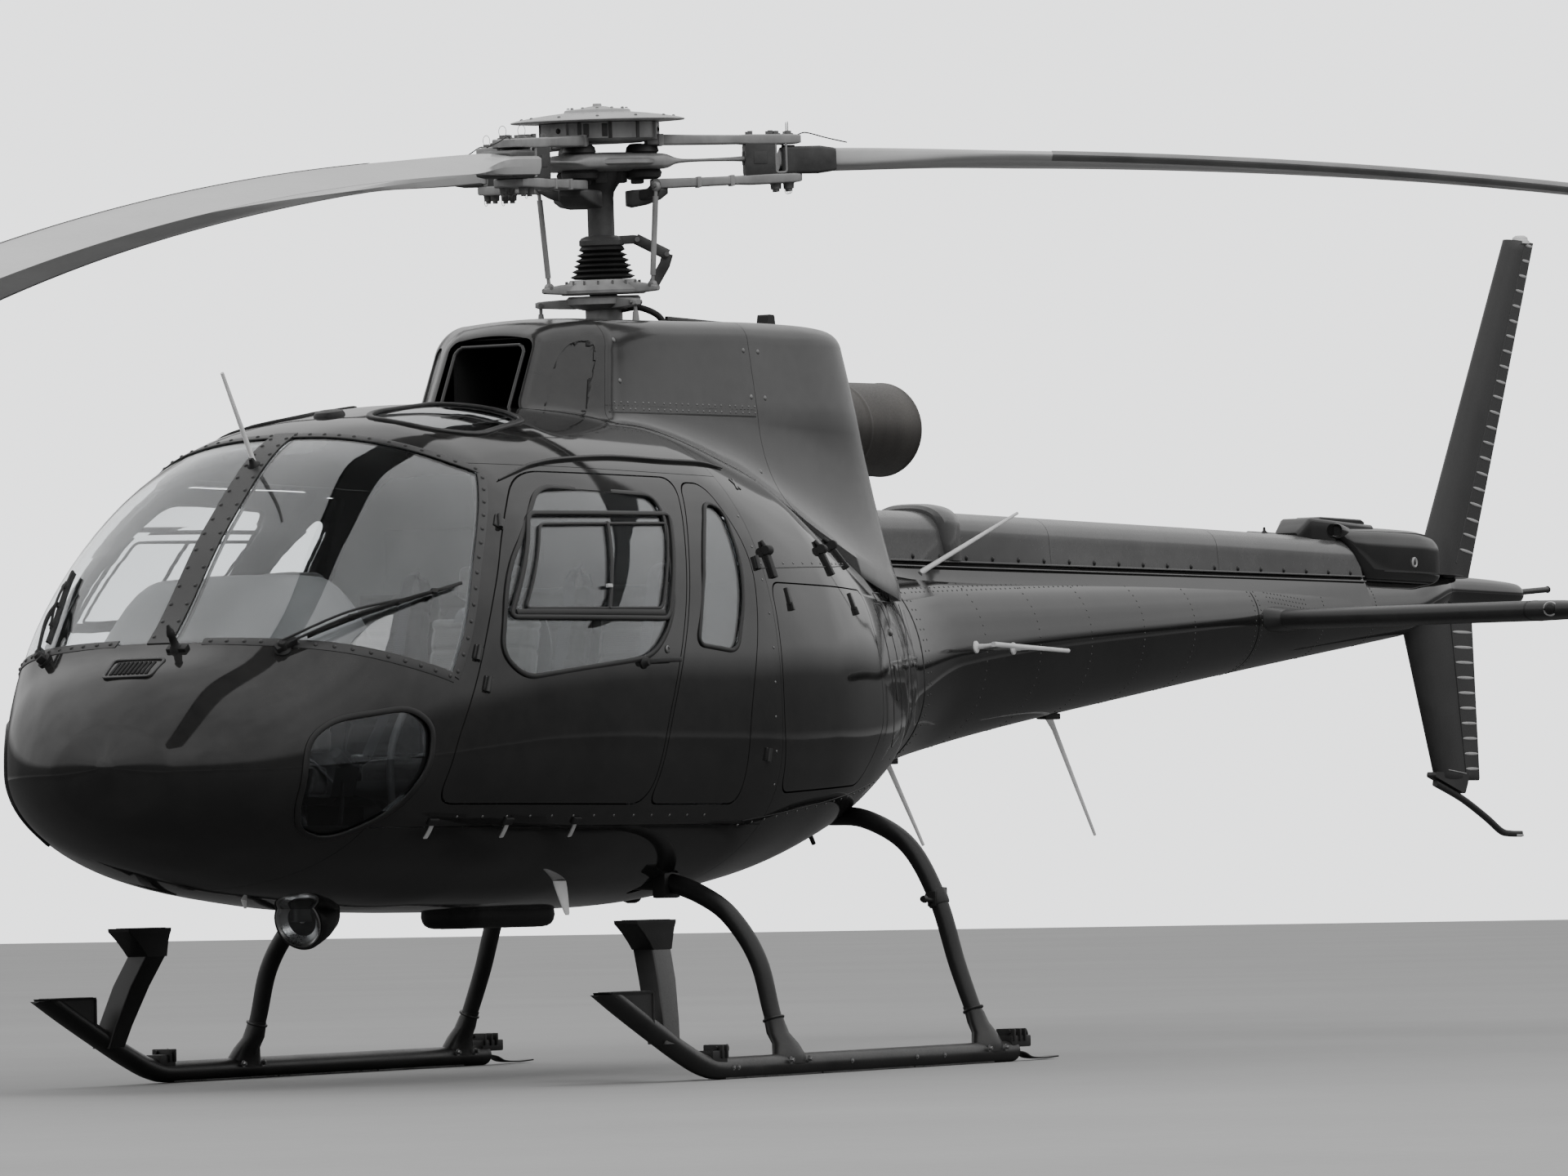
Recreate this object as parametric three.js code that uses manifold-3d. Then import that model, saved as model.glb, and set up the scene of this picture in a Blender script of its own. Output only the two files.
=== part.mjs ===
// A light single-engine helicopter on skids, at full size.
// Millimetres, +X to the nose, +Y to port, +Z up, with the ground at z = 0.
// All of it is laid out from the rotor mast, and the whole is then moved by ORIGIN_SHIFT.

import * as THREE from 'three';
import { mergeVertices } from 'three/addons/utils/BufferGeometryUtils.js';
import Module from 'manifold-3d';

const wasm = await Module();
wasm.setup();

// Driving dimensions
const ROTOR_RADIUS = 5345;
const BLADE_CHORD = 350;
const BLADE_COUNT = 3;
const BLADE_DROOP = 575;
const DROOP_POWER = 2.35;
const MAST_TILT = 3.5;
const MAST_LEAN = 1;
const REST_AZIMUTH = 3.7;
const HUB_Z = 3118;
const HUB_X = 32;
const TAIL_ROTOR_RADIUS = 930;
const TAIL_ROTOR_X = -6620;
const TAIL_ROTOR_Z = 1890;
const TAIL_ROTOR_Y = -330;
const NOSE_X = 3160;
const SKID_TRACK = 2130;
const SKID_TUBE = 36;
const SKID_REAR_X = -860;
const SKID_BEND_X = 1345;
const FRONT_LEG_X = 728;
const REAR_LEG_X = -684;
const STABILISER_SPAN = 3100;

// Walls and gaps
const SKIN = 30;
const GLASS = 8;
const GLASS_SET = 3;
const COWL_WALL = 18;
const TAIL_WALL = 14;
const COVER_WALL = 10;
const FIT = 0.35;
const DOOR_GAP = 11;
const DOOR_WALL = 16;
const PANEL_GAP = 1;
const FRAME_WALL = 12;

// Cabin stations
const BULKHEAD_X = 480;
const REAR_FRAME_X = -950;
const BOOM_START_X = -1555;
const BOOM_JOINT_X = -4730;
const BOOM_END_X = -6500;
const ROOF_LINE_Z = 1998;
const BELLY_LINE_Z = 830;
const FLOOR_Z = 800;
const DECK_Z = 1760;

// Moves the mast's foot so that the middle of the whole, blades included, is at x = y = 0.
const ORIGIN_SHIFT = [1340, 210, 0];

const deg = THREE.MathUtils.degToRad;
const vec = (x, y, z) => new THREE.Vector3(x, y, z);

function finish(color, roughness, metalness) {
  return new THREE.MeshStandardMaterial({ color, roughness, metalness });
}

const BODY = finish('#15171a', 0.12, 0.0);
const SATIN = finish('#1c1d1f', 0.45, 0.1);
const GLAZING = finish('#8d9698', 0.05, 0.0);
const STEEL = finish('#6d6f72', 0.4, 0.8);
const GREY = finish('#55585b', 0.5, 0.4);
const RUBBER = finish('#0c0c0c', 0.8, 0.0);
const BLADE = finish('#3b3e41', 0.5, 0.1);
const CLOTH = finish('#a9a7a2', 0.9, 0.0);
const TRIM = finish('#3a3a3b', 0.8, 0.0);

const model = new THREE.Group();

// Solids

function solid(geometry, matrix) {
  const plain = geometry.index ? geometry.clone() : mergeVertices(geometry);
  plain.deleteAttribute('normal');
  plain.deleteAttribute('uv');
  if (matrix) plain.applyMatrix4(matrix);
  const welded = mergeVertices(plain, 1e-3);
  const mesh = new wasm.Mesh({
    numProp: 3,
    vertProperties: new Float32Array(welded.attributes.position.array),
    triVerts: new Uint32Array(welded.index.array),
  });
  return new wasm.Manifold(mesh);
}

function place(name, body, material, group = model) {
  const mesh = body.getMesh();
  const geometry = new THREE.BufferGeometry();
  geometry.setAttribute('position', new THREE.BufferAttribute(new Float32Array(mesh.vertProperties), 3));
  geometry.setIndex(new THREE.BufferAttribute(new Uint32Array(mesh.triVerts), 1));
  geometry.computeVertexNormals();
  const node = new THREE.Mesh(geometry, material);
  node.name = name;
  group.add(node);
  return node;
}

const joined = (parts) => parts.reduce((all, part) => all.add(part));

// A copy of a body under a move, turn or mirroring.
function moved(body, matrix) {
  const mesh = body.getMesh();
  const points = new THREE.BufferAttribute(new Float32Array(mesh.vertProperties), 3).applyMatrix4(matrix);
  const faces = new Uint32Array(mesh.triVerts);
  if (matrix.determinant() < 0) {
    for (let i = 0; i < faces.length; i += 3) [faces[i], faces[i + 1]] = [faces[i + 1], faces[i]];
  }
  return new wasm.Manifold(new wasm.Mesh({ numProp: 3, vertProperties: points.array, triVerts: faces }));
}

const shift = (x, y, z) => new THREE.Matrix4().makeTranslation(x, y, z);
const turnX = (degrees) => new THREE.Matrix4().makeRotationX(deg(degrees));
const turnY = (degrees) => new THREE.Matrix4().makeRotationY(deg(degrees));
const turnZ = (degrees) => new THREE.Matrix4().makeRotationZ(deg(degrees));
const mirrored = (body) => moved(body, new THREE.Matrix4().makeScale(1, -1, 1));

function box(x0, x1, y0, y1, z0, z1) {
  const shape = new THREE.BoxGeometry(x1 - x0, y1 - y0, z1 - z0);
  return solid(shape.translate((x0 + x1) / 2, (y0 + y1) / 2, (z0 + z1) / 2));
}

// An outline of [a, b] corners with each corner rounded to the given radius.
function outline(points, radius = 0, steps = 3) {
  const shape = new THREE.Shape();
  points.forEach(([a, b], i) => {
    const here = new THREE.Vector2(a, b);
    const before = new THREE.Vector2(...points.at(i - 1));
    const after = new THREE.Vector2(...points[(i + 1) % points.length]);
    const reach = Math.min(radius, here.distanceTo(before) / 2.2, here.distanceTo(after) / 2.2);
    const enter = here.clone().lerp(before, reach / here.distanceTo(before));
    const leave = here.clone().lerp(after, reach / here.distanceTo(after));
    for (let k = 0; k <= (reach > 0 ? steps : 0); k += 1) {
      const t = reach > 0 ? k / steps : 0;
      const u = enter.clone().multiplyScalar((1 - t) ** 2);
      u.addScaledVector(here, 2 * t * (1 - t)).addScaledVector(leave, t * t);
      if (i === 0 && k === 0) shape.moveTo(u.x, u.y);
      else shape.lineTo(u.x, u.y);
    }
  });
  return shape;
}

function grown(points, by) {
  // Moves each side of a convex outline outwards by the same amount.
  const area = points.reduce((sum, [a, b], i) => {
    const [c, d] = points[(i + 1) % points.length];
    return sum + a * d - c * b;
  }, 0);
  const turn = Math.sign(area);
  const side = (i) => {
    const [a, b] = points.at(i % points.length);
    const [c, d] = points[(i + 1 + points.length) % points.length];
    const long = Math.hypot(c - a, d - b);
    return { a, b, dx: (c - a) / long, dz: (d - b) / long };
  };
  return points.map((_, i) => {
    const p = side(i - 1 < 0 ? points.length - 1 : i - 1);
    const q = side(i);
    const pa = p.a + turn * by * p.dz;
    const pb = p.b - turn * by * p.dx;
    const qa = q.a + turn * by * q.dz;
    const qb = q.b - turn * by * q.dx;
    const cross = p.dx * q.dz - p.dz * q.dx;
    if (Math.abs(cross) < 0.02) return [qa, qb];
    const t = ((qa - pa) * q.dz - (qb - pb) * q.dx) / cross;
    return [pa + t * p.dx, pb + t * p.dz];
  });
}

function prism(shape, depth, axes) {
  const geometry = new THREE.ExtrudeGeometry(shape, { depth, bevelEnabled: false, curveSegments: 6 });
  return solid(geometry, axes);
}

// Prisms drawn in side view (x, z), end view (y, z) and plan (x, y).
function sidePrism(shape, y0, y1) {
  const axes = new THREE.Matrix4().makeBasis(vec(1, 0, 0), vec(0, 0, 1), vec(0, -1, 0)).setPosition(0, y1, 0);
  return prism(shape, y1 - y0, axes);
}

function endPrism(shape, x0, x1) {
  const axes = new THREE.Matrix4().makeBasis(vec(0, 1, 0), vec(0, 0, 1), vec(1, 0, 0)).setPosition(x0, 0, 0);
  return prism(shape, x1 - x0, axes);
}

function planPrism(shape, z0, z1) {
  return prism(shape, z1 - z0, new THREE.Matrix4().makeTranslation(0, 0, z0));
}

// A closed skin over rings of equal point counts, with flat ends.
function loft(rings) {
  const count = rings[0].length;
  const points = rings.flat().flatMap((p) => [p.x, p.y, p.z]);
  const faces = [];
  rings.slice(1).forEach((_, r) => {
    for (let i = 0; i < count; i += 1) {
      const a = r * count + i;
      const b = r * count + ((i + 1) % count);
      faces.push(a, b, a + count, b, b + count, a + count);
    }
  });
  for (const [start, flip] of [[0, true], [(rings.length - 1) * count, false]]) {
    const ring = rings[start / count];
    const middle = ring.reduce((sum, p) => sum.add(p), vec(0, 0, 0)).divideScalar(count);
    const centre = points.length / 3;
    points.push(middle.x, middle.y, middle.z);
    for (let i = 0; i < count; i += 1) {
      const a = start + i;
      const b = start + ((i + 1) % count);
      faces.push(...(flip ? [b, a, centre] : [a, b, centre]));
    }
  }
  if (enclosed(points, faces) < 0) {
    for (let i = 0; i < faces.length; i += 3) [faces[i], faces[i + 1]] = [faces[i + 1], faces[i]];
  }
  const geometry = new THREE.BufferGeometry();
  geometry.setAttribute('position', new THREE.Float32BufferAttribute(points, 3));
  geometry.setIndex(faces);
  return solid(geometry);
}

// The signed volume inside a closed set of triangles, below zero when they face inwards.
function enclosed(points, faces) {
  const corner = (i) => vec(points[faces[i] * 3], points[faces[i] * 3 + 1], points[faces[i] * 3 + 2]);
  let volume = 0;
  for (let i = 0; i < faces.length; i += 3) volume += corner(i).cross(corner(i + 1)).dot(corner(i + 2)) / 6;
  return volume;
}

function tube(points, radius, steps, sides = 10) {
  const path = points.length === 2
    ? new THREE.LineCurve3(points[0], points[1])
    : new THREE.CatmullRomCurve3(points, false, 'centripetal');
  const round = new THREE.Shape();
  for (let i = 0; i < sides; i += 1) {
    const a = ((i + 0.5) / sides) * 2 * Math.PI;
    const go = i === 0 ? 'moveTo' : 'lineTo';
    round[go](radius * Math.cos(a), radius * Math.sin(a));
  }
  return solid(new THREE.ExtrudeGeometry(round, { steps, extrudePath: path, bevelEnabled: false }));
}

// A turned piece from [radius, height] corners, starting and ending on the axis.
function turned(profile, sides = 24) {
  const line = profile.map(([r, z]) => new THREE.Vector2(r, z));
  const geometry = new THREE.LatheGeometry(line, sides);
  geometry.rotateX(Math.PI / 2);
  return solid(geometry);
}

// A straight bar of rectangular section between two points; across gives the side direction.
function bar(from, to, width, height, across = vec(0, 1, 0)) {
  const along = to.clone().sub(from);
  const length = along.length();
  along.normalize();
  const side = across.clone().addScaledVector(along, -across.dot(along)).normalize();
  const up = along.clone().cross(side);
  const axes = new THREE.Matrix4().makeBasis(along, side, up);
  axes.setPosition(from.clone().lerp(to, 0.5));
  return solid(new THREE.BoxGeometry(length, width, height), axes);
}

// Fuselage

// x, half width, bottom, top, height of the widest line, roundness above it, roundness below it
const HULL = [
  [NOSE_X, 30, 1000, 1060, 1030, 2.0, 2.0],
  [3120, 230, 862, 1170, 1020, 2.0, 2.0],
  [3000, 440, 768, 1320, 1020, 2.2, 2.0],
  [2840, 590, 702, 1425, 1030, 2.6, 2.0],
  [2500, 770, 626, 1795, 1060, 2.7, 2.1],
  [2150, 860, 588, 2075, 1100, 2.5, 2.2],
  [1860, 900, 568, 2170, 1130, 2.5, 2.3],
  [1300, 930, 558, 2235, 1150, 2.5, 2.4],
  [600, 930, 560, 2240, 1150, 2.5, 2.4],
  [0, 880, 612, 2150, 1160, 2.5, 2.3],
  [-500, 770, 700, 2000, 1180, 2.4, 2.2],
  [-1000, 600, 828, 1880, 1230, 2.3, 2.1],
  [-1500, 400, 975, 1790, 1320, 2.2, 2.0],
  [-2000, 320, 1080, 1770, 1430, 2.1, 2.0],
  [-4000, 230, 1330, 1800, 1580, 2.0, 2.0],
  [-6600, 110, 1610, 1840, 1720, 2.0, 2.0],
];

// Smooth value of one table column at x, without overshoot between the rows.
function between(rows, column, x) {
  const last = rows.length - 2;
  const k = Math.min(last, Math.max(0, rows.findIndex((row) => row[0] <= x) - 1));
  const slope = (i) => {
    const s = (j) => (rows[j + 1][column] - rows[j][column]) / (rows[j + 1][0] - rows[j][0]);
    if (i === 0) return s(0);
    if (i === rows.length - 1) return s(last);
    const before = s(i - 1);
    const after = s(i);
    return before * after <= 0 ? 0 : (2 * before * after) / (before + after);
  };
  const [a, b] = [rows[k], rows[k + 1]];
  const span = b[0] - a[0];
  const t = Math.min(1, Math.max(0, (x - a[0]) / span));
  const h00 = (1 + 2 * t) * (1 - t) ** 2;
  const h10 = t * (1 - t) ** 2;
  const h01 = t * t * (3 - 2 * t);
  const h11 = t * t * (t - 1);
  return h00 * a[column] + h10 * span * slope(k) + h01 * b[column] + h11 * span * slope(k + 1);
}

function hullRing(x, inset, points) {
  const lead = THREE.MathUtils.clamp((x - 2200) / 900, 0, 1);
  const at = Math.min(NOSE_X, x + inset * lead);
  const [width, bottom, top, waist, above, below] = [1, 2, 3, 4, 5, 6].map((c) => between(HULL, c, at));
  const ring = [];
  for (let i = 0; i < points; i += 1) {
    const a = (i / points) * 2 * Math.PI;
    const [c, s] = [Math.cos(a), Math.sin(a)];
    const power = 2 / (s >= 0 ? above : below);
    const height = s >= 0 ? top - inset - waist : waist - bottom - inset;
    const y = Math.max(2, width - inset) * Math.sign(c) * Math.abs(c) ** power;
    ring.push(vec(x, y, waist + Math.max(2, height) * Math.sign(s) * Math.abs(s) ** power));
  }
  return ring;
}

const RING_POINTS = 28;
const INNER_POINTS = 20;
const CABIN_RINGS = 12;
const BAY_RINGS = 6;
const STATIONS = [];
for (let i = 0; i <= CABIN_RINGS; i += 1) {
  const t = Math.sin(((1 - i / CABIN_RINGS) * Math.PI) / 2);
  STATIONS.push(THREE.MathUtils.lerp(BULKHEAD_X, NOSE_X, t));
}
for (let i = 1; i <= BAY_RINGS; i += 1) {
  STATIONS.push(THREE.MathUtils.lerp(BULKHEAD_X, BOOM_START_X, i / BAY_RINGS));
}
STATIONS.push(-2000, -2800, -3900, BOOM_JOINT_X, BOOM_END_X - 100);

// The fuselage from nose to boom end, drawn in by the inset all round.
function fuselage(inset, points = RING_POINTS) {
  const room = inset > 0 ? inset + 40 : 0;
  return loft(STATIONS.filter((x) => x <= NOSE_X - room).map((x) => hullRing(x, inset, points)));
}

const outer = fuselage(0);
const inner = fuselage(SKIN, INNER_POINTS);
const lining = fuselage(SKIN + 0.6, INNER_POINTS);
const bedding = fuselage(-0.6);
const pane = fuselage(GLASS_SET).subtract(fuselage(GLASS_SET + GLASS));
const cabinBox = box(BULKHEAD_X, 3300, -1000, 1000, 300, 2500);
const bayBox = box(BOOM_START_X, BULKHEAD_X - PANEL_GAP, -1000, 1000, 300, 2500);
const bayHollow = inner.intersect(box(REAR_FRAME_X, BULKHEAD_X + 20, -1000, 1000, 300, 2500));
const aftHollow = inner.intersect(box(BOOM_START_X - 20, REAR_FRAME_X - FRAME_WALL, -1000, 1000, 300, 2500));
const wall = outer.subtract(inner);
const cabinWall = wall.intersect(cabinBox);
const leafWall = outer.subtract(fuselage(DOOR_WALL));
const paneWall = pane.intersect(cabinBox);

// Outlines seen from the side, [x, z]
const FRONT_DOOR = [
  [790, 1985], [1760, 1978], [1985, 1800], [2190, 1490], [2310, 1240], [2390, 1080],
  [2440, 900], [1330, 895], [1270, 1120], [1100, 1480], [960, 1760],
];
const FRONT_DOOR_GLASS = [
  [1000, 1915], [1700, 1925], [2060, 1640], [2160, 1375], [2060, 1300], [1330, 1375], [1175, 1500],
];
const REAR_DOOR = [
  [620, 1970], [775, 1970], [945, 1760], [1085, 1480], [1255, 1120], [1315, 895],
  [720, 895], [705, 1180], [600, 1500], [540, 1720],
];
const REAR_DOOR_GLASS = [[600, 1880], [690, 1905], [850, 1750], [1030, 1420], [770, 1400], [640, 1640]];
const WINDSCREEN = [
  [2080, 2200], [2075, 2062], [1905, 1965], [1985, 1880], [2170, 1650], [2300, 1420], [2372, 1300],
  [2540, 1345], [2790, 1415], [3000, 1440], [3000, 2200],
];
const CHIN_WINDOW = [
  [2885, 1000], [2870, 1110], [2790, 1170], [2560, 1205], [2475, 1150],
  [2485, 1030], [2570, 880], [2700, 790], [2820, 830], [2875, 900],
];
const BAGGAGE_DOOR = [[455, 1640], [470, 1180], [440, 930], [-330, 960], [-560, 1180], [-570, 1640]];

// The roof window's outline in plan, [x, y]
const ROOF_WINDOW = [
  [1880, 190], [1760, 130], [1380, 150], [1290, 300], [1310, 450], [1700, 500], [1860, 400],
];
const POST_HALF = 45;
const SIDE_REACH = 1100;

const portSide = (points, radius, inset = 0, inner = 250) => (
  sidePrism(outline(grown(points, -inset), radius), inner, SIDE_REACH));

const frontDoorCut = portSide(FRONT_DOOR, 90);
const rearDoorCut = portSide(REAR_DOOR, 60);
const screenCut = portSide(WINDSCREEN, 30, 0, POST_HALF);
const chinCut = portSide(CHIN_WINDOW, 60, 0, 200);
const baggageCut = portSide(BAGGAGE_DOOR, 60);
const roofWindowCut = planPrism(outline(ROOF_WINDOW, 80), 1900, 2400);

const bothSides = (body) => body.add(mirrored(body));
const openings = joined([frontDoorCut, rearDoorCut, screenCut, chinCut].map(bothSides));

// Shell panels

// The panels' front ends and the space that each leaves in the canopy's shell
const ROOF_FRONT_X = 2105;
const BELLY_FRONT_X = 2620;
const panelZone = (back, front, low, high) => box(back, front, -950, 950, low, high);
const roofZone = panelZone(BULKHEAD_X, ROOF_FRONT_X, ROOF_LINE_Z, 2400);
const bellyZone = panelZone(BULKHEAD_X, BELLY_FRONT_X, 400, BELLY_LINE_Z);
const roofZoneCut = panelZone(BULKHEAD_X - 50, ROOF_FRONT_X + PANEL_GAP, ROOF_LINE_Z - PANEL_GAP, 2400);
const bellyZoneCut = panelZone(BULKHEAD_X - 50, BELLY_FRONT_X + PANEL_GAP, 400, BELLY_LINE_Z + PANEL_GAP);

const LEG_RADIUS = 34;
const LEG_FIT = 1.2;

// Skid legs, half of each cross tube as [y, z] from the middle outwards
const FRONT_LEG = [
  [0, 652], [350, 652], [610, 643], [784, 578], [884, 491], [959, 368], [1002, 206], [1043, 90],
];
const REAR_LEG = [
  [0, 880], [300, 875], [451, 862], [606, 848], [771, 754], [882, 569], [954, 342], [1017, 173], [1050, 90],
];
const legPath = (half, x) => [
  ...half.slice(1).reverse().map(([y, z]) => vec(x, -y, z)),
  ...half.map(([y, z]) => vec(x, y, z)),
];
const legEnd = (x) => tube([vec(x, 1040, 124), vec(x, 1051, 76)], LEG_RADIUS + LEG_FIT, 1, 8);
const legTube = (half, x, radius) => tube(legPath(half, x), radius, 22, 8);
const frontLegHole = legTube(FRONT_LEG, FRONT_LEG_X, LEG_RADIUS + LEG_FIT);
const rearLegHole = legTube(REAR_LEG, REAR_LEG_X, LEG_RADIUS + LEG_FIT);

place('canopy_shell', cabinWall.subtract(openings).subtract(roofZoneCut).subtract(bellyZoneCut), BODY);
const roofSkin = cabinWall.intersect(roofZone).subtract(openings);
place('roof_panel', roofSkin.subtract(bothSides(roofWindowCut)), BODY);
place('belly_panel', cabinWall.intersect(bellyZone).subtract(openings).subtract(frontLegHole), BODY);

const engineBay = box(-1000, 470, -400, 400, DECK_Z, 2500);
const bayShell = outer.intersect(bayBox).subtract(bayHollow).subtract(aftHollow)
  .subtract(bothSides(baggageCut)).subtract(engineBay);
place('rear_shell', bayShell.subtract(rearLegHole), BODY);

const deckZone = box(REAR_FRAME_X + FIT, BULKHEAD_X - 10, -900, 900, DECK_Z - 30, DECK_Z - FIT);
place('engine_deck', lining.intersect(deckZone), GREY);

// Glass
const glassSide = (points, radius, inner) => paneWall.intersect(portSide(points, radius, FIT, inner));
const frontGlass = glassSide(WINDSCREEN, 30, POST_HALF + FIT);
const chinGlass = glassSide(CHIN_WINDOW, 60, 200);
const roofGlass = paneWall.intersect(planPrism(outline(grown(ROOF_WINDOW, -FIT), 80), 1900, 2400));

// Doors
function skinDoor(outlinePoints, radius, glassPoints, glassRadius) {
  const leaf = leafWall.intersect(portSide(outlinePoints, radius, DOOR_GAP));
  return glassPoints ? leaf.subtract(portSide(glassPoints, glassRadius)) : leaf;
}
const frontDoor = skinDoor(FRONT_DOOR, 90, FRONT_DOOR_GLASS, 90);
const frontDoorGlass = glassSide(FRONT_DOOR_GLASS, 90, 250);
const rearDoor = skinDoor(REAR_DOOR, 60, REAR_DOOR_GLASS, 50);
const rearDoorGlass = glassSide(REAR_DOOR_GLASS, 50, 250);
const baggageDoor = skinDoor(BAGGAGE_DOOR, 60, null, 0);

const SIDES = [['port', (body) => body], ['starboard', mirrored]];
for (const [side, turn] of SIDES) {
  place(`windscreen_${side}`, turn(frontGlass), GLAZING);
  place(`chin_window_${side}`, turn(chinGlass), GLAZING);
  place(`roof_window_${side}`, turn(roofGlass), GLAZING);
  place(`front_door_${side}`, turn(frontDoor), BODY);
  place(`front_door_glass_${side}`, turn(frontDoorGlass), GLAZING);
  place(`rear_door_${side}`, turn(rearDoor), BODY);
  place(`rear_door_glass_${side}`, turn(rearDoorGlass), GLAZING);
  place(`baggage_door_${side}`, turn(baggageDoor), BODY);
}

// Cabin floor, bulkhead, console and seats
const BULKHEAD_THICK = 30;
const floorZone = box(BULKHEAD_X + BULKHEAD_THICK + 1, 2800, -900, 900, FLOOR_Z - 20, FLOOR_Z);
const bulkheadZone = box(BULKHEAD_X, BULKHEAD_X + BULKHEAD_THICK, -950, 950, 400, 2300);
place('cabin_floor', lining.intersect(floorZone), TRIM);
place('rear_bulkhead', lining.intersect(bulkheadZone), TRIM);

place('instrument_console', joined([
  box(2230, 2620, -160, 160, FLOOR_Z + FIT, 1230),
  sidePrism(outline([[2560, 1230], [2750, 1230], [2740, 1370], [2520, 1400], [2440, 1320]], 40), -330, 330),
]), TRIM);

function seat(y0, y1, x, z) {
  const pan = box(x, x + 480, y0, y1, z + 120, z + 260);
  const backLine = [[x - 20, z + 240], [x + 110, z + 240], [x - 40, z + 900], [x - 150, z + 900]];
  const back = sidePrism(outline(backLine, 40), y0, y1);
  const base = box(x + 60, x + 420, y0 + 60, y1 - 60, z + FIT, z + 140);
  return joined([pan, back, base]);
}
const frontSeat = seat(150, 620, 1520, FLOOR_Z);
place('front_seat_port', frontSeat, CLOTH);
place('front_seat_starboard', mirrored(frontSeat), CLOTH);
place('rear_bench', seat(-640, 640, 700, FLOOR_Z), CLOTH);

// Cowling

// x, foot half width, foot height, side half width, top half width, top height
const COWL = [
  [885, 190, 2170, 190, 175, 2262],
  [850, 250, 2160, 215, 190, 2340],
  [775, 320, 2150, 275, 215, 2470],
  [700, 370, 2150, 325, 255, 2515],
  [640, 410, 2140, 365, 290, 2530],
  [300, 490, 2100, 378, 315, 2545],
  [-130, 520, 1990, 388, 325, 2562],
  [-500, 520, 1870, 392, 330, 2578],
  [-900, 445, 1800, 375, 305, 2583],
  [-1150, 370, 1750, 320, 240, 2560],
  [-1300, 300, 1740, 250, 175, 2460],
];

function cowlRing(x, inset) {
  const [foot, footZ, side, top, topZ] = [1, 2, 3, 4, 5].map((c) => between(COWL, c, x));
  const sideZ = Math.max(footZ + 60, topZ - 330);
  const roof = topZ - inset;
  const half = [
    [foot - inset, footZ - 40], [foot - inset, footZ], [(foot + side) / 2 - inset, (footZ * 2 + sideZ) / 3],
    [side - inset, sideZ], [side - inset - 8, (sideZ + topZ) / 2], [(side + top) / 2 + 12 - inset, roof - 70],
    [top + 12 - inset, roof - 18], [top - 60 - inset, roof],
  ];
  const right = half.map(([y, z]) => vec(x, y, z));
  const left = half.map(([y, z]) => vec(x, -y, z)).reverse();
  return [...right, ...left];
}

const COWL_STATIONS = [
  -1300, -1250, -1150, -1020, -880, -700, -520, -350, -130, 100, 300, 480, 640, 700, 740, 775, 815, 850, 885,
];
function cowlBody(inset) {
  const [back, front] = [COWL_STATIONS[0] + inset, COWL_STATIONS.at(-1) - inset];
  const stations = [back, ...COWL_STATIONS.filter((x) => x > back + 5 && x < front - 5), front];
  return loft(stations.map((x) => cowlRing(x, inset)));
}

const cowlWall = cowlBody(0).subtract(cowlBody(COWL_WALL));
const exhaustHole = tube([vec(-1100, 0, 2240), vec(-1500, 0, 2265)], 185, 1, 24);
const INTAKE_HALF = 135;
const INTAKE_TOP = 2448;
const INTAKE = [
  [-INTAKE_HALF, 2100], [-INTAKE_HALF, INTAKE_TOP], [INTAKE_HALF, INTAKE_TOP], [INTAKE_HALF, 2100],
];
const intakeCut = endPrism(outline(INTAKE, 30), 735, 1000);
const mastTurn = new THREE.Quaternion().setFromEuler(new THREE.Euler(deg(-MAST_LEAN), deg(MAST_TILT), 0));
const mastAxes = new THREE.Matrix4().compose(vec(HUB_X, 0, HUB_Z), mastTurn, vec(1, 1, 1));
const mastHole = moved(turned([[0, -700], [70, -700], [70, -500], [0, -500]], 24), mastAxes);
const bayRoom = box(-1000, 470, -398, 398, 1500, DECK_Z + 60);
const cowlSkin = cowlWall.subtract(bedding).subtract(mastHole).subtract(bayRoom);
// name, front, back
const COWL_CUTS = [
  ['intake_cowling', 1000, 640],
  ['middle_cowling', 640, -350],
  ['rear_cowling', -350, -1600],
];
for (const [name, front, back] of COWL_CUTS) {
  const zone = box(back + PANEL_GAP, front, -800, 800, 1600, 2700);
  const cuts = name === 'intake_cowling' ? intakeCut : exhaustHole;
  place(name, cowlSkin.intersect(zone).subtract(cuts), BODY);
}

place('engine_block', box(-1150, -330, -230, 230, 1930, 2450), GREY);
const GEARBOX_PROFILE = [
  [0, DECK_Z + FIT], [230, DECK_Z + FIT], [230, 2200], [150, 2380], [64, 2470], [64, 2494], [0, 2494],
];
place('gearbox_block', turned(GEARBOX_PROFILE, 20), GREY);

const PIPE_RADIUS = 172;
const PIPE_WALL = 8;
const pipe = tube([vec(-1180, 0, 2240), vec(-1560, 0, 2262), vec(-1980, 0, 2275)], PIPE_RADIUS, 4, 18);
const boreLine = [vec(-1300, 0, 2248), vec(-1560, 0, 2262), vec(-2100, 0, 2279)];
place('exhaust_pipe', pipe.subtract(tube(boreLine, PIPE_RADIUS - PIPE_WALL, 4, 18)), STEEL);

// Tail boom

const boomInside = fuselage(TAIL_WALL, INNER_POINTS);

// Each length is a thin tube, open at its front end.
function boomLength(back, front, closedBy) {
  const hollow = boomInside.intersect(box(back + closedBy, front + 10, -600, 600, 600, 2200));
  return outer.intersect(box(back, front, -600, 600, 600, 2200)).subtract(hollow);
}

const boomFront = boomLength(BOOM_JOINT_X + PANEL_GAP, BOOM_START_X - PANEL_GAP, TAIL_WALL);
const boomRear = boomLength(BOOM_END_X - 200, BOOM_JOINT_X, 400);
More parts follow.
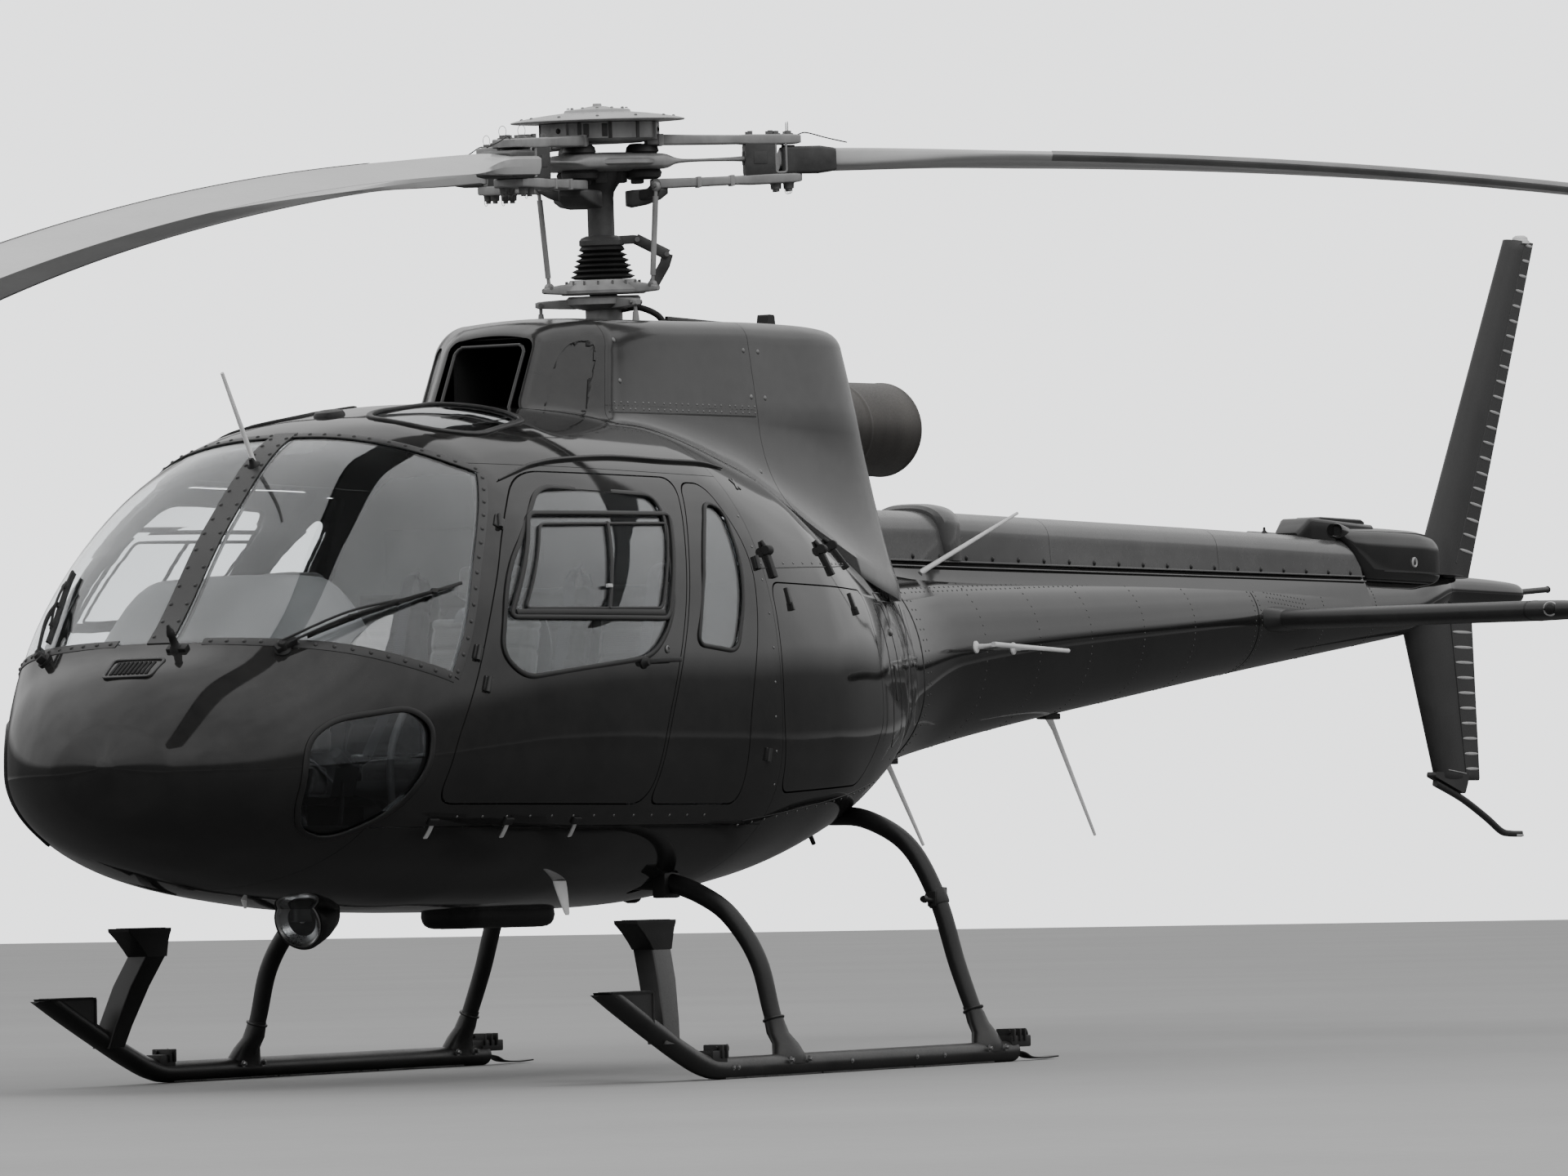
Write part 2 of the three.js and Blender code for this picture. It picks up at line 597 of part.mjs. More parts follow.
// x, half width, foot height, top height
const SHAFT_COVER = [
  [-1600, 130, 1700, 1975],
  [-2400, 125, 1700, 1985],
  [-4200, 110, 1720, 1988],
  [-5900, 96, 1740, 1980],
];

function coverRing(x, extra) {
  const [half, foot, top] = [1, 2, 3].map((c) => between(SHAFT_COVER, c, x));
  const ring = [vec(x, half + extra, foot)];
  for (let i = 0; i <= 8; i += 1) {
    const a = (i / 8) * Math.PI;
    const rise = (top + extra - (top - 150)) * Math.sin(a) ** 0.7;
    const across = Math.sign(Math.cos(a)) * Math.abs(Math.cos(a)) ** 0.7;
    ring.push(vec(x, (half + extra) * across, top - 150 + rise));
  }
  ring.push(vec(x, -half - extra, foot));
  return ring;
}
const coverBody = (extra) => loft([-5900, -5000, -4000, -3000, -2300, -1600].map((x) => coverRing(x, extra)));
const cover = joined([
  coverBody(0),
  loft([-2590, -2540, -2350, -2300].map((x, i) => coverRing(x, i === 1 || i === 2 ? 28 : 2))),
]);
const coverInside = coverBody(-COVER_WALL).intersect(box(-5888, -1618, -200, 200, 1600, 2100));
place('drive_shaft_cover', cover.subtract(coverInside).subtract(bedding), BODY);

// x, half width, foot height, top height
const GEARBOX_FAIRING = [
  [-6750, 50, 1850, 1950],
  [-6690, 98, 1790, 2005],
  [-6500, 112, 1750, 2026],
  [-6000, 112, 1750, 2034],
  [-5720, 106, 1860, 2022],
];

// A rounded-square ring of the given half width between two heights, at station x.
function softRing(x, half, foot, top, points = 16, power = 0.7) {
  const ring = [];
  for (let i = 0; i < points; i += 1) {
    const [c, s] = [Math.cos((i / points) * 2 * Math.PI), Math.sin((i / points) * 2 * Math.PI)];
    const y = half * Math.sign(c) * Math.abs(c) ** power;
    ring.push(vec(x, y, (foot + top) / 2 + ((top - foot) / 2) * Math.sign(s) * Math.abs(s) ** power));
  }
  return ring;
}
const fairingBody = (extra) => loft(GEARBOX_FAIRING.map(([x, half, foot, top], i) => (
  softRing(x + (i === 0 ? -extra : 0), half + extra, foot - extra, top + extra))));
// Half of the fairing's section as [y, height over its top line], from the port foot to the top
const FAN_SECTION = [[70, -140], [70, -4], [55, 6]];
const fanRing = ([x, top]) => [
  ...FAN_SECTION.map(([y, rise]) => vec(x, y, top + rise)),
  ...FAN_SECTION.map(([y, rise]) => vec(x, -y, top + rise)).reverse(),
];
const fanFairing = loft([[-6140, 1990], [-6040, 2034], [-5560, 2050], [-5410, 1992]].map(fanRing));
const tailTop = fairingBody(0).add(fanFairing).subtract(coverBody(0.5)).subtract(bedding);
place('tail_gearbox_fairing', tailTop, BODY);

// A flat surface with a rounded leading edge and a thin trailing edge, from [x, z] corners in side view.
function fin(leadLow, leadHigh, trailHigh, trailLow, thick) {
  const section = (lead, trail, t) => {
    const chord = trail[0] - lead[0];
    const rise = trail[1] - lead[1];
    const profile = [[0, 0], [0.03, 0.45], [0.15, 0.9], [0.35, 1], [0.7, 0.6], [1, 0.12]];
    const port = profile.map(([u, w]) => vec(lead[0] + chord * u, (w * t) / 2, lead[1] + rise * u));
    const starboard = profile.slice(1).reverse().map(([u, w]) => (
      vec(lead[0] + chord * u, (-w * t) / 2, lead[1] + rise * u)));
    return [...port, ...starboard];
  };
  const rings = [0, 0.5, 1].map((t) => {
    const lead = [0, 1].map((k) => THREE.MathUtils.lerp(leadLow[k], leadHigh[k], t));
    const trail = [0, 1].map((k) => THREE.MathUtils.lerp(trailLow[k], trailHigh[k], t));
    return section(lead, trail, THREE.MathUtils.lerp(thick, thick * 0.7, t));
  });
  return loft(rings);
}
const CONE_Z = 1790;
// x, half width, half height
const TAIL_CONE = [
  [-6800, 60, 60],
  [-7200, 54, 60],
  [-7640, 38, 44],
  [-7700, 14, 16],
];
const coneBody = (extra) => loft(TAIL_CONE.map(([x, half, high]) => (
  softRing(x, half + extra, CONE_Z - high - extra, CONE_Z + high + extra, 14, 1))));
const tailRod = tube([vec(-7690, 0, 1800), vec(-8000, 0, 1818)], 14, 1, 8);
const plugBody = (extra) => loft([[-6920, 0.56], [-6590, 0.98]].map(([x, k]) => (
  hullRing(-6600, -extra, RING_POINTS).map((p) => vec(x, p.y * k, CONE_Z + (p.z - CONE_Z) * k)))));
const upperFin = fin([-6690, 1900], [-7640, 3320], [-7930, 3320], [-7180, 1900], 74);
const lowerFin = fin([-6480, 1700], [-6800, 1000], [-7240, 1000], [-7190, 1700], 70);
const tailSection = joined([boomRear, plugBody(0), coneBody(0), tailRod]).subtract(fairingBody(FIT));
const tailCoreFit = joined([fairingBody(FIT), plugBody(1), coneBody(FIT), bedding]);
place('upper_fin', upperFin.subtract(tailCoreFit), SATIN);
const SKID_BAR = [[-6790, 990], [-7060, 924], [-7300, 845], [-7450, 788], [-7655, 775]];
const skidPath = SKID_BAR.map(([x, z]) => vec(x, 0, z));
const FIN_CAP = [[-6760, 1030], [-6760, 1008], [-7050, 936], [-7085, 985], [-7100, 1030]];
const finCap = sidePrism(outline(FIN_CAP), -20, 20);
const TAIL_SKID_RADIUS = 14;
const skidSlot = tube(skidPath, TAIL_SKID_RADIUS + 0.6, 8, 6);
place('lower_fin', joined([lowerFin.subtract(tailCoreFit), finCap]).subtract(skidSlot), SATIN);
place('tail_skid', tube(skidPath, TAIL_SKID_RADIUS, 8, 6), SATIN);

const STABILISER_LEAD_X = -4830;
const STABILISER_CHORD = 420;
const STABILISER_Z = 1630;
const STABILISER_THICK = 66;
function stabiliserRing(y, extra) {
  const profile = [[0, 0], [0.03, 0.35], [0.15, 0.55], [0.4, 0.6], [0.75, 0.35], [1, 0.06]];
  const point = (u, w) => vec(
    STABILISER_LEAD_X + extra - (STABILISER_CHORD + 2 * extra) * u,
    y,
    STABILISER_Z + w * STABILISER_THICK + Math.sign(w) * extra,
  );
  return [
    ...profile.map(([u, w]) => point(u, w)),
    ...profile.slice(1).reverse().map(([u, w]) => point(u, -w)),
  ];
}
const stabiliserBody = (extra) => loft([-0.5, 0, 0.5].map((t) => stabiliserRing(t * STABILISER_SPAN, extra)));
const stabiliser = stabiliserBody(0);
const stabiliserSlot = stabiliserBody(0.8);
place('stabiliser', stabiliser, SATIN);
place('tail_boom', boomFront.subtract(stabiliserSlot), BODY);
place('tail_section', tailSection.subtract(stabiliserSlot), BODY);

// Landing gear
place('front_cross_tube', legTube(FRONT_LEG, FRONT_LEG_X, LEG_RADIUS), SATIN);
place('rear_cross_tube', legTube(REAR_LEG, REAR_LEG_X, LEG_RADIUS), SATIN);

const half = SKID_TRACK / 2;
const FOOT_PROFILE = [[0, 60], [62, 60], [50, 130], [42, 200], [0, 200]];
const footCone = (x, lean) => moved(turned(FOOT_PROFILE, 14), shift(x, half + 4, -8).multiply(turnX(lean)));
const skidLine = [
  vec(SKID_REAR_X, half, SKID_TUBE), vec(0, half, SKID_TUBE), vec(SKID_BEND_X - 60, half, SKID_TUBE),
  vec(SKID_BEND_X + 45, half, 68), vec(1640, half, 172), vec(1935, half, 298),
];
const skidTube = joined([
  tube(skidLine, SKID_TUBE, 18, 8),
  footCone(FRONT_LEG_X, 9),
  footCone(REAR_LEG_X, 7),
]);
const skidPort = skidTube.subtract(joined([
  legTube(FRONT_LEG, FRONT_LEG_X, LEG_RADIUS + LEG_FIT), legTube(REAR_LEG, REAR_LEG_X, LEG_RADIUS + LEG_FIT),
  legEnd(FRONT_LEG_X), legEnd(REAR_LEG_X),
]));
const STEP_Z = 302;
// Side outlines of the two steps, [x, z]
const LOWER_STEP = [[1676, 150], [1900, 262], [1953, 290], [1953, STEP_Z], [1676, STEP_Z]];
const UPPER_STEP = [[1398, 418], [1522, 428], [1628, 506], [1630, 524], [1380, 524]];
const shoe = box(-700, 1200, half - 20, half + 20, 0, 20);
const underGround = box(-1200, 2200, 0, 1400, -60, 0);
const overStep = box(1600, 2200, 0, 1400, STEP_Z, 400);
const runner = skidPort.add(shoe).subtract(underGround).subtract(overStep);
const steps = joined([
  sidePrism(outline(LOWER_STEP), half - 35, half + 35),
  bar(vec(1456, half - 4, 95), vec(1462, half - 98, 440), 56, 120),
  sidePrism(outline(UPPER_STEP), half - 138, half - 58),
]);
const skid = runner.add(steps);
place('skid_port', skid, SATIN);
place('skid_starboard', mirrored(skid), SATIN);

// Main rotor, laid out about its own axis with the hub plate's middle at zero
const rotor = new THREE.Group();
rotor.applyMatrix4(mastAxes);
model.add(rotor);

const MAST_PROFILE = [[0, -540], [50, -540], [50, -60], [70, -50], [70, -27], [0, -27]];
place('rotor_mast', turned(MAST_PROFILE, 20), STEEL, rotor);
const drum = turned([[0, 20], [90, 20], [90, 70], [205, 72], [205, 135], [0, 135]], 24);
const DOME_PROFILE = [
  [0, 136], [300, 136], [303, 142], [180, 162], [110, 172], [105, 182], [60, 194], [28, 205], [0, 205],
];
place('head_dome', turned(DOME_PROFILE, 32), GREY, rotor);

const arm = (azimuth, body) => moved(body, turnZ(azimuth));
const azimuths = Array.from({ length: BLADE_COUNT }, (_, i) => REST_AZIMUTH + (360 / BLADE_COUNT) * i);
const STAR_ARM = [
  [-60, -150], [150, -110], [260, -60], [520, -45], [520, 45], [260, 60], [150, 110], [-60, 150],
];
const starArm = planPrism(outline(STAR_ARM, 30), -26, 26)
  .subtract(sidePrism(outline([[280, 60], [300, 9], [500, 9], [530, 60]]), -200, 200))
  .subtract(sidePrism(outline([[280, -60], [530, -60], [500, -9], [300, -9]]), -200, 200));

const SLEEVE_PLATE = [[170, -55], [260, -62], [700, -70], [700, 70], [260, 62], [170, 55]];
const SLEEVE_TOP = [56, 92];
const SLEEVE_BOTTOM = [-96, -60];
const sleeve = joined([
  planPrism(outline(SLEEVE_PLATE, 25), ...SLEEVE_TOP),
  planPrism(outline(SLEEVE_PLATE, 25), ...SLEEVE_BOTTOM),
  box(495, 610, -66, 66, -62, 58),
]).subtract(box(400, 522, -46, 46, -27, 27));
const BLADE_ROOT = 625;

function bladeRing(radius) {
  const t = (radius - BLADE_ROOT) / (ROTOR_RADIUS - BLADE_ROOT);
  const full = THREE.MathUtils.smoothstep(radius, 750, 1500);
  const chord = THREE.MathUtils.lerp(130, BLADE_CHORD, full);
  const thick = THREE.MathUtils.lerp(62, BLADE_CHORD * 0.11, full);
  const pitch = deg(THREE.MathUtils.lerp(9, -3, t));
  const drop = BLADE_DROOP * (radius / ROTOR_RADIUS) ** DROOP_POWER;
  const profile = [[0, 0], [0.06, 0.6], [0.25, 1], [0.6, 0.75], [1, 0.06]];
  const points = [
    ...profile.map(([u, w]) => [u, w / 2]),
    ...profile.slice(1).reverse().map(([u, w]) => [u, -w / 2]),
  ];
  return points.map(([u, w]) => {
    const along = (u - 0.28) * chord;
    const up = w * thick;
    const y = along * Math.cos(pitch) + up * Math.sin(pitch);
    return vec(radius, y, up * Math.cos(pitch) - along * Math.sin(pitch) - drop);
  });
}
const bladeStations = [BLADE_ROOT, 750, 1000, 1500, 2400, 3400, 4400, ROTOR_RADIUS];
const blade = loft(bladeStations.map(bladeRing))
  .subtract(box(600, 720, -200, 200, SLEEVE_TOP[0] - 1, 200))
  .subtract(box(600, 720, -200, 200, -200, SLEEVE_BOTTOM[1] + 5));
const bladeArms = azimuths.flatMap((a) => [arm(a, starArm), arm(a, sleeve)]);
place('rotor_head', joined([drum, ...bladeArms]), STEEL, rotor);
azimuths.forEach((a, i) => {
  place(`main_blade_${i + 1}`, arm(a, blade), BLADE, rotor);
});

const LINK_RADIUS = 205;
const swashRotating = joined([
  turned([[62, -455], [150, -455], [150, -405], [62, -405], [62, -455]], 28),
  ...azimuths.map((a) => arm(a + 35, box(120, LINK_RADIUS + 22, -22, 22, -452, -412))),
  ...azimuths.map((a) => arm(a + 35, bar(vec(LINK_RADIUS, 0, -420), vec(LINK_RADIUS + 30, 0, -100), 20, 20))),
]);
place('rotating_swashplate', swashRotating, STEEL, rotor);
const bellows = [[52, -400]];
for (let i = 0; i < 6; i += 1) bellows.push([112 - 7 * i, -398 + 18 * i], [92 - 7 * i, -389 + 18 * i]);
bellows.push([66, -288], [52, -288], [52, -400]);
place('mast_bellows', turned(bellows, 16), RUBBER, rotor);

const mastBase = new THREE.Group();
mastBase.applyMatrix4(mastAxes);
model.add(mastBase);
place('fixed_swashplate', joined([
  turned([[58, -505], [70, -505], [130, -490], [130, -462], [58, -462], [58, -505]], 28),
  ...[60, 180, 300].map((a) => arm(a, box(100, 235, -20, 20, -498, -466))),
  ...[60, 180, 300].map((a) => arm(a, box(205, 229, -12, 12, -535, -480))),
  turned([[0, -616], [64, -616], [64, -500], [56, -500], [56, -545], [0, -545]], 24),
]), STEEL, mastBase);

// Tail rotor, on the starboard side
const tailRotor = new THREE.Group();
tailRotor.position.set(TAIL_ROTOR_X, TAIL_ROTOR_Y, TAIL_ROTOR_Z);
model.add(tailRotor);

const TAIL_BLADE_CHORD = 185;
const TAIL_BLADE_THICK = 20;
function tailBladeRing(radius) {
  const pitch = deg(THREE.MathUtils.lerp(14, 4, radius / TAIL_ROTOR_RADIUS));
  const profile = [[0, 0], [0.08, 0.6], [0.3, 1], [0.65, 0.7], [1, 0.08]];
  const points = [
    ...profile.map(([u, w]) => [u, w / 2]),
    ...profile.slice(1).reverse().map(([u, w]) => [u, -w / 2]),
  ];
  return points.map(([u, w]) => {
    const along = (u - 0.5) * TAIL_BLADE_CHORD;
    const up = w * TAIL_BLADE_THICK;
    const [c, s] = [Math.cos(pitch), Math.sin(pitch)];
    return vec(radius, along * s + up * c, along * c - up * s);
  });
}
const tailBlade = loft([150, 300, 600, TAIL_ROTOR_RADIUS].map(tailBladeRing));
const tailHub = joined([
  moved(turned([[0, -60], [55, -60], [55, 30], [30, 60], [30, 190], [0, 190]], 20), turnX(-90)),
  box(-120, 120, -26, 26, -55, 55),
]).subtract(box(-300, 300, -10 - FIT, 10 + FIT, -40 - FIT, 40 + FIT));
place('tail_rotor_hub', tailHub, STEEL, tailRotor);
const tailSpar = joined([tailBlade, moved(tailBlade, turnY(180)), box(-200, 200, -10, 10, -40, 40)]);
place('tail_rotor_blades', tailSpar, BLADE, tailRotor);

// Belly fittings
const LAMP_PROFILE = [[0, -92], [60, -92], [95, -60], [98, -20], [98, 60], [0, 60]];
place('landing_light', moved(turned(LAMP_PROFILE), shift(2010, 0, 552)).subtract(bedding), SATIN);
const POD = [[545, -112], [1180, -112], [1180, 112], [545, 112]];
place('belly_pod', planPrism(outline(POD, 105), 500, 600).subtract(bedding), RUBBER);

for (const group of [rotor, mastBase, tailRotor]) group.updateMatrixWorld(true);
model.position.set(...ORIGIN_SHIFT);

export default model;
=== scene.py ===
"""Looks of a light single-engine helicopter on skids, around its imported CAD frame.

Metres, +X to the nose, +Y to port, +Z up. Everything is laid out from the foot of the rotor
mast, as in the part's source, and each finished mesh is moved by MAST_FOOT into the frame.
"""

import math

import bmesh
import bpy
import numpy as np
from mathutils import Matrix, Vector


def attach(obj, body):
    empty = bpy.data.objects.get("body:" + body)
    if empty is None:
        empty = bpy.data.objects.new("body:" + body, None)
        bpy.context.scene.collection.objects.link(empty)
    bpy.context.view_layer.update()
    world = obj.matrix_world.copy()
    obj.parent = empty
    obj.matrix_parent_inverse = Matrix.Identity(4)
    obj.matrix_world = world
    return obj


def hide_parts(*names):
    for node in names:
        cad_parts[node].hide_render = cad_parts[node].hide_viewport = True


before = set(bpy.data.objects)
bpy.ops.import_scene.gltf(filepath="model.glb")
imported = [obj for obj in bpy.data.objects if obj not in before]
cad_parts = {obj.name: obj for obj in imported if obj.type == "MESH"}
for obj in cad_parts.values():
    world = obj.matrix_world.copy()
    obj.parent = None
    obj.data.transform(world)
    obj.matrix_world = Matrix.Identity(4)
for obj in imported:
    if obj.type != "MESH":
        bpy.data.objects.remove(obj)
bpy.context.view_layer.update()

# Driving sizes, as in the part's source
MAST_FOOT = Vector((1.34, 0.21, 0.0))
HUB = Vector((0.032, 0.0, 3.118))
MAST_TILT = 3.5
MAST_LEAN = -1.0
REST_AZIMUTH = 3.7
ROTOR_RADIUS = 5.345
BLADE_DROOP = 0.575
DROOP_POWER = 2.35
TAIL_HUB = Vector((-6.62, -0.33, 1.89))
TAIL_RADIUS = 0.93
NOSE_X = 3.16
NOSE_TIP_Z = 1.03
NOSE_BULGE = 0.004
NOSE_ROUND = (7.5, 11.5)
BULKHEAD_X = 0.48
BOOM_START_X = -1.555
BOOM_JOINT_X = -4.73
SKIN = 0.030
GLASS_SET = 0.003
GLASS = 0.008
FIT = 0.00035
SKID_Y = 1.065
ROTOR_FRAME = (
    Matrix.Translation(HUB)
    @ Matrix.Rotation(math.radians(MAST_LEAN), 4, "X")
    @ Matrix.Rotation(math.radians(MAST_TILT), 4, "Y")
)
TAIL_FRAME = Matrix.Translation(TAIL_HUB)


# Smooth columns over x, without overshoot between the rows


class Table:
    """Reads each column of a short table of stations at any x."""

    def __init__(self, rows):
        rows = np.array(rows, float)[::-1]
        self.x = rows[:, 0]
        self.y = rows[:, 1:]
        rise = np.diff(self.y, axis=0) / np.diff(self.x)[:, None]
        both = rise[:-1] * rise[1:]
        total = rise[:-1] + rise[1:]
        middle = np.where(both > 0, 2 * both / np.where(total == 0, 1, total), 0)
        self.slope = np.vstack([rise[:1], middle, rise[-1:]])

    def at(self, x):
        x = np.atleast_1d(np.asarray(x, float))
        x = np.clip(x, self.x[0], self.x[-1])
        k = np.clip(np.searchsorted(self.x, x) - 1, 0, len(self.x) - 2)
        span = (self.x[k + 1] - self.x[k])[:, None]
        t = (x - self.x[k])[:, None] / span
        start = (1 + 2 * t) * (1 - t) ** 2 * self.y[k] + t * (1 - t) ** 2 * span * self.slope[k]
        end = t * t * (3 - 2 * t) * self.y[k + 1] + t * t * (t - 1) * span * self.slope[k + 1]
        return (start + end).T


# Fuselage shape: x, half width, bottom, top, widest height, roundness above and below it
HULL = Table(
    [
        (3.160, 0.030, 1.000, 1.060, 1.030, 2.0, 2.0),
        (3.120, 0.230, 0.862, 1.170, 1.020, 2.0, 2.0),
        (3.000, 0.440, 0.768, 1.320, 1.020, 2.2, 2.0),
        (2.840, 0.590, 0.702, 1.425, 1.030, 2.6, 2.0),
        (2.500, 0.770, 0.626, 1.795, 1.060, 2.7, 2.1),
        (2.150, 0.860, 0.588, 2.075, 1.100, 2.5, 2.2),
        (1.860, 0.900, 0.568, 2.170, 1.130, 2.5, 2.3),
        (1.300, 0.930, 0.558, 2.235, 1.150, 2.5, 2.4),
        (0.600, 0.930, 0.560, 2.240, 1.150, 2.5, 2.4),
        (0.000, 0.880, 0.612, 2.150, 1.160, 2.5, 2.3),
        (-0.500, 0.770, 0.700, 2.000, 1.180, 2.4, 2.2),
        (-1.000, 0.600, 0.828, 1.880, 1.230, 2.3, 2.1),
        (-1.500, 0.400, 0.975, 1.790, 1.320, 2.2, 2.0),
        (-2.000, 0.320, 1.080, 1.770, 1.430, 2.1, 2.0),
        (-4.000, 0.230, 1.330, 1.800, 1.580, 2.0, 2.0),
        (-6.600, 0.110, 1.610, 1.840, 1.720, 2.0, 2.0),
    ]
)
RING_POINTS = 144


def hull_columns(x, inset=0.0):
    lead = np.clip((np.asarray(x, float) - 2.2) / 0.9, 0, 1)
    wide, low, high, waist, above, below = HULL.at(np.minimum(NOSE_X, x + inset * lead))
    wide = np.maximum(0.002, wide - inset)
    up = np.maximum(0.002, high - inset - waist)
    down = np.maximum(0.002, waist - low - inset)
    return wide, up, down, waist, above, below


def hull_loft(inset, stations):
    """Rings of points on the fuselage, drawn in by the inset."""
    room = inset + 0.04 if inset > 0.001 else 0.0
    x = np.array([s for s in stations if s <= NOSE_X - room])
    wide, up, down, waist, above, below = [c[:, None] for c in hull_columns(x, inset)]
    angle = np.linspace(0, 2 * np.pi, RING_POINTS, endpoint=False)[None, :]
    c, s = np.cos(angle), np.sin(angle)
    power = 2 / np.where(s >= 0, above, below)
    y = wide * np.sign(c) * np.abs(c) ** power
    z = waist + np.where(s >= 0, up, down) * np.sign(s) * np.abs(s) ** power
    return np.stack([np.repeat(x[:, None], RING_POINTS, 1), y, z], axis=2)


def hull_field(points, inset=0.0):
    """Rough signed distance to the fuselage's surface, and its outward normal, at each point."""

    def value(p):
        wide, up, down, waist, above, below = hull_columns(p[:, 0], inset)
        high = p[:, 2] >= waist
        power = np.where(high, above, below)
        tall = np.where(high, up, down)
        level = (np.abs(p[:, 1]) / wide) ** power + (np.abs(p[:, 2] - waist) / tall) ** power
        return level ** (1 / power)

    step = 1e-3
    here = value(points)
    slopes = []
    for axis in range(3):
        move = np.zeros(3)
        move[axis] = step
        slopes.append((value(points + move) - value(points - move)) / (2 * step))
    slope = np.stack(slopes, axis=1)
    size = np.linalg.norm(slope, axis=1) + 1e-9
    return (here - 1) / size, slope / size[:, None]


def skin_y(x, z):
    """Half width of the fuselage at a station and height."""
    wide, up, down, waist, above, below = [float(c[0]) for c in hull_columns(x)]
    tall, power = (up, above) if z >= waist else (down, below)
    rest = max(0.0, 1 - (abs(z - waist) / tall) ** power)
    return wide * rest ** (1 / power)


def skin_z(x, y, top=True):
    """Height of the fuselage's top or bottom at a station and half width."""
    wide, up, down, waist, above, below = [float(c[0]) for c in hull_columns(x)]
    tall, power = (up, above) if top else (-down, below)
    rest = max(0.0, 1 - (abs(y) / wide) ** power)
    return waist + tall * rest ** (1 / power)


def skin_normal(point):
    return Vector(hull_field(np.array([point[:]], float))[1][0])


# Meshes


def mesh_of(name, points, faces):
    mesh = bpy.data.meshes.new(name)
    mesh.from_pydata([tuple(map(float, p)) for p in points], [], [tuple(f) for f in faces])
    mesh.update()
    return mesh


def faces_outward(mesh):
    bm = bmesh.new()
    bm.from_mesh(mesh)
    bmesh.ops.recalc_face_normals(bm, faces=bm.faces)
    bm.to_mesh(mesh)
    bm.free()
    return mesh


def loft(rings):
    """A closed skin over rings of equal point counts."""
    rings = [[tuple(p) for p in ring] for ring in rings]
    count = len(rings[0])
    points = [p for ring in rings for p in ring]
    faces = []
    for r in range(len(rings) - 1):
        for i in range(count):
            a, b = r * count + i, r * count + (i + 1) % count
            faces.append((a, b, b + count, a + count))
    faces.append(tuple(range(count))[::-1])
    faces.append(tuple(range((len(rings) - 1) * count, len(rings) * count)))
    return faces_outward(mesh_of("loft", points, faces))


def moved(mesh, matrix):
    copy = mesh.copy()
    copy.transform(matrix)
    if matrix.determinant() < 0:
        copy.flip_normals()
    return copy


def mirrored(mesh):
    return moved(mesh, Matrix.Scale(-1, 4, (0, 1, 0)))


def merged(meshes):
    bm = bmesh.new()
    for mesh in meshes:
        bm.from_mesh(mesh)
    out = bpy.data.meshes.new("merged")
    bm.to_mesh(out)
    bm.free()
    return out


def boolean(mesh, other, how="DIFFERENCE"):
    """The closed mesh cut by, joined to or kept inside another."""
    scene = bpy.context.scene
    kept = bpy.data.objects.new("kept", mesh)
    tool = bpy.data.objects.new("tool", other)
    for o in (kept, tool):
        scene.collection.objects.link(o)
    cut = kept.modifiers.new("cut", "BOOLEAN")
    cut.object = tool
    cut.operation = how
    cut.solver = "MANIFOLD"
    result = bpy.data.meshes.new_from_object(kept.evaluated_get(bpy.context.evaluated_depsgraph_get()))
    for o in (kept, tool):
        bpy.data.objects.remove(o)
    return result


def block(x0, x1, y0, y1, z0, z1):
    corners = [(x, y, z) for x in (x0, x1) for y in (y0, y1) for z in (z0, z1)]
    sides = [(0, 1, 3, 2), (4, 6, 7, 5), (0, 4, 5, 1), (2, 3, 7, 6), (0, 2, 6, 4), (1, 5, 7, 3)]
    return mesh_of("block", corners, sides)


def soft_block(x0, x1, y0, y1, z0, z1, edge=0.006, steps=2):
    bm = bmesh.new()
    bm.from_mesh(block(x0, x1, y0, y1, z0, z1))
    bmesh.ops.bevel(bm, geom=bm.edges[:], offset=edge, segments=steps, affect="EDGES", profile=0.7)
    out = bpy.data.meshes.new("soft_block")
    bm.to_mesh(out)
    bm.free()
    return out


def rounded(points, radius, steps=6):
    """An outline with each corner rounded, as a list of 2-D points."""
    result = []
    for i, here in enumerate(points):
        here = Vector(here)
        before, after = Vector(points[i - 1]), Vector(points[(i + 1) % len(points)])
        reach = min(radius, (here - before).length / 2.2, (here - after).length / 2.2)
        enter = here.lerp(before, reach / (here - before).length)
        leave = here.lerp(after, reach / (here - after).length)
        for k in range(steps + 1):
            t = k / steps
            result.append(enter * (1 - t) ** 2 + here * 2 * t * (1 - t) + leave * t * t)
    return result


def grown(points, by):
    """An outline with each side moved outwards by the same amount."""
    count = len(points)
    area = sum(points[i][0] * points[(i + 1) % count][1] - points[(i + 1) % count][0] * points[i][1]
               for i in range(count))
    turn = math.copysign(1, area)
    result = []
    for i in range(count):
        here = Vector(points[i])
        p = (here - Vector(points[i - 1])).normalized()
        q = (Vector(points[(i + 1) % count]) - here).normalized()
        out_p, out_q = Vector((p.y, -p.x)) * turn * by, Vector((q.y, -q.x)) * turn * by
        cross = p.x * q.y - p.y * q.x
        if abs(cross) < 0.02:
            result.append(here + out_q)
            continue
        gap = out_q - out_p
        result.append(here + out_p + p * ((gap.x * q.y - gap.y * q.x) / cross))
    return result


def prism(outline, place, low, high):
    """A closed prism: place turns (a, b, depth) into a point."""
    count = len(outline)
    points = [place(p[0], p[1], depth) for depth in (low, high) for p in outline]
    faces = [(i, (i + 1) % count, count + (i + 1) % count, count + i) for i in range(count)]
    faces += [tuple(range(count))[::-1], tuple(range(count, 2 * count))]
    return faces_outward(mesh_of("prism", points, faces))


def side_prism(outline, y0, y1):
    return prism(outline, lambda a, b, d: (a, d, b), y0, y1)


def end_prism(outline, x0, x1):
    return prism(outline, lambda a, b, d: (d, a, b), x0, x1)


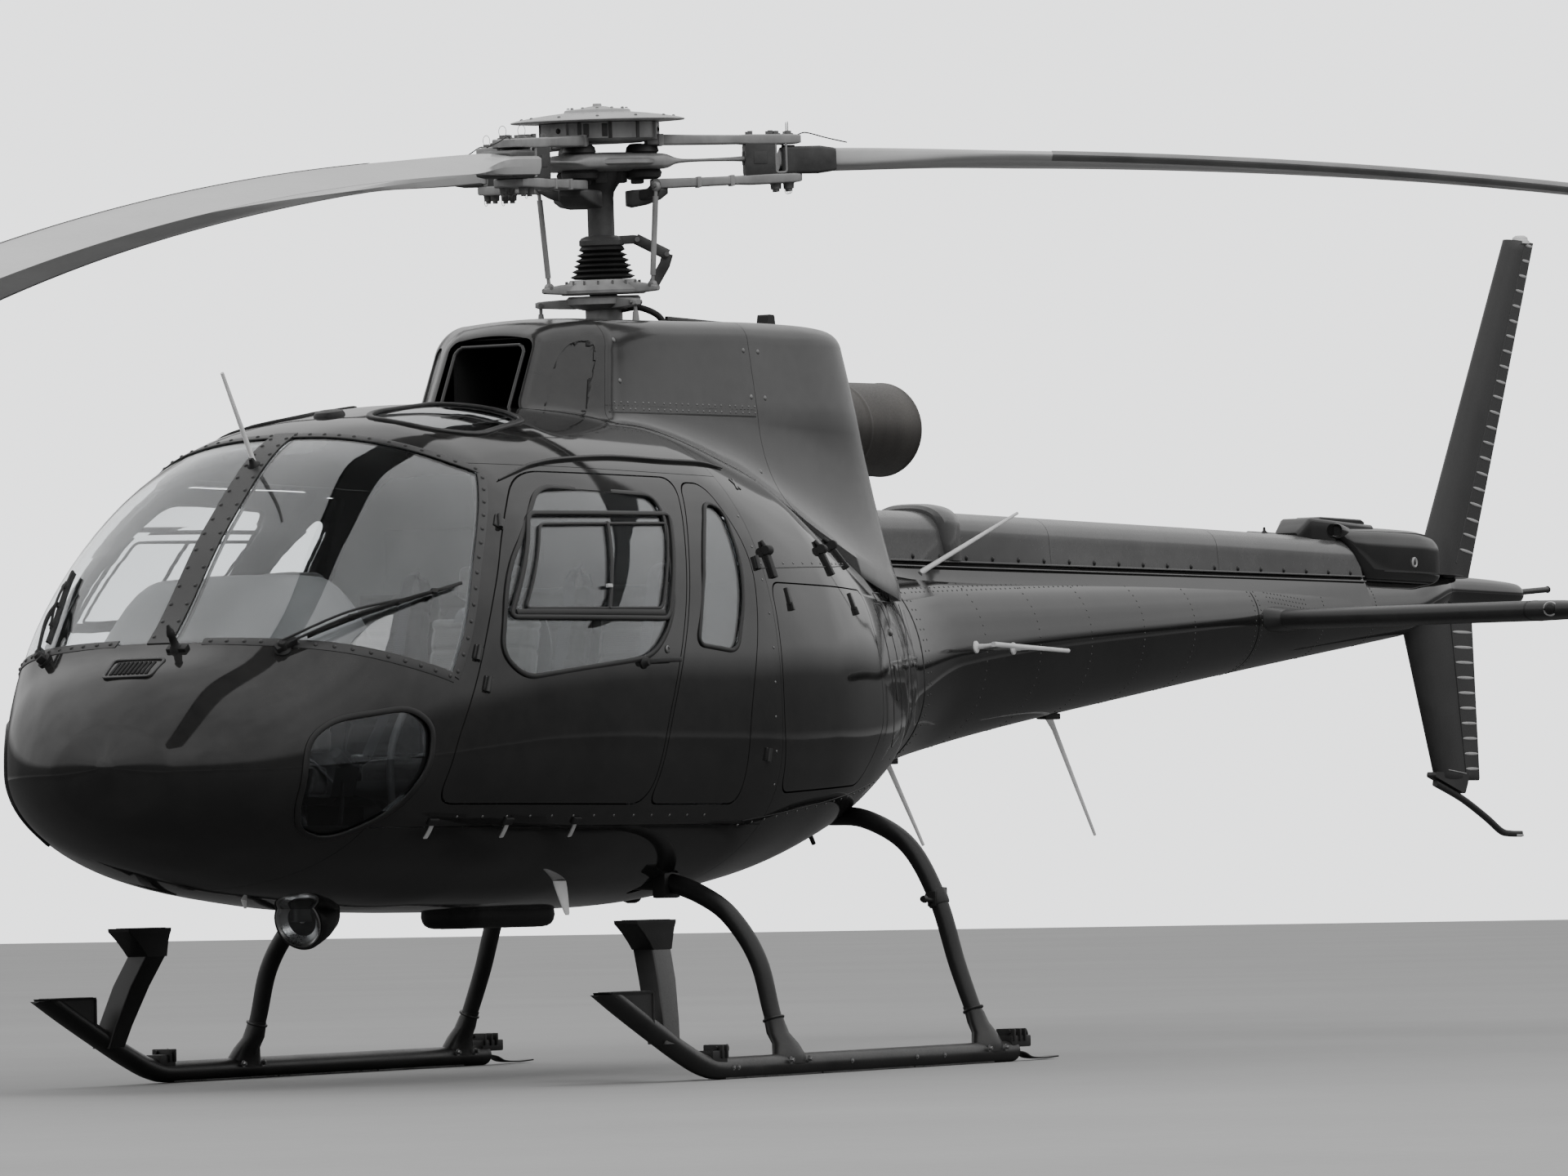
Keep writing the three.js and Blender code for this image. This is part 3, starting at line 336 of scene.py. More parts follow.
def plan_prism(outline, z0, z1):
    return prism(outline, lambda a, b, d: (a, b, d), z0, z1)


CURVE_STEPS = 24


def smooth_path(points, count):
    """Evenly spaced points on a smooth curve through the given ones."""
    p = [Vector(q) for q in points]
    dense = []
    for i in range(len(p) - 1):
        a, b = p[i], p[i + 1]
        before = p[i - 1] if i > 0 else a + (a - b)
        after = p[i + 2] if i + 2 < len(p) else b + (b - a)
        for k in range(CURVE_STEPS):
            t = k / CURVE_STEPS
            dense.append(
                0.5
                * (
                    2 * a
                    + (b - before) * t
                    + (2 * before - 5 * a + 4 * b - after) * t * t
                    + (3 * a - before - 3 * b + after) * t ** 3
                )
            )
    dense.append(p[-1])
    length = np.cumsum([0] + [(dense[i + 1] - dense[i]).length for i in range(len(dense) - 1)])
    where = np.linspace(0, length[-1], count)
    data = np.array([q[:] for q in dense])
    return [Vector([np.interp(w, length, data[:, k]) for k in range(len(data[0]))]) for w in where]


def section(kind, sides=16):
    """A cross-section as (across, up) points of about unit half size."""
    if kind == "round":
        return [(math.cos(a), math.sin(a)) for a in np.linspace(0, 2 * math.pi, sides, endpoint=False)]
    power = {"soft": 0.5, "square": 0.25}[kind]
    ring = []
    for a in np.linspace(0, 2 * math.pi, sides, endpoint=False):
        c, s = math.cos(a), math.sin(a)
        ring.append((math.copysign(abs(c) ** power, c), math.copysign(abs(s) ** power, s)))
    return ring


def sweep(path, width, height=None, normals=None, kind="round", sides=16, closed=False, taper=None):
    """A bar along a path. Half width and half height may be multiplied along it by taper(t)."""
    path = [Vector(p) for p in path]
    height = width if height is None else height
    count = len(path)
    shape = section(kind, sides)
    rings = []
    up = None
    for i, here in enumerate(path):
        ahead = path[(i + 1) % count] if (closed or i + 1 < count) else here
        behind = path[i - 1] if (closed or i > 0) else here
        along = (ahead - behind).normalized()
        if normals is not None:
            up = Vector(normals[i])
        elif up is None:
            up = Vector((0, 0, 1)) if abs(along.z) < 0.9 else Vector((0, 1, 0))
        up = (up - along * up.dot(along)).normalized()
        across = along.cross(up)
        k = taper(i / max(1, count - 1)) if taper else 1.0
        rings.append([here + across * (a * width * k) + up * (b * height * k) for a, b in shape])
    if not closed:
        return loft(rings)
    points = [p for ring in rings for p in ring]
    faces = []
    for r in range(count):
        for i in range(sides):
            a, b = r * sides + i, r * sides + (i + 1) % sides
            c, d = ((r + 1) % count) * sides + (i + 1) % sides, ((r + 1) % count) * sides + i
            faces.append((a, b, c, d))
    return faces_outward(mesh_of("loop", points, faces))


def rod(a, b, radius, sides=16, radius_end=None):
    a, b = Vector(a), Vector(b)
    end = radius if radius_end is None else radius_end
    return sweep([a, b], 1, sides=sides, taper=lambda t: radius + (end - radius) * t)


def turned(profile, place=Matrix.Identity(4), sides=40):
    """A turned piece from (radius, height) corners, about the place's own Z axis."""
    rings = []
    for r, z in profile:
        r = max(r, 1e-4)
        rings.append([place @ Vector((r * math.cos(a), r * math.sin(a), z))
                      for a in np.linspace(0, 2 * math.pi, sides, endpoint=False)])
    return loft(rings)


def facing(point, direction):
    """A place whose Z axis points along a direction."""
    turn = Vector(direction).normalized().to_track_quat("Z", "Y").to_matrix().to_4x4()
    return Matrix.Translation(Vector(point)) @ turn


def domes(spots, radius, height, rings=(1.0, 0.8, 0.35), sides=8):
    """Small low domes, such as rivet heads, at (point, normal) spots, as one mesh."""
    points, faces = [], []
    for point, normal in spots:
        place = facing(point, normal)
        start = len(points)
        levels = [(1.0, -0.3)] + [(k, math.sqrt(max(0.0, 1 - k * k))) for k in rings]
        for k, up in levels:
            for a in range(sides):
                angle = 2 * math.pi * a / sides
                points.append(place @ Vector((radius * k * math.cos(angle), radius * k * math.sin(angle),
                                              height * up)))
        for level in range(len(levels) - 1):
            for a in range(sides):
                i, j = start + level * sides + a, start + level * sides + (a + 1) % sides
                faces.append((i, j, j + sides, i + sides))
        faces.append(tuple(range(start + (len(levels) - 1) * sides, start + len(levels) * sides)))
        faces.append(tuple(range(start, start + sides))[::-1])
    return mesh_of("domes", points, faces)


HULL_TOLERANCE = 0.005


def hull_shading(mesh, insets):
    """Gives faces that lie on the fuselage's smooth skins that skin's own normals."""
    count = len(mesh.polygons)
    if not count:
        return mesh
    co = np.zeros(len(mesh.vertices) * 3)
    mesh.vertices.foreach_get("co", co)
    co = co.reshape(-1, 3)
    centre = np.zeros(count * 3)
    mesh.polygons.foreach_get("center", centre)
    centre = centre.reshape(-1, 3)
    flat = np.zeros(count * 3)
    mesh.polygons.foreach_get("normal", flat)
    flat = flat.reshape(-1, 3)
    start = np.zeros(count, int)
    total = np.zeros(count, int)
    mesh.polygons.foreach_get("loop_start", start)
    mesh.polygons.foreach_get("loop_total", total)
    corner = np.zeros(len(mesh.loops), int)
    mesh.loops.foreach_get("vertex_index", corner)
    owner = np.repeat(np.arange(count), total)
    normals = flat[owner].copy()
    for inset in insets:
        away, out = hull_field(centre, inset)
        facing_out = np.einsum("ij,ij->i", flat, out)
        on_skin = (np.abs(away) < HULL_TOLERANCE) & (np.abs(facing_out) > 0.75)
        loops = on_skin[owner]
        if not loops.any():
            continue
        smooth = hull_field(co[corner[loops]], inset)[1]
        normals[loops] = smooth * np.sign(facing_out[owner[loops]])[:, None]
    tip = (centre[:, 0] > NOSE_X - 0.0005)[owner]
    if tip.any():
        spot = co[corner[tip]]
        round_off = np.stack([np.ones(len(spot)), spot[:, 1] * NOSE_ROUND[0],
                              (spot[:, 2] - NOSE_TIP_Z) * NOSE_ROUND[1]], axis=1)
        normals[tip] = round_off / np.linalg.norm(round_off, axis=1, keepdims=True)
    mesh.polygons.foreach_set("use_smooth", np.ones(count, bool))
    mesh.normals_split_custom_set(normals)
    return mesh


def angle_shading(mesh, degrees=35):
    """Smooth shading with edges sharper than the angle left crisp."""
    bm = bmesh.new()
    bm.from_mesh(mesh)
    limit = math.radians(degrees)
    for edge in bm.edges:
        edge.smooth = len(edge.link_faces) == 2 and edge.calc_face_angle(0.0) < limit
    for face in bm.faces:
        face.smooth = True
    bm.to_mesh(mesh)
    bm.free()
    return mesh


def piece(name, mesh, material, body="airframe", replaces=(), place=None, hull=None, slot=None, angle=35):
    """Puts a finished mesh into the scene as a named piece that rides on a body."""
    mesh.name = name
    mesh.validate()
    if place is not None:
        mesh.transform(place)
    if hull is not None:
        hull_shading(mesh, hull)
        normals = np.zeros(len(mesh.loops) * 3)
        mesh.corner_normals.foreach_get("vector", normals)
        mesh.transform(Matrix.Translation(MAST_FOOT))
        mesh.normals_split_custom_set(normals.reshape(-1, 3))
    else:
        if angle:
            angle_shading(mesh, angle)
        mesh.transform(Matrix.Translation(MAST_FOOT))
    mesh.materials.clear()
    mesh.materials.append(material)
    made = bpy.data.objects.new(name, mesh)
    bpy.context.scene.collection.objects.link(made)
    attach(made, body)
    if replaces:
        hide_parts(*replaces)
    return made


# Finishes


def node_group(name, inputs, outputs):
    group = bpy.data.node_groups.new(name, "ShaderNodeTree")
    for kind, label, value in inputs:
        socket = group.interface.new_socket(name=label, in_out="INPUT", socket_type="NodeSocket" + kind)
        socket.default_value = value
    for kind, label in outputs:
        group.interface.new_socket(name=label, in_out="OUTPUT", socket_type="NodeSocket" + kind)
    return group, group.nodes.new("NodeGroupInput"), group.nodes.new("NodeGroupOutput")


def add_node(tree, kind, values=None, **settings):
    node = tree.nodes.new("ShaderNode" + kind)
    for key, value in settings.items():
        setattr(node, key, value)
    for key, value in (values or {}).items():
        node.inputs[key].default_value = value
    return node


def ranged(tree, source, low, high, from_low=0.0, from_high=1.0):
    node = add_node(tree, "MapRange", {"From Min": from_low, "From Max": from_high,
                                       "To Min": low, "To Max": high})
    tree.links.new(source, node.inputs["Value"])
    return node.outputs["Result"]


def build_weathering():
    """Slow changes of tone, fine speckle and a fine bump, all in the object's own space."""
    tree, inside, out = node_group(
        "weathering",
        [("Float", "Scale", 2.0), ("Float", "Fine Scale", 90.0), ("Float", "Streak", 1.0),
         ("Float", "Bump", 0.1), ("Float", "Depth", 0.001)],
        [("Float", "Shade"), ("Float", "Speck"), ("Vector", "Normal")],
    )
    link = tree.links.new
    space = add_node(tree, "TexCoord")
    stretch = add_node(tree, "CombineXYZ", {"X": 1.0, "Y": 1.0})
    link(inside.outputs["Streak"], stretch.inputs["Z"])
    drawn = add_node(tree, "VectorMath", operation="MULTIPLY")
    link(space.outputs["Object"], drawn.inputs[0])
    link(stretch.outputs["Vector"], drawn.inputs[1])
    slow = add_node(tree, "TexNoise", {"Detail": 4.0, "Roughness": 0.6})
    fine = add_node(tree, "TexNoise", {"Detail": 2.0, "Roughness": 0.5})
    link(drawn.outputs["Vector"], slow.inputs["Vector"])
    link(space.outputs["Object"], fine.inputs["Vector"])
    link(inside.outputs["Scale"], slow.inputs["Scale"])
    link(inside.outputs["Fine Scale"], fine.inputs["Scale"])
    bump = add_node(tree, "Bump")
    link(inside.outputs["Bump"], bump.inputs["Strength"])
    link(inside.outputs["Depth"], bump.inputs["Distance"])
    link(fine.outputs["Fac"], bump.inputs["Height"])
    link(ranged(tree, slow.outputs["Fac"], 0, 1, 0.3, 0.7), out.inputs["Shade"])
    link(ranged(tree, fine.outputs["Fac"], 0, 1, 0.35, 0.7), out.inputs["Speck"])
    link(bump.outputs["Normal"], out.inputs["Normal"])
    return tree


def build_dust():
    """Dust that lies on faces that look up and gathers near the ground."""
    tree, inside, out = node_group(
        "ground_dust",
        [("Float", "Top", 0.6), ("Float", "Amount", 0.5)],
        [("Float", "Mask")],
    )
    link = tree.links.new
    space = add_node(tree, "TexCoord")
    place = add_node(tree, "SeparateXYZ")
    link(space.outputs["Object"], place.inputs["Vector"])
    look = add_node(tree, "SeparateXYZ")
    link(add_node(tree, "NewGeometry").outputs["Normal"], look.inputs["Vector"])
    low = add_node(tree, "MapRange", {"From Min": 0.0, "To Min": 1.0, "To Max": 0.0})
    link(place.outputs["Z"], low.inputs["Value"])
    link(inside.outputs["Top"], low.inputs["From Max"])
    up = ranged(tree, look.outputs["Z"], 0.25, 1.0, -0.2, 0.9)
    patch = add_node(tree, "TexNoise", {"Scale": 9.0, "Detail": 6.0, "Roughness": 0.7})
    link(space.outputs["Object"], patch.inputs["Vector"])
    first = add_node(tree, "Math", operation="MULTIPLY")
    link(low.outputs["Result"], first.inputs[0])
    link(up, first.inputs[1])
    second = add_node(tree, "Math", operation="MULTIPLY")
    link(first.outputs[0], second.inputs[0])
    link(ranged(tree, patch.outputs["Fac"], 0, 1, 0.35, 0.65), second.inputs[1])
    third = add_node(tree, "Math", operation="MULTIPLY")
    link(second.outputs[0], third.inputs[0])
    link(inside.outputs["Amount"], third.inputs[1])
    link(third.outputs[0], out.inputs["Mask"])
    return tree


def build_weave():
    """Crossing threads of a woven cloth, with tone and bump."""
    tree, inside, out = node_group(
        "cloth_weave", [("Float", "Scale", 320.0)], [("Float", "Thread"), ("Vector", "Normal")]
    )
    link = tree.links.new
    space = add_node(tree, "TexCoord")
    waves = []
    for direction in ("X", "Z"):
        wave = add_node(tree, "TexWave", {"Distortion": 0.6, "Detail": 1.0}, bands_direction=direction)
        link(space.outputs["Object"], wave.inputs["Vector"])
        link(inside.outputs["Scale"], wave.inputs["Scale"])
        waves.append(wave.outputs["Fac"])
    both = add_node(tree, "Math", operation="MULTIPLY")
    link(waves[0], both.inputs[0])
    link(waves[1], both.inputs[1])
    bump = add_node(tree, "Bump", {"Strength": 0.35, "Distance": 0.002})
    link(both.outputs[0], bump.inputs["Height"])
    link(both.outputs[0], out.inputs["Thread"])
    link(bump.outputs["Normal"], out.inputs["Normal"])
    return tree


WEATHERING = build_weathering()
DUST = build_dust()
WEAVE = build_weave()


def blank_material(name):
    material = bpy.data.materials.new(name)
    material.use_nodes = True
    return material, material.node_tree, material.node_tree.nodes["Principled BSDF"]


def grouped(tree, group, **values):
    node = tree.nodes.new("ShaderNodeGroup")
    node.node_tree = group
    for key, value in values.items():
        node.inputs[key.replace("_", " ")].default_value = value
    return node


def tones(tree, mask, dark, light):
    mix = add_node(tree, "Mix", data_type="RGBA")
    mix.inputs["A"].default_value = (*dark, 1)
    mix.inputs["B"].default_value = (*light, 1)
    tree.links.new(mask, mix.inputs["Factor"])
    return mix


def grey(value, warmth=0.0):
    return (value * (1 + warmth), value, value * (1 - warmth))


def surface(name, dark, light, rough, metallic=0.0, scale=2.0, fine=90.0, streak=1.0, bump=0.1, depth=0.001,
            coat=0.0, coat_rough=0.03, dust=0.0, dust_top=0.6, dust_tone=0.25, warmth=0.0):
    """A finish whose tone and roughness change slowly, with a fine bump and perhaps dust."""
    material, tree, shader = blank_material(name)
    link = tree.links.new
    age = grouped(tree, WEATHERING, Scale=scale, Fine_Scale=fine, Streak=streak, Bump=bump, Depth=depth)
    colour = tones(tree, age.outputs["Shade"], grey(dark, warmth), grey(light, warmth)).outputs["Result"]
    mix_rough = add_node(tree, "Math", {1: 0.5}, operation="MULTIPLY")
    both = add_node(tree, "Math", operation="ADD")
    link(age.outputs["Shade"], both.inputs[0])
    link(age.outputs["Speck"], both.inputs[1])
    link(both.outputs[0], mix_rough.inputs[0])
    roughness = ranged(tree, mix_rough.outputs[0], rough[0], rough[1])
    if dust:
        film = grouped(tree, DUST, Top=dust_top, Amount=dust)
        dusty = add_node(tree, "Mix", data_type="RGBA")
        link(film.outputs["Mask"], dusty.inputs["Factor"])
        link(colour, dusty.inputs["A"])
        dusty.inputs["B"].default_value = (*grey(dust_tone, 0.06), 1)
        colour = dusty.outputs["Result"]
        rougher = add_node(tree, "Mix", data_type="FLOAT")
        link(film.outputs["Mask"], rougher.inputs["Factor"])
        link(roughness, rougher.inputs["A"])
        rougher.inputs["B"].default_value = 0.9
        roughness = rougher.outputs["Result"]
    link(colour, shader.inputs["Base Color"])
    link(roughness, shader.inputs["Roughness"])
    link(age.outputs["Normal"], shader.inputs["Normal"])
    shader.inputs["Metallic"].default_value = metallic
    shader.inputs["Coat Weight"].default_value = coat
    shader.inputs["Coat Roughness"].default_value = coat_rough
    return material


GLASS_ROUGH = (0.0, 0.02)
GLASS_IOR = 1.45


def glass_finish(name, tint):
    """Clear pane that lets light reach what is behind it."""
    material, tree, shader = blank_material(name)
    link = tree.links.new
    age = grouped(tree, WEATHERING, Scale=1.5, Fine_Scale=40.0, Bump=0.01, Depth=0.0005)
    colour = tones(tree, age.outputs["Shade"], tuple(c * 0.985 for c in tint), tint)
    link(colour.outputs["Result"], shader.inputs["Base Color"])
    link(ranged(tree, age.outputs["Speck"], *GLASS_ROUGH), shader.inputs["Roughness"])
    shader.inputs["Transmission Weight"].default_value = 1.0
    shader.inputs["IOR"].default_value = GLASS_IOR
    clear = add_node(tree, "BsdfTransparent")
    clear.inputs["Color"].default_value = (*tint, 1)
    shadow = add_node(tree, "LightPath")
    choose = add_node(tree, "MixShader")
    link(shadow.outputs["Is Shadow Ray"], choose.inputs[0])
    link(shader.outputs["BSDF"], choose.inputs[1])
    link(clear.outputs["BSDF"], choose.inputs[2])
    link(choose.outputs["Shader"], tree.nodes["Material Output"].inputs["Surface"])
    return material


def cloth_finish(name, dark, light):
    material, tree, shader = blank_material(name)
    link = tree.links.new
    weave = grouped(tree, WEAVE, Scale=260.0)
    age = grouped(tree, WEATHERING, Scale=6.0, Fine_Scale=200.0)
    mask = add_node(tree, "Math", {1: 0.6}, operation="MULTIPLY")
    total = add_node(tree, "Math", operation="ADD")
    link(weave.outputs["Thread"], mask.inputs[0])
    link(mask.outputs[0], total.inputs[0])
    soft = add_node(tree, "Math", {1: 0.4}, operation="MULTIPLY")
    link(age.outputs["Shade"], soft.inputs[0])
    link(soft.outputs[0], total.inputs[1])
    link(tones(tree, total.outputs[0], dark, light).outputs["Result"], shader.inputs["Base Color"])
    link(weave.outputs["Normal"], shader.inputs["Normal"])
    shader.inputs["Roughness"].default_value = 0.92
    shader.inputs["Sheen Weight"].default_value = 0.25
    return material


GLOSS = surface("gloss_black_paint", 0.008, 0.012, (0.04, 0.08), scale=1.3, fine=14.0, bump=0.02, depth=0.001,
                dust=0.04, dust_top=5.0, dust_tone=0.3)
COWL_PAINT = surface("cowl_black_paint", 0.012, 0.020, (0.14, 0.24), scale=1.6, fine=22.0,
                     bump=0.04, depth=0.001,
                     coat=0.2, coat_rough=0.1, dust=0.05, dust_top=6.0, dust_tone=0.3)
SATIN = surface("satin_black_paint", 0.007, 0.013, (0.28, 0.48), scale=5.0, fine=160.0,
                bump=0.08, dust=0.08, dust_top=0.4)
# The shaft cover is black paint; its lighter grey base colour is a painted sheen
COVER_PAINT_AND_SHEEN = surface("cover_black_paint_and_painted_sheen", 0.075, 0.11, (0.2, 0.32), scale=1.8, fine=30.0,
                      bump=0.04, depth=0.001,
                      coat=0.3, coat_rough=0.12)
SATIN_HIGH = surface("satin_black_upper", 0.014, 0.024, (0.30, 0.45), scale=4.0, fine=120.0, bump=0.06)
TRIM_STRIP = surface("frame_strip_paint", 0.022, 0.034, (0.35, 0.5), scale=6.0, fine=200.0, bump=0.05)
SEAL = surface("seal_rubber", 0.006, 0.011, (0.35, 0.5), scale=12.0, fine=300.0, bump=0.12)
RUBBER = surface("moulded_rubber", 0.008, 0.016, (0.5, 0.7), scale=14.0, fine=260.0, bump=0.2)
HUB_GREY = surface("hub_grey_metal", 0.20, 0.34, (0.34, 0.55), metallic=0.35, scale=9.0,
                   fine=220.0, streak=0.5, bump=0.12)
HUB_DARK = surface("hub_dark_metal", 0.045, 0.085, (0.36, 0.58), metallic=0.4, scale=11.0,
                   fine=240.0, bump=0.12)
STEEL = surface("bare_steel", 0.35, 0.5, (0.22, 0.4), metallic=1.0, scale=8.0, fine=300.0, bump=0.06)
BOLT = surface("fastener_steel", 0.16, 0.28, (0.3, 0.45), metallic=0.8, scale=30.0, fine=300.0, bump=0.05)
RIVET = surface("painted_rivet", 0.03, 0.055, (0.25, 0.4), scale=30.0, fine=300.0, bump=0.05)
EXHAUST = surface("heated_steel", 0.05, 0.11, (0.38, 0.6), metallic=0.75, scale=4.0,
                  fine=150.0, streak=0.4, bump=0.1, warmth=0.06)
HAT_PAINT = surface("hat_grey_coat", 0.28, 0.38, (0.25, 0.4), scale=7.0, fine=120.0,
                    bump=0.05, coat=0.2, coat_rough=0.2)
SOOT = surface("sooted_steel", 0.012, 0.03, (0.7, 0.9), metallic=0.2, scale=6.0, fine=120.0, bump=0.15)
BLADE = surface("blade_coat", 0.32, 0.42, (0.3, 0.42), scale=2.5, fine=60.0, bump=0.03,
                coat=0.8, coat_rough=0.12)
BLADE_EDGE = surface("blade_edge_strip", 0.2, 0.3, (0.3, 0.42), metallic=0.7, scale=5.0,
                     fine=120.0, bump=0.05)
WHITE = surface("aerial_white", 0.55, 0.7, (0.35, 0.5), scale=8.0, fine=160.0, bump=0.05)
PALE = surface("pale_fitting", 0.28, 0.4, (0.4, 0.55), scale=8.0, fine=200.0, bump=0.06)
CABIN_TRIM = surface("cabin_trim", 0.045, 0.07, (0.5, 0.7), scale=5.0, fine=420.0, bump=0.25)
CABIN_LIGHT = surface("cabin_lining", 0.12, 0.17, (0.6, 0.8), scale=4.0, fine=420.0, bump=0.2)
PANEL_FACE = surface("instrument_face", 0.012, 0.02, (0.3, 0.4), scale=8.0, fine=300.0, bump=0.05)
CARPET = surface("floor_carpet", 0.03, 0.06, (0.9, 1.0), scale=20.0, fine=700.0, bump=0.5, depth=0.002)
DARK_GAP = surface("deep_shadow_grey", 0.010, 0.018, (0.8, 0.95), scale=4.0, fine=100.0, bump=0.1)
ALLOY = surface("cast_alloy", 0.12, 0.2, (0.5, 0.7), metallic=0.5, scale=12.0, fine=260.0, bump=0.2)
GLASS_CLEAR = glass_finish("cabin_glass", (0.88, 0.90, 0.91))
GLASS_DOOR = glass_finish("door_glass", (0.66, 0.68, 0.69))
GLASS_CHIN = glass_finish("chin_glass", (0.30, 0.31, 0.32))
GLASS_ROOF = glass_finish("roof_glass", (0.35, 0.37, 0.38))
LAMP_GLASS = glass_finish("lamp_glass", (0.95, 0.96, 0.97))
SEAT_CLOTH = cloth_finish("seat_cloth", (0.045, 0.044, 0.042), (0.095, 0.092, 0.088))
BELT = cloth_finish("belt_webbing", (0.05, 0.05, 0.055), (0.12, 0.12, 0.125))

# Fuselage

FRONT_DOOR = [
    (0.790, 1.985), (1.760, 1.978), (1.985, 1.800), (2.190, 1.490), (2.310, 1.240), (2.390, 1.080),
    (2.440, 0.900), (1.330, 0.895), (1.270, 1.120), (1.100, 1.480), (0.960, 1.760),
]
FRONT_DOOR_GLASS = [
    (1.000, 1.915), (1.700, 1.925), (2.060, 1.640), (2.160, 1.375), (2.060, 1.300),
    (1.330, 1.375), (1.175, 1.500),
]
REAR_DOOR = [
    (0.620, 1.970), (0.775, 1.970), (0.945, 1.760), (1.085, 1.480), (1.255, 1.120), (1.315, 0.895),
    (0.720, 0.895), (0.705, 1.180), (0.600, 1.500), (0.540, 1.720),
]
REAR_DOOR_GLASS = [(0.600, 1.880), (0.690, 1.905), (0.850, 1.750), (1.030, 1.420), (0.770, 1.400),
                   (0.640, 1.640)]
WINDSCREEN = [
    (2.080, 2.200), (2.075, 2.062), (1.905, 1.965), (1.985, 1.880), (2.170, 1.650),
    (2.300, 1.420), (2.372, 1.300),
    (2.540, 1.345), (2.790, 1.415), (3.000, 1.440), (3.000, 2.200),
]
CHIN_WINDOW = [
    (2.885, 1.000), (2.870, 1.110), (2.790, 1.170), (2.560, 1.205), (2.475, 1.150),
    (2.485, 1.030), (2.570, 0.880), (2.700, 0.790), (2.820, 0.830), (2.875, 0.900),
]
BAGGAGE_DOOR = [(0.455, 1.640), (0.470, 1.180), (0.440, 0.930), (-0.330, 0.960), (-0.560, 1.180),
                (-0.570, 1.640)]
ROOF_WINDOW = [
    (1.880, 0.190), (1.760, 0.130), (1.380, 0.150), (1.290, 0.300), (1.310, 0.450),
    (1.700, 0.500), (1.860, 0.400),
]
FRONT_ROUND = 0.09
REAR_ROUND = 0.06
REAR_GLASS_ROUND = 0.05
SCREEN_ROUND = 0.03
CHIN_ROUND = 0.06
ROOF_ROUND = 0.08
BAGGAGE_ROUND = 0.06
ROOF_FRONT_X = 2.105
BELLY_FRONT_X = 2.620
POST_HALF = 0.045
SIDE_REACH = 1.1
CHIN_INNER = 0.2
ROOF_PANE_Z = (1.9, 2.4)
SEAM = 0.0016
ROOF_LINE_Z = 1.998
BELLY_LINE_Z = 0.830
LEAF = 0.016


EASE_STEPS = 10
SLIGHT_BEND = math.radians(38)


def eased(points, radius):
    """An outline with crisp corners rounded to the radius and slight bends eased over their sides."""
    result = []
    for i, here in enumerate(points):
        here = Vector(here)
        before, after = Vector(points[i - 1]), Vector(points[(i + 1) % len(points)])
        bend = (here - before).angle(after - here)
        most = 0.48 * min((here - before).length, (here - after).length)
        reach = most if bend < SLIGHT_BEND else min(radius, most)
        enter = here.lerp(before, reach / (here - before).length)
        leave = here.lerp(after, reach / (here - after).length)
        for k in range(EASE_STEPS + 1):
            t = k / EASE_STEPS
            result.append(enter * (1 - t) ** 2 + here * 2 * t * (1 - t) + leave * t * t)
    return result


def side_cut(points, radius, inset=0.0, inner=0.25):
    return side_prism(eased(grown(points, -inset), radius), inner, SIDE_REACH)


def cut_both(mesh, cutter):
    return boolean(boolean(mesh, cutter), mirrored(cutter))


def hull_solid(inset, stations):
    rings = list(hull_loft(inset, stations))
    if inset < 0.0001 and max(stations) >= NOSE_X:
        edge = rings[-1]
        middle = edge.mean(axis=0)
        for k in (0.75, 0.45, 0.15):
            rings.append(middle + (edge - middle) * k + np.array((NOSE_BULGE * (1 - k * k), 0, 0)))
    return loft(rings)


def spread(start, stop, count):
    return [start + (stop - start) * i / count for i in range(count + 1)]


CABIN_STATIONS = [0.44 + (NOSE_X - 0.44) * math.sin(t * math.pi / 2) for t in spread(1, 0, 72)]
BAY_STATIONS = spread(0.52, -1.62, 60)

cabin_outer = hull_solid(0.0, CABIN_STATIONS)
cabin_wall = boolean(cabin_outer, hull_solid(SKIN, CABIN_STATIONS))
cabin_wall = boolean(cabin_wall, block(BULKHEAD_X, 3.3, -1, 1, 0.3, 2.5), "INTERSECT")
leaf_wall = boolean(cabin_outer, hull_solid(LEAF, CABIN_STATIONS))
pane_wall = boolean(hull_solid(GLASS_SET, CABIN_STATIONS), hull_solid(GLASS_SET + GLASS, CABIN_STATIONS))

front_door_cut = side_cut(FRONT_DOOR, FRONT_ROUND)
rear_door_cut = side_cut(REAR_DOOR, REAR_ROUND)
screen_cut = side_cut(WINDSCREEN, SCREEN_ROUND, inner=POST_HALF)
chin_cut = side_cut(CHIN_WINDOW, CHIN_ROUND, inner=CHIN_INNER)
roof_window_cut = plan_prism(eased(ROOF_WINDOW, ROOF_ROUND), *ROOF_PANE_Z)

shell = cabin_wall
for cutter in (front_door_cut, rear_door_cut, screen_cut, chin_cut):
    shell = cut_both(shell, cutter)
roof_zone = block(BULKHEAD_X - 0.05, ROOF_FRONT_X, -0.95, 0.95, ROOF_LINE_Z, 2.4)
belly_zone = block(BULKHEAD_X - 0.05, BELLY_FRONT_X, -0.95, 0.95, 0.4, BELLY_LINE_Z)
roof_gap = block(BULKHEAD_X - 0.06, ROOF_FRONT_X + SEAM, -0.96, 0.96, ROOF_LINE_Z - SEAM, 2.41)
belly_gap = block(BULKHEAD_X - 0.06, BELLY_FRONT_X + SEAM, -0.96, 0.96, 0.39, BELLY_LINE_Z + SEAM)
canopy = boolean(boolean(shell, roof_gap), belly_gap)
roof = cut_both(boolean(shell, roof_zone, "INTERSECT"), roof_window_cut)
belly = boolean(shell, belly_zone, "INTERSECT")

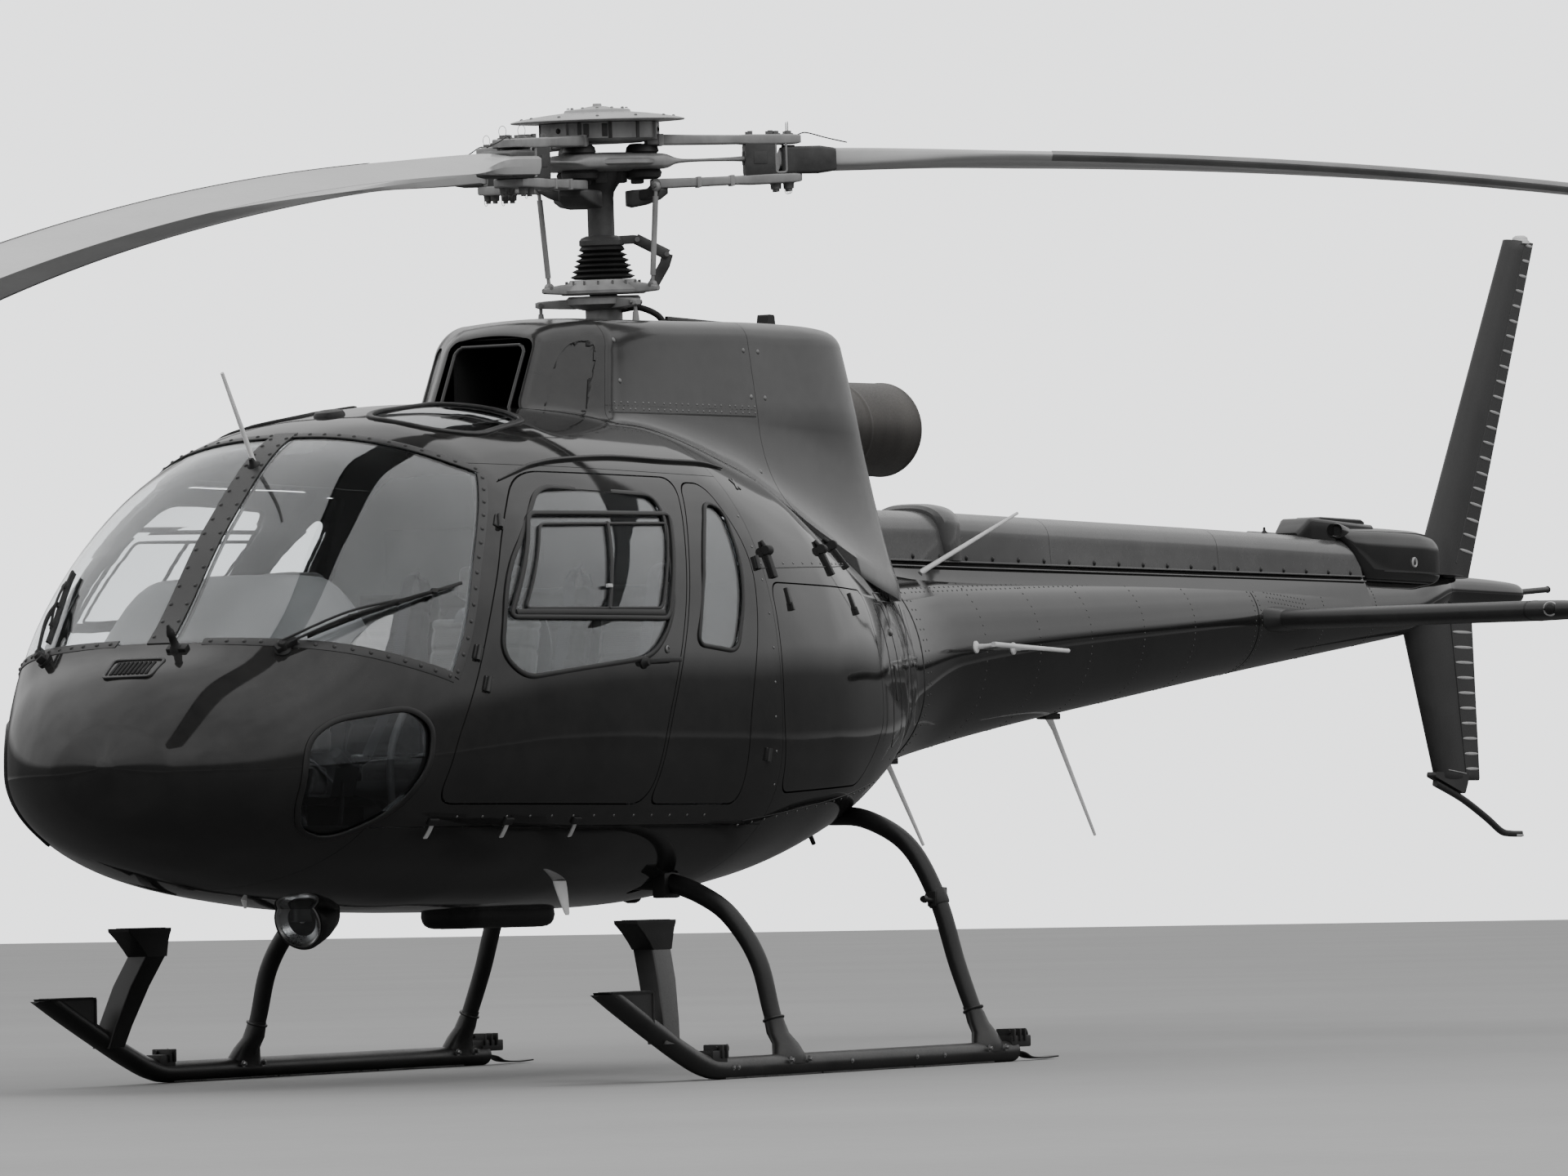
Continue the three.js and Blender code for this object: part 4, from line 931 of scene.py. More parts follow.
FRONT_LEG = [(0, 0.652), (0.350, 0.652), (0.610, 0.643), (0.784, 0.578), (0.884, 0.491),
             (0.959, 0.368), (1.002, 0.206), (1.043, 0.090)]
REAR_LEG = [
    (0, 0.880), (0.300, 0.875), (0.451, 0.862), (0.606, 0.848), (0.771, 0.754), (0.882, 0.569),
    (0.954, 0.342),
    (1.017, 0.173), (1.050, 0.090),
]
FRONT_LEG_X = 0.728
REAR_LEG_X = -0.684
LEG_RADIUS = 0.033
LEG_ROOM = 0.012


def leg_path(half, x, count=90):
    both = [(x, -y, z) for y, z in half[:0:-1]] + [(x, y, z) for y, z in half]
    return smooth_path(both, count)


def leg_tube(half, x, radius):
    return sweep(leg_path(half, x), radius, sides=24)


belly = boolean(belly, leg_tube(FRONT_LEG, FRONT_LEG_X, LEG_RADIUS + LEG_ROOM))
piece("canopy_shell_look", canopy, GLOSS, replaces=["canopy_shell"], hull=(0.0, SKIN), slot="body_gloss")
piece("roof_panel_look", roof, GLOSS, replaces=["roof_panel"], hull=(0.0, SKIN), slot="body_gloss")
piece("belly_panel_look", belly, GLOSS, replaces=["belly_panel"], hull=(0.0, SKIN), slot="body_gloss")

# Rear body: its hollow bay, the baggage doors and the frame where the boom starts
REAR_FRAME_X = -0.950
DECK_Z = 1.760
bay_outer = hull_solid(0.0, BAY_STATIONS)
bay_inner = hull_solid(SKIN, BAY_STATIONS)
bay_hollow = boolean(bay_inner, block(REAR_FRAME_X, 0.52, -1, 1, 0.3, 2.5), "INTERSECT")
aft_hollow = boolean(bay_inner, block(BOOM_START_X - 0.02, REAR_FRAME_X - 0.012, -1, 1, 0.3, 2.5),
                     "INTERSECT")
bay = boolean(bay_outer, block(BOOM_START_X, BULKHEAD_X - SEAM, -1, 1, 0.3, 2.5), "INTERSECT")
bay = boolean(boolean(bay, bay_hollow), aft_hollow)
bay = cut_both(bay, side_cut(BAGGAGE_DOOR, BAGGAGE_ROUND))
bay = boolean(bay, block(-1.6, 0.47, -0.4, 0.4, DECK_Z, 2.5))
bay = boolean(bay, leg_tube(REAR_LEG, REAR_LEG_X, LEG_RADIUS + LEG_ROOM))
piece("rear_shell_look", bay, GLOSS, replaces=["rear_shell"], hull=(0.0, SKIN), slot="body_gloss")

bay_leaf_wall = boolean(bay_outer, hull_solid(LEAF, BAY_STATIONS))
DOOR_SEAM = 0.005


def door_leaf(wall, outline, radius, glass=None, glass_radius=None):
    leaf = boolean(wall, side_cut(outline, radius, DOOR_SEAM), "INTERSECT")
    return boolean(leaf, side_cut(glass, glass_radius)) if glass else leaf


def side_pane(outline, radius, inner=0.25):
    return boolean(pane_wall, side_cut(outline, radius, FIT, inner), "INTERSECT")


front_leaf = door_leaf(leaf_wall, FRONT_DOOR, FRONT_ROUND, FRONT_DOOR_GLASS, FRONT_ROUND)
rear_leaf = door_leaf(leaf_wall, REAR_DOOR, REAR_ROUND, REAR_DOOR_GLASS, REAR_GLASS_ROUND)
baggage_leaf = door_leaf(bay_leaf_wall, BAGGAGE_DOOR, BAGGAGE_ROUND)
PANE_SKINS = (GLASS_SET, GLASS_SET + GLASS)
SIDES = (("port", lambda mesh: mesh.copy()), ("starboard", mirrored))
for side, turn in SIDES:
    for kind, leaf in (("front_door", front_leaf), ("rear_door", rear_leaf), ("baggage_door", baggage_leaf)):
        name = f"{kind}_{side}"
        piece(name + "_look", turn(leaf), GLOSS, body=name, replaces=[name], hull=(0.0, LEAF),
              slot="body_gloss")
    panes = (
        ("windscreen", side_pane(WINDSCREEN, SCREEN_ROUND, POST_HALF + FIT), "airframe", GLASS_CLEAR),
        ("chin_window", side_pane(CHIN_WINDOW, CHIN_ROUND, CHIN_INNER), "airframe", GLASS_CHIN),
        ("front_door_glass", side_pane(FRONT_DOOR_GLASS, FRONT_ROUND), f"front_door_{side}", GLASS_DOOR),
        ("rear_door_glass", side_pane(REAR_DOOR_GLASS, REAR_GLASS_ROUND), f"rear_door_{side}", GLASS_DOOR),
        ("roof_window", boolean(pane_wall, plan_prism(eased(grown(ROOF_WINDOW, -FIT), ROOF_ROUND),
                                                      *ROOF_PANE_Z), "INTERSECT"),
         "airframe", GLASS_ROOF),
    )
    for kind, pane, body, finish in panes:
        name = f"{kind}_{side}"
        piece(name + "_look", turn(pane), finish, body=body, replaces=[name], hull=PANE_SKINS, slot="glazing")


# Cowling, as U-shaped rings from the front lip to the back face
COWL_LINE_Z = 2.250
# x at that height, lean aft with height, half width, top, corner radius, narrowing, foot half width
COWL_RINGS = [
    (0.884, 0.55, 0.152, 2.464, 0.036, 0.000, 0.160),
    (0.888, 0.55, 0.162, 2.474, 0.044, 0.001, 0.172),
    (0.884, 0.55, 0.176, 2.487, 0.052, 0.002, 0.188),
    (0.872, 0.55, 0.192, 2.499, 0.062, 0.004, 0.206),
    (0.845, 0.53, 0.214, 2.512, 0.075, 0.008, 0.232),
    (0.800, 0.48, 0.250, 2.524, 0.088, 0.014, 0.272),
    (0.730, 0.40, 0.305, 2.534, 0.102, 0.022, 0.336),
    (0.651, 0.31, 0.366, 2.541, 0.112, 0.030, 0.405),
    (0.560, 0.20, 0.376, 2.546, 0.105, 0.030, 0.445),
    (0.400, 0.08, 0.381, 2.550, 0.090, 0.027, 0.485),
    (0.200, 0.01, 0.385, 2.555, 0.078, 0.025, 0.515),
    (0.000, 0.00, 0.388, 2.561, 0.072, 0.024, 0.535),
    (-0.200, 0.00, 0.391, 2.568, 0.070, 0.023, 0.545),
    (-0.352, -0.08, 0.392, 2.574, 0.072, 0.023, 0.545),
    (-0.500, -0.14, 0.392, 2.579, 0.078, 0.024, 0.535),
    (-0.700, -0.20, 0.390, 2.583, 0.080, 0.022, 0.510),
    (-0.880, -0.27, 0.387, 2.584, 0.074, 0.020, 0.480),
    (-1.020, -0.32, 0.378, 2.582, 0.068, 0.018, 0.445),
    (-1.120, -0.34, 0.362, 2.577, 0.062, 0.016, 0.415),
    (-1.190, -0.35, 0.334, 2.569, 0.056, 0.014, 0.378),
    (-1.238, -0.35, 0.292, 2.556, 0.052, 0.012, 0.330),
    (-1.262, -0.35, 0.240, 2.536, 0.046, 0.010, 0.275),
]
SEAM_FRONT = 7
SEAM_BACK = 13
COWL_WALL = 0.012


def cowl_column(station, column):
    """A column of the table at a real-valued ring number, eased between rings."""
    k = min(len(COWL_RINGS) - 2, int(station))
    t = station - k
    row = lambda i: COWL_RINGS[max(0, min(len(COWL_RINGS) - 1, i))][column]
    a, b, c, d = row(k - 1), row(k), row(k + 1), row(k + 2)
    return 0.5 * (2 * b + (c - a) * t + (2 * a - 5 * b + 4 * c - d) * t * t + (3 * b - a - 3 * c + d)
                  * t ** 3)


def cowl_ring(station, inset=0.0, move=0.0):
    x, lean, half, top, radius, narrow, foot = [cowl_column(station, c) for c in range(7)]
    half, top, foot, radius = half - inset, top - inset, foot - inset, max(0.01, radius - inset)
    foot_z = skin_z(x, foot)
    ridge = max(foot_z + 0.03, COWL_LINE_Z - 0.01 + 0.022 * (0.65 - x))
    shoulder = top - radius
    lines = [(foot, foot_z - 0.06)]
    start, bend, end = Vector((foot, foot_z)), Vector((half + 0.004,
                                                       foot_z + 0.32 * (ridge - foot_z))), Vector((half,
                                                           ridge))
    for t in spread(0, 1, 12):
        q = start * (1 - t) ** 2 + bend * 2 * t * (1 - t) + end * t * t
        lines.append((q.x, q.y))
    for t in spread(0, 1, 6)[1:]:
        lines.append((half - narrow * t, ridge + (shoulder - ridge) * t))
    side = half - narrow
    for a in spread(0, math.pi / 2, 10)[1:]:
        lines.append((side - radius + radius * math.cos(a), shoulder + radius * math.sin(a)))
    crown = 0.012
    edge = side - radius
    for t in spread(0, 1, 5)[1:]:
        lines.append((edge * (1 - t), top + crown * (1 - (1 - t) ** 2)))
    both = lines + [(-y, z) for y, z in lines[-2::-1]]
    return [(x + move - lean * (z - COWL_LINE_Z), y, z) for y, z in both]


def cowl_body(first, last, inset=0.0, reach=0.0):
    """The closed body between two ring numbers. Reach pushes its two ends further out."""
    count = max(4, int(round((last - first) * 6)))
    stations = spread(first, last, count)
    rings = []
    for i, station in enumerate(stations):
        move = reach if i == 0 else -reach if i == count else 0.0
        rings.append(cowl_ring(station, inset, move))
    return loft(rings)


COWL_BED = hull_solid(-0.0008, spread(1.1, -1.62, 90))
COWL_GAP = 0.0012


def cowl_part(first, last, open_first, open_last):
    outer = cowl_body(first, last, 0.0, -COWL_GAP)
    inner = cowl_body(first + (0 if open_first else 2), last - (0 if open_last else 2), COWL_WALL, 0.01)
    return boolean(boolean(outer, inner), COWL_BED)


INTAKE_HALF = 0.135
INTAKE_TOP = 2.452
INTAKE_ROUND = 0.035
INTAKE = [(-INTAKE_HALF, 2.1), (-INTAKE_HALF, INTAKE_TOP), (INTAKE_HALF, INTAKE_TOP), (INTAKE_HALF, 2.1)]


def raked(a, b, depth):
    """A point of the front face from its (y, z) and a depth ahead of the face."""
    return (0.886 - 0.55 * (b - COWL_LINE_Z) + depth, a, b)


# The cheek is the flat side face between the front lip and the first seam
CHEEK_START = Vector((0.651, 0.366, 0))
CHEEK_ALONG = Vector((0.194, -0.152, 0)).normalized()
CHEEK_OUT = Vector((0.152, 0.194, 0)).normalized()
CHEEK_PANEL = [(0.066, 2.20), (0.052, 2.42), (0.075, 2.468), (0.150, 2.462), (0.196, 2.40), (0.226, 2.20)]


def cheek(a, b, depth):
    back = CHEEK_ALONG * a + CHEEK_OUT * depth + CHEEK_START
    return (back.x - 0.42 * (b - COWL_LINE_Z), back.y - 0.10 * (b - COWL_LINE_Z), b)


hood = cowl_part(0, SEAM_FRONT, False, True)
hood = boolean(hood, prism(rounded(INTAKE, INTAKE_ROUND, 10), raked, -0.09, 0.2))
recess = boolean(cowl_body(0, SEAM_FRONT), cowl_body(0, SEAM_FRONT, 0.007, 0.02))
recess = boolean(recess, prism(eased(CHEEK_PANEL, 0.035), cheek, -0.03, 0.06), "INTERSECT")
hood = cut_both(hood, recess)
piece("intake_cowling_look", hood, COWL_PAINT, replaces=["intake_cowling"], slot="body_gloss", angle=32)

lip_path = [Vector(raked(y, z, 0.002)) for y, z in rounded(INTAKE, INTAKE_ROUND, 10) if z > 2.2]
lip = sweep(smooth_path([raked(-INTAKE_HALF, 2.2, 0.002)] + lip_path + [raked(INTAKE_HALF, 2.2, 0.002)], 60),
            0.0065, sides=12)
piece("intake_lip", boolean(lip, COWL_BED), COWL_PAINT)
duct_line = rounded([(-0.17, 2.12), (-0.17, 2.48), (0.17, 2.48), (0.17, 2.12)], 0.04, 6)
duct_outer = end_prism(duct_line, 0.30, 0.742)
duct_line_in = rounded([(-0.166, 2.10), (-0.166, 2.476), (0.166, 2.476), (0.166, 2.10)], 0.04, 6)
duct = boolean(duct_outer, end_prism(duct_line_in, 0.304, 0.76))
piece("intake_duct", boolean(duct, COWL_BED), DARK_GAP)

middle = cowl_part(SEAM_FRONT, SEAM_BACK, True, True)
groove = boolean(cowl_body(SEAM_FRONT - 0.2, SEAM_BACK + 0.2),
                 cowl_body(SEAM_FRONT - 0.3, SEAM_BACK + 0.3, 0.004, 0.02))
line_slab = [(0.80, 2.2395), (0.80, 2.2412), (-0.60, 2.2722), (-0.60, 2.2705)]
groove = boolean(groove, side_prism(line_slab, -0.6, 0.6), "INTERSECT")
middle = boolean(middle, groove)
piece("middle_cowling_look", middle, COWL_PAINT, replaces=["middle_cowling"], slot="body_gloss", angle=32)

rear = cowl_part(SEAM_BACK, len(COWL_RINGS) - 1, True, False)
rear = boolean(rear, rod((-0.95, 0, 2.232), (-1.6, 0, 2.264), 0.186, sides=64))
piece("rear_cowling_look", rear, COWL_PAINT, replaces=["rear_cowling"], slot="body_gloss", angle=32)


# Exhaust: a wide pipe with a joint bead, a rolled end and a darker bore
def exhaust_taper(t):
    return 0.170 + 0.003 * math.exp(-((t - 0.52) / 0.012) ** 2) + 0.0025 * math.exp(-((t - 0.995)
        / 0.012) ** 2)


def exhaust_bore(x0, x1, z1, radius):
    """A round bar along the exhaust's bent middle line, between two stations."""
    return sweep(smooth_path([(x0, 0, 2.24), (-1.56, 0, 2.262), (x1, 0, z1)], 60), radius, sides=72)


exhaust_path = smooth_path([(-1.18, 0, 2.240), (-1.56, 0, 2.262), (-1.98, 0, 2.275)], 120)
exhaust = sweep(exhaust_path, 1, sides=72, taper=exhaust_taper)
exhaust = boolean(exhaust, exhaust_bore(-1.17, -2.1, 2.279, 0.1665))
piece("exhaust_pipe_look", exhaust, EXHAUST, replaces=["exhaust_pipe"], slot="steel", angle=40)
liner = boolean(exhaust_bore(-1.19, -1.955, 2.274, 0.1655), exhaust_bore(-1.21, -2.1, 2.279, 0.1635))
piece("exhaust_liner", liner, SOOT)
for frame_node in ("engine_block", "gearbox_block", "engine_deck"):
    block_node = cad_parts[frame_node]
    block_node.data.materials.clear()
    block_node.data.materials.append(ALLOY)


# Landing gear: cross tubes, foot sleeves, skid tubes, steps and their small fittings
def shaped(rows, corner=0.008):
    """A body over level oblongs: height, front, back, inner and outer side."""
    rings = []
    for z, x0, x1, y0, y1 in rows:
        line = rounded([(x0, y0), (x1, y0), (x1, y1), (x0, y1)],
                       min(corner, abs(x1 - x0) / 3, abs(y1 - y0) / 3), 4)
        rings.append([(p.x, p.y, z) for p in line])
    return loft(rings)


def bolt_heads(spots, radius=0.007, height=0.005):
    """Hexagon heads on washers at (point, normal) spots."""
    parts = []
    for point, normal in spots:
        place = facing(point, normal)
        parts.append(turned([(0, 0), (radius * 1.6, 0), (radius * 1.6, 0.0015), (0, 0.0015)], place, 20))
        parts.append(turned([(0, 0.001), (radius, 0.001), (radius, height), (radius * 0.8, height * 1.2),
                             (0, height * 1.2)], place, 6))
    return merged(parts)


for name, half, x in (("front_cross_tube", FRONT_LEG, FRONT_LEG_X),
                      ("rear_cross_tube", REAR_LEG, REAR_LEG_X)):
    tube = sweep(leg_path(half, x, 120), LEG_RADIUS, sides=32, taper=lambda t: 1 - 0.16 * abs(2 * t - 1) ** 3)
    piece(name + "_look", tube, SATIN, replaces=[name], slot="satin_black", angle=60)

SKID_RADIUS = 0.036
SKID_LINE = [
    (-0.860, 0.036), (-0.40, 0.036), (0.20, 0.036), (0.80, 0.036), (1.180, 0.036), (1.310, 0.050),
    (1.445, 0.093),
    (1.628, 0.166), (1.833, 0.252), (1.980, 0.318),
]
# Feet: height, half length along the skid, half width
FOOT_RINGS = [
    (0.192, 0.032, 0.032), (0.176, 0.034, 0.034), (0.140, 0.043, 0.036), (0.105, 0.058, 0.039),
    (0.075, 0.080, 0.041),
    (0.058, 0.088, 0.041), (0.040, 0.088, 0.041),
]


def foot(half, x):
    """The flared sleeve that joins a leg to the skid tube, with its clamp ring and bolts."""
    spine = leg_path(half, x, 240)
    rings = []
    for z, long, wide in FOOT_RINGS:
        centre = min(spine[len(spine) // 2:], key=lambda p: abs(p.z - max(z, 0.092)))
        slide = min(1.0, max(0.0, (0.14 - z) / 0.08))
        y = centre.y * (1 - slide) + SKID_Y * slide
        angles = np.linspace(0, 2 * np.pi, 40, endpoint=False)
        rings.append([(x + long * math.cos(a), y + wide * math.sin(a), z) for a in angles])
    top = min(spine[len(spine) // 2:], key=lambda p: abs(p.z - 0.19))
    near = min(spine[len(spine) // 2:], key=lambda p: abs(p.z - 0.24))
    ring = turned([(0.030, -0.004), (0.036, -0.004), (0.0375, 0), (0.036, 0.004), (0.030, 0.004)],
                  facing(top, near - top), 40)
    bolts = []
    for dx in (-0.062, 0.062):
        bolts += [((x + dx, SKID_Y + 0.040, 0.052), (0, 1, 0)), ((x + dx, SKID_Y - 0.040, 0.052), (0, -1, 0))]
    return loft(rings), ring, bolt_heads(bolts, 0.0075, 0.010)


def step_fittings():
    """The two steps on their post, from tables of (height, back, front, inner side, outer side)."""
    upper = shaped([
        (0.428, 1.398, 1.522, 0.929, 1.011), (0.450, 1.394, 1.545, 0.929, 1.012),
        (0.480, 1.387, 1.582, 0.929, 1.013),
        (0.500, 1.380, 1.612, 0.928, 1.013), (0.512, 1.374, 1.630, 0.927, 1.014),
        (0.523, 1.372, 1.632, 0.927, 1.014),
    ], 0.006)
    post = shaped([
        (0.125, 1.512, 1.606, 1.030, 1.100), (0.200, 1.488, 1.590, 1.012, 1.084),
        (0.330, 1.442, 1.556, 0.972, 1.048),
        (0.432, 1.402, 1.520, 0.932, 1.008),
    ], 0.007)
    y0, y1 = SKID_Y - 0.034, SKID_Y + 0.034
    wedge = side_prism([(1.677, 0.178), (1.830, 0.246), (1.944, 0.290), (1.677, 0.290)],
                       y0 + 0.003, y1 - 0.003)
    plate = shaped([(0.2895, 1.672, 1.950, y0, y1), (0.297, 1.670, 1.955, y0 - 0.001, y1 + 0.001)], 0.012)
    lips = []
    for side in (-1, 1):
        y = SKID_Y + side * 0.0315
        edge = [(1.672, y, 0.184), (1.760, y, 0.222), (1.850, y, 0.259), (1.925, y, 0.284)]
        lips.append(sweep(smooth_path(edge, 16), 0.004, 0.0035, kind="soft", sides=12))
        lips.append(sweep([(1.679, y, 0.182), (1.679, y, 0.292)], 0.004, kind="soft", sides=12))
    grip = []
    for x0, x1, y, z in ((1.685, 1.940, SKID_Y, 0.2975), (1.385, 1.618, 0.970, 0.5233)):
        for k in range(5):
            at = y + (k - 2) * 0.0125
            grip.append(sweep([(x0, at, z), (x1 - abs(k - 2) * 0.006, at, z)], 0.0018, 0.0012, sides=8))
    return merged([upper, post, wedge, plate]), merged(lips), merged(grip)


def skid_body():
    path = [Vector((p.x, p.y, max(p.z, SKID_RADIUS + 0.0002)))
            for p in smooth_path([(x, SKID_Y, z) for x, z in SKID_LINE], 150)]
    tube = sweep(path, SKID_RADIUS, sides=36)
    tube = boolean(tube, block(1.6, 2.2, 0.9, 1.3, 0.290, 0.45))
    end = turned([(0, -0.02), (0.0355, -0.02), (0.0375, 0), (0.0355, 0.004), (0.020, 0.006), (0, 0.006)],
                 facing((-0.858, SKID_Y, 0.0375), (-1, 0, 0)), 36)
    wear = []
    for x0, x1 in ((-0.70, -0.12), (-0.11, 0.53), (0.54, 1.19)):
        wear.append(soft_block(x0, x1, SKID_Y - 0.019, SKID_Y + 0.019, 0.0004, 0.012, 0.003))
    return tube, end, wear


def skid_brackets():
    """The lumps near each end of the skid: clamps, lugs with a pin, hooks and the ground spring."""
    parts = []
    for x0, x1, top in ((1.195, 1.292, 0.096), (-0.955, -0.812, 0.090)):
        parts.append(soft_block(x0, x1, SKID_Y - 0.030, SKID_Y + 0.030, 0.050, top, 0.006))
    for x in (1.205, 1.235, -0.825, -0.868, -0.905):
        parts.append(soft_block(x - 0.006, x + 0.006, SKID_Y - 0.036, SKID_Y + 0.036, 0.070, 0.114, 0.004))
    parts.append(rod((1.190, SKID_Y + 0.016, 0.104), (1.252, SKID_Y + 0.016, 0.104), 0.006))
    parts.append(rod((-0.918, SKID_Y + 0.016, 0.104), (-0.812, SKID_Y + 0.016, 0.104), 0.007))
    hook = [(1.190, 0.100), (1.174, 0.112), (1.168, 0.098), (1.178, 0.086), (1.182, 0.074)]
    parts.append(sweep(smooth_path([(x, SKID_Y + 0.016, z) for x, z in hook], 24), 0.0035, sides=10))
    hook = [(-0.918, 0.102), (-0.938, 0.110), (-0.952, 0.092), (-0.944, 0.072)]
    parts.append(sweep(smooth_path([(x, SKID_Y + 0.016, z) for x, z in hook], 24), 0.004, sides=10))
    blade = [(-0.870, 0.036), (-0.930, 0.028), (-0.985, 0.012), (-1.080, 0.007), (-1.180, 0.010)]
    parts.append(sweep(smooth_path([(x, SKID_Y, z) for x, z in blade], 30), 0.022, 0.003,
                       kind="square", sides=16))
    return parts


feet = [foot(FRONT_LEG, FRONT_LEG_X), foot(REAR_LEG, REAR_LEG_X)]
steps, step_lips, step_grip = step_fittings()
tube, tube_end, wear_bars = skid_body()
skid_parts = merged([tube, tube_end, steps, step_lips] + [f[0] for f in feet] + [f[1] for f in feet]
                    + skid_brackets())
skid_bolts = [f[2] for f in feet]
side_bolts = [((x, SKID_Y + 0.0355, 0.038), (0, 1, 0)) for x in (1.135, 1.168, 0.36, -0.10, -0.30)]
skid_bolts.append(bolt_heads(side_bolts, 0.0055, 0.005))
for side, turn in SIDES:
    piece(f"skid_{side}_look", turn(skid_parts), SATIN, replaces=[f"skid_{side}"], slot="satin_black",
          angle=40)
    piece(f"skid_wear_bars_{side}", turn(merged(wear_bars)), STEEL, angle=40)
    piece(f"skid_bolts_{side}", turn(merged(skid_bolts)), BOLT, angle=40)
    piece(f"step_grip_{side}", turn(step_grip), RUBBER, angle=40)

# A clamp with a short handle round the rear leg, and the plates where the legs leave the hull
port_leg = leg_path(REAR_LEG, REAR_LEG_X, 240)[120:]
leg_at = min(port_leg, key=lambda p: abs(p.z - 0.575))
leg_next = min(port_leg, key=lambda p: abs(p.z - 0.50))
along_leg = leg_next - leg_at
clamp = [
    turned([(0.026, -0.026), (0.036, -0.026), (0.0375, -0.02), (0.0375, 0.02), (0.036, 0.026),
            (0.026, 0.026)],
           facing(leg_at, along_leg), 36),
    soft_block(-0.660, -0.640, leg_at.y - 0.016, leg_at.y + 0.016, leg_at.z - 0.030, leg_at.z + 0.022, 0.004),
    rod((-0.650, leg_at.y, leg_at.z - 0.01), (-0.588, leg_at.y, leg_at.z - 0.004), 0.009),
    rod((-0.592, leg_at.y, leg_at.z - 0.004), (-0.576, leg_at.y, leg_at.z - 0.003), 0.014, radius_end=0.011),
    soft_block(-0.730, -0.712, leg_at.y - 0.014, leg_at.y + 0.016, leg_at.z - 0.022, leg_at.z + 0.036, 0.004),
]
clamp_mesh = merged(clamp)
for side, turn in SIDES:
    piece(f"leg_clamp_{side}", turn(clamp_mesh), SATIN, angle=40)
    cuff = soft_block(FRONT_LEG_X - 0.052, FRONT_LEG_X + 0.052, 0.585, 0.635, 0.590, 0.690, 0.010)
    piece(f"front_leg_mount_{side}", turn(cuff), SATIN, angle=40)


# Tail: boom, shaft cover, fairings, cone, fins, stabiliser and tail skid
TAIL_STATIONS = spread(BOOM_START_X - 0.0014, BOOM_JOINT_X + 0.004, 90)
boom = loft(hull_loft(0.0, TAIL_STATIONS))
piece("tail_boom_look", boom, GLOSS, replaces=["tail_boom"], hull=(0.0,), slot="body_gloss")

CONE_Z = 1.790
TAIL_CONE = Table(
    [(-6.50, 0.112, 0.112), (-6.80, 0.074, 0.072), (-6.90, 0.062, 0.063), (-7.20, 0.054, 0.060),
     (-7.50, 0.046, 0.052),
     (-7.64, 0.038, 0.044), (-7.68, 0.028, 0.032), (-7.70, 0.012, 0.014)]
)


def tail_ring(x):
    """A ring of the tail section, changing from the fuselage's shape into the thin cone."""
    ring = hull_loft(0.0, [max(x, -6.60)])[0]
    wide, high = [float(c[0]) for c in TAIL_CONE.at(x)]
    angle = np.linspace(0, 2 * np.pi, RING_POINTS, endpoint=False)
    cone = np.stack([np.full(RING_POINTS, x), wide * np.cos(angle), CONE_Z + high * np.sin(angle)], axis=1)
    t = min(1.0, max(0.0, (-6.40 - x) / 0.50))
    t = t * t * (3 - 2 * t)
    ring = ring * (1 - t) + cone * t
    ring[:, 0] = x
    return ring


section_stations = spread(BOOM_JOINT_X - 0.004, -6.858, 70)
cone_stations = spread(-6.861, -7.62, 30) + [-7.64, -7.66, -7.68, -7.692, -7.70]
cone_rod = rod((-7.69, 0, 1.800), (-7.995, 0, 1.818), 0.013, sides=24)
rod_end = turned([(0, -0.004), (0.0145, -0.004), (0.0155, 0.001), (0.013, 0.006), (0, 0.007)],
                 facing((-7.992, 0, 1.8178), (-1, 0, 0.058)), 24)
section_body = merged([loft([tail_ring(x) for x in stations]) for stations in (section_stations,
    cone_stations)])
piece("tail_section_look", section_body, GLOSS, replaces=["tail_section"], slot="body_gloss", angle=40)
piece("tail_cone_rod", merged([cone_rod, rod_end]), SATIN_HIGH)
boom_line = loft(hull_loft(0.004, [BOOM_JOINT_X - 0.0045, BOOM_JOINT_X + 0.0045]))
joint_line = loft([tail_ring(-6.8560), tail_ring(-6.8630)])
shrink = Matrix.Translation((0, 0, CONE_Z)) @ Matrix.Diagonal((1, 0.95, 0.95, 1)) @ Matrix.Translation((0,
    0, -CONE_Z))
joint_line.transform(shrink)
piece("tail_joint_lines", merged([boom_line, joint_line]), SEAL, angle=40)

# Shaft cover: x, half width, foot height, top height
SHAFT_COVER = Table([
    (-1.600, 0.130, 1.700, 1.975), (-2.400, 0.125, 1.700, 1.985), (-4.200, 0.110, 1.720, 1.985),
    (-5.900, 0.096, 1.740, 1.980),
])


def cover_line(x, extra=0.0, foot=None):
    """Half of the cover's section at a station: [y, z] from the port foot to the ridge."""
    half, low, top = [float(c[0]) for c in SHAFT_COVER.at(x)]
    half, top = half + extra, top + extra
    low = low if foot is None else foot
    line = [(half, low), (half - 0.001, top - 0.095)]
    for a in spread(0, math.pi / 2, 16)[1:]:
        line.append((half * math.cos(a) ** 0.72, top - 0.085 + 0.085 * math.sin(a) ** 0.85))
    return line


def cover_ring(x, extra=0.0, foot=None, rake=0.0):
    line = cover_line(x, extra, foot)
    both = line + [(-y, z) for y, z in line[-2::-1]]
    return [(x - rake * (1.98 - z), y, z) for y, z in both]


COVER_BED = loft(hull_loft(-0.0006, spread(-1.45, -6.6, 60)))
COVER_SEAMS = [-1.602, -2.262, -3.066, -4.535, -5.852]
COVER_RAKE = 0.42


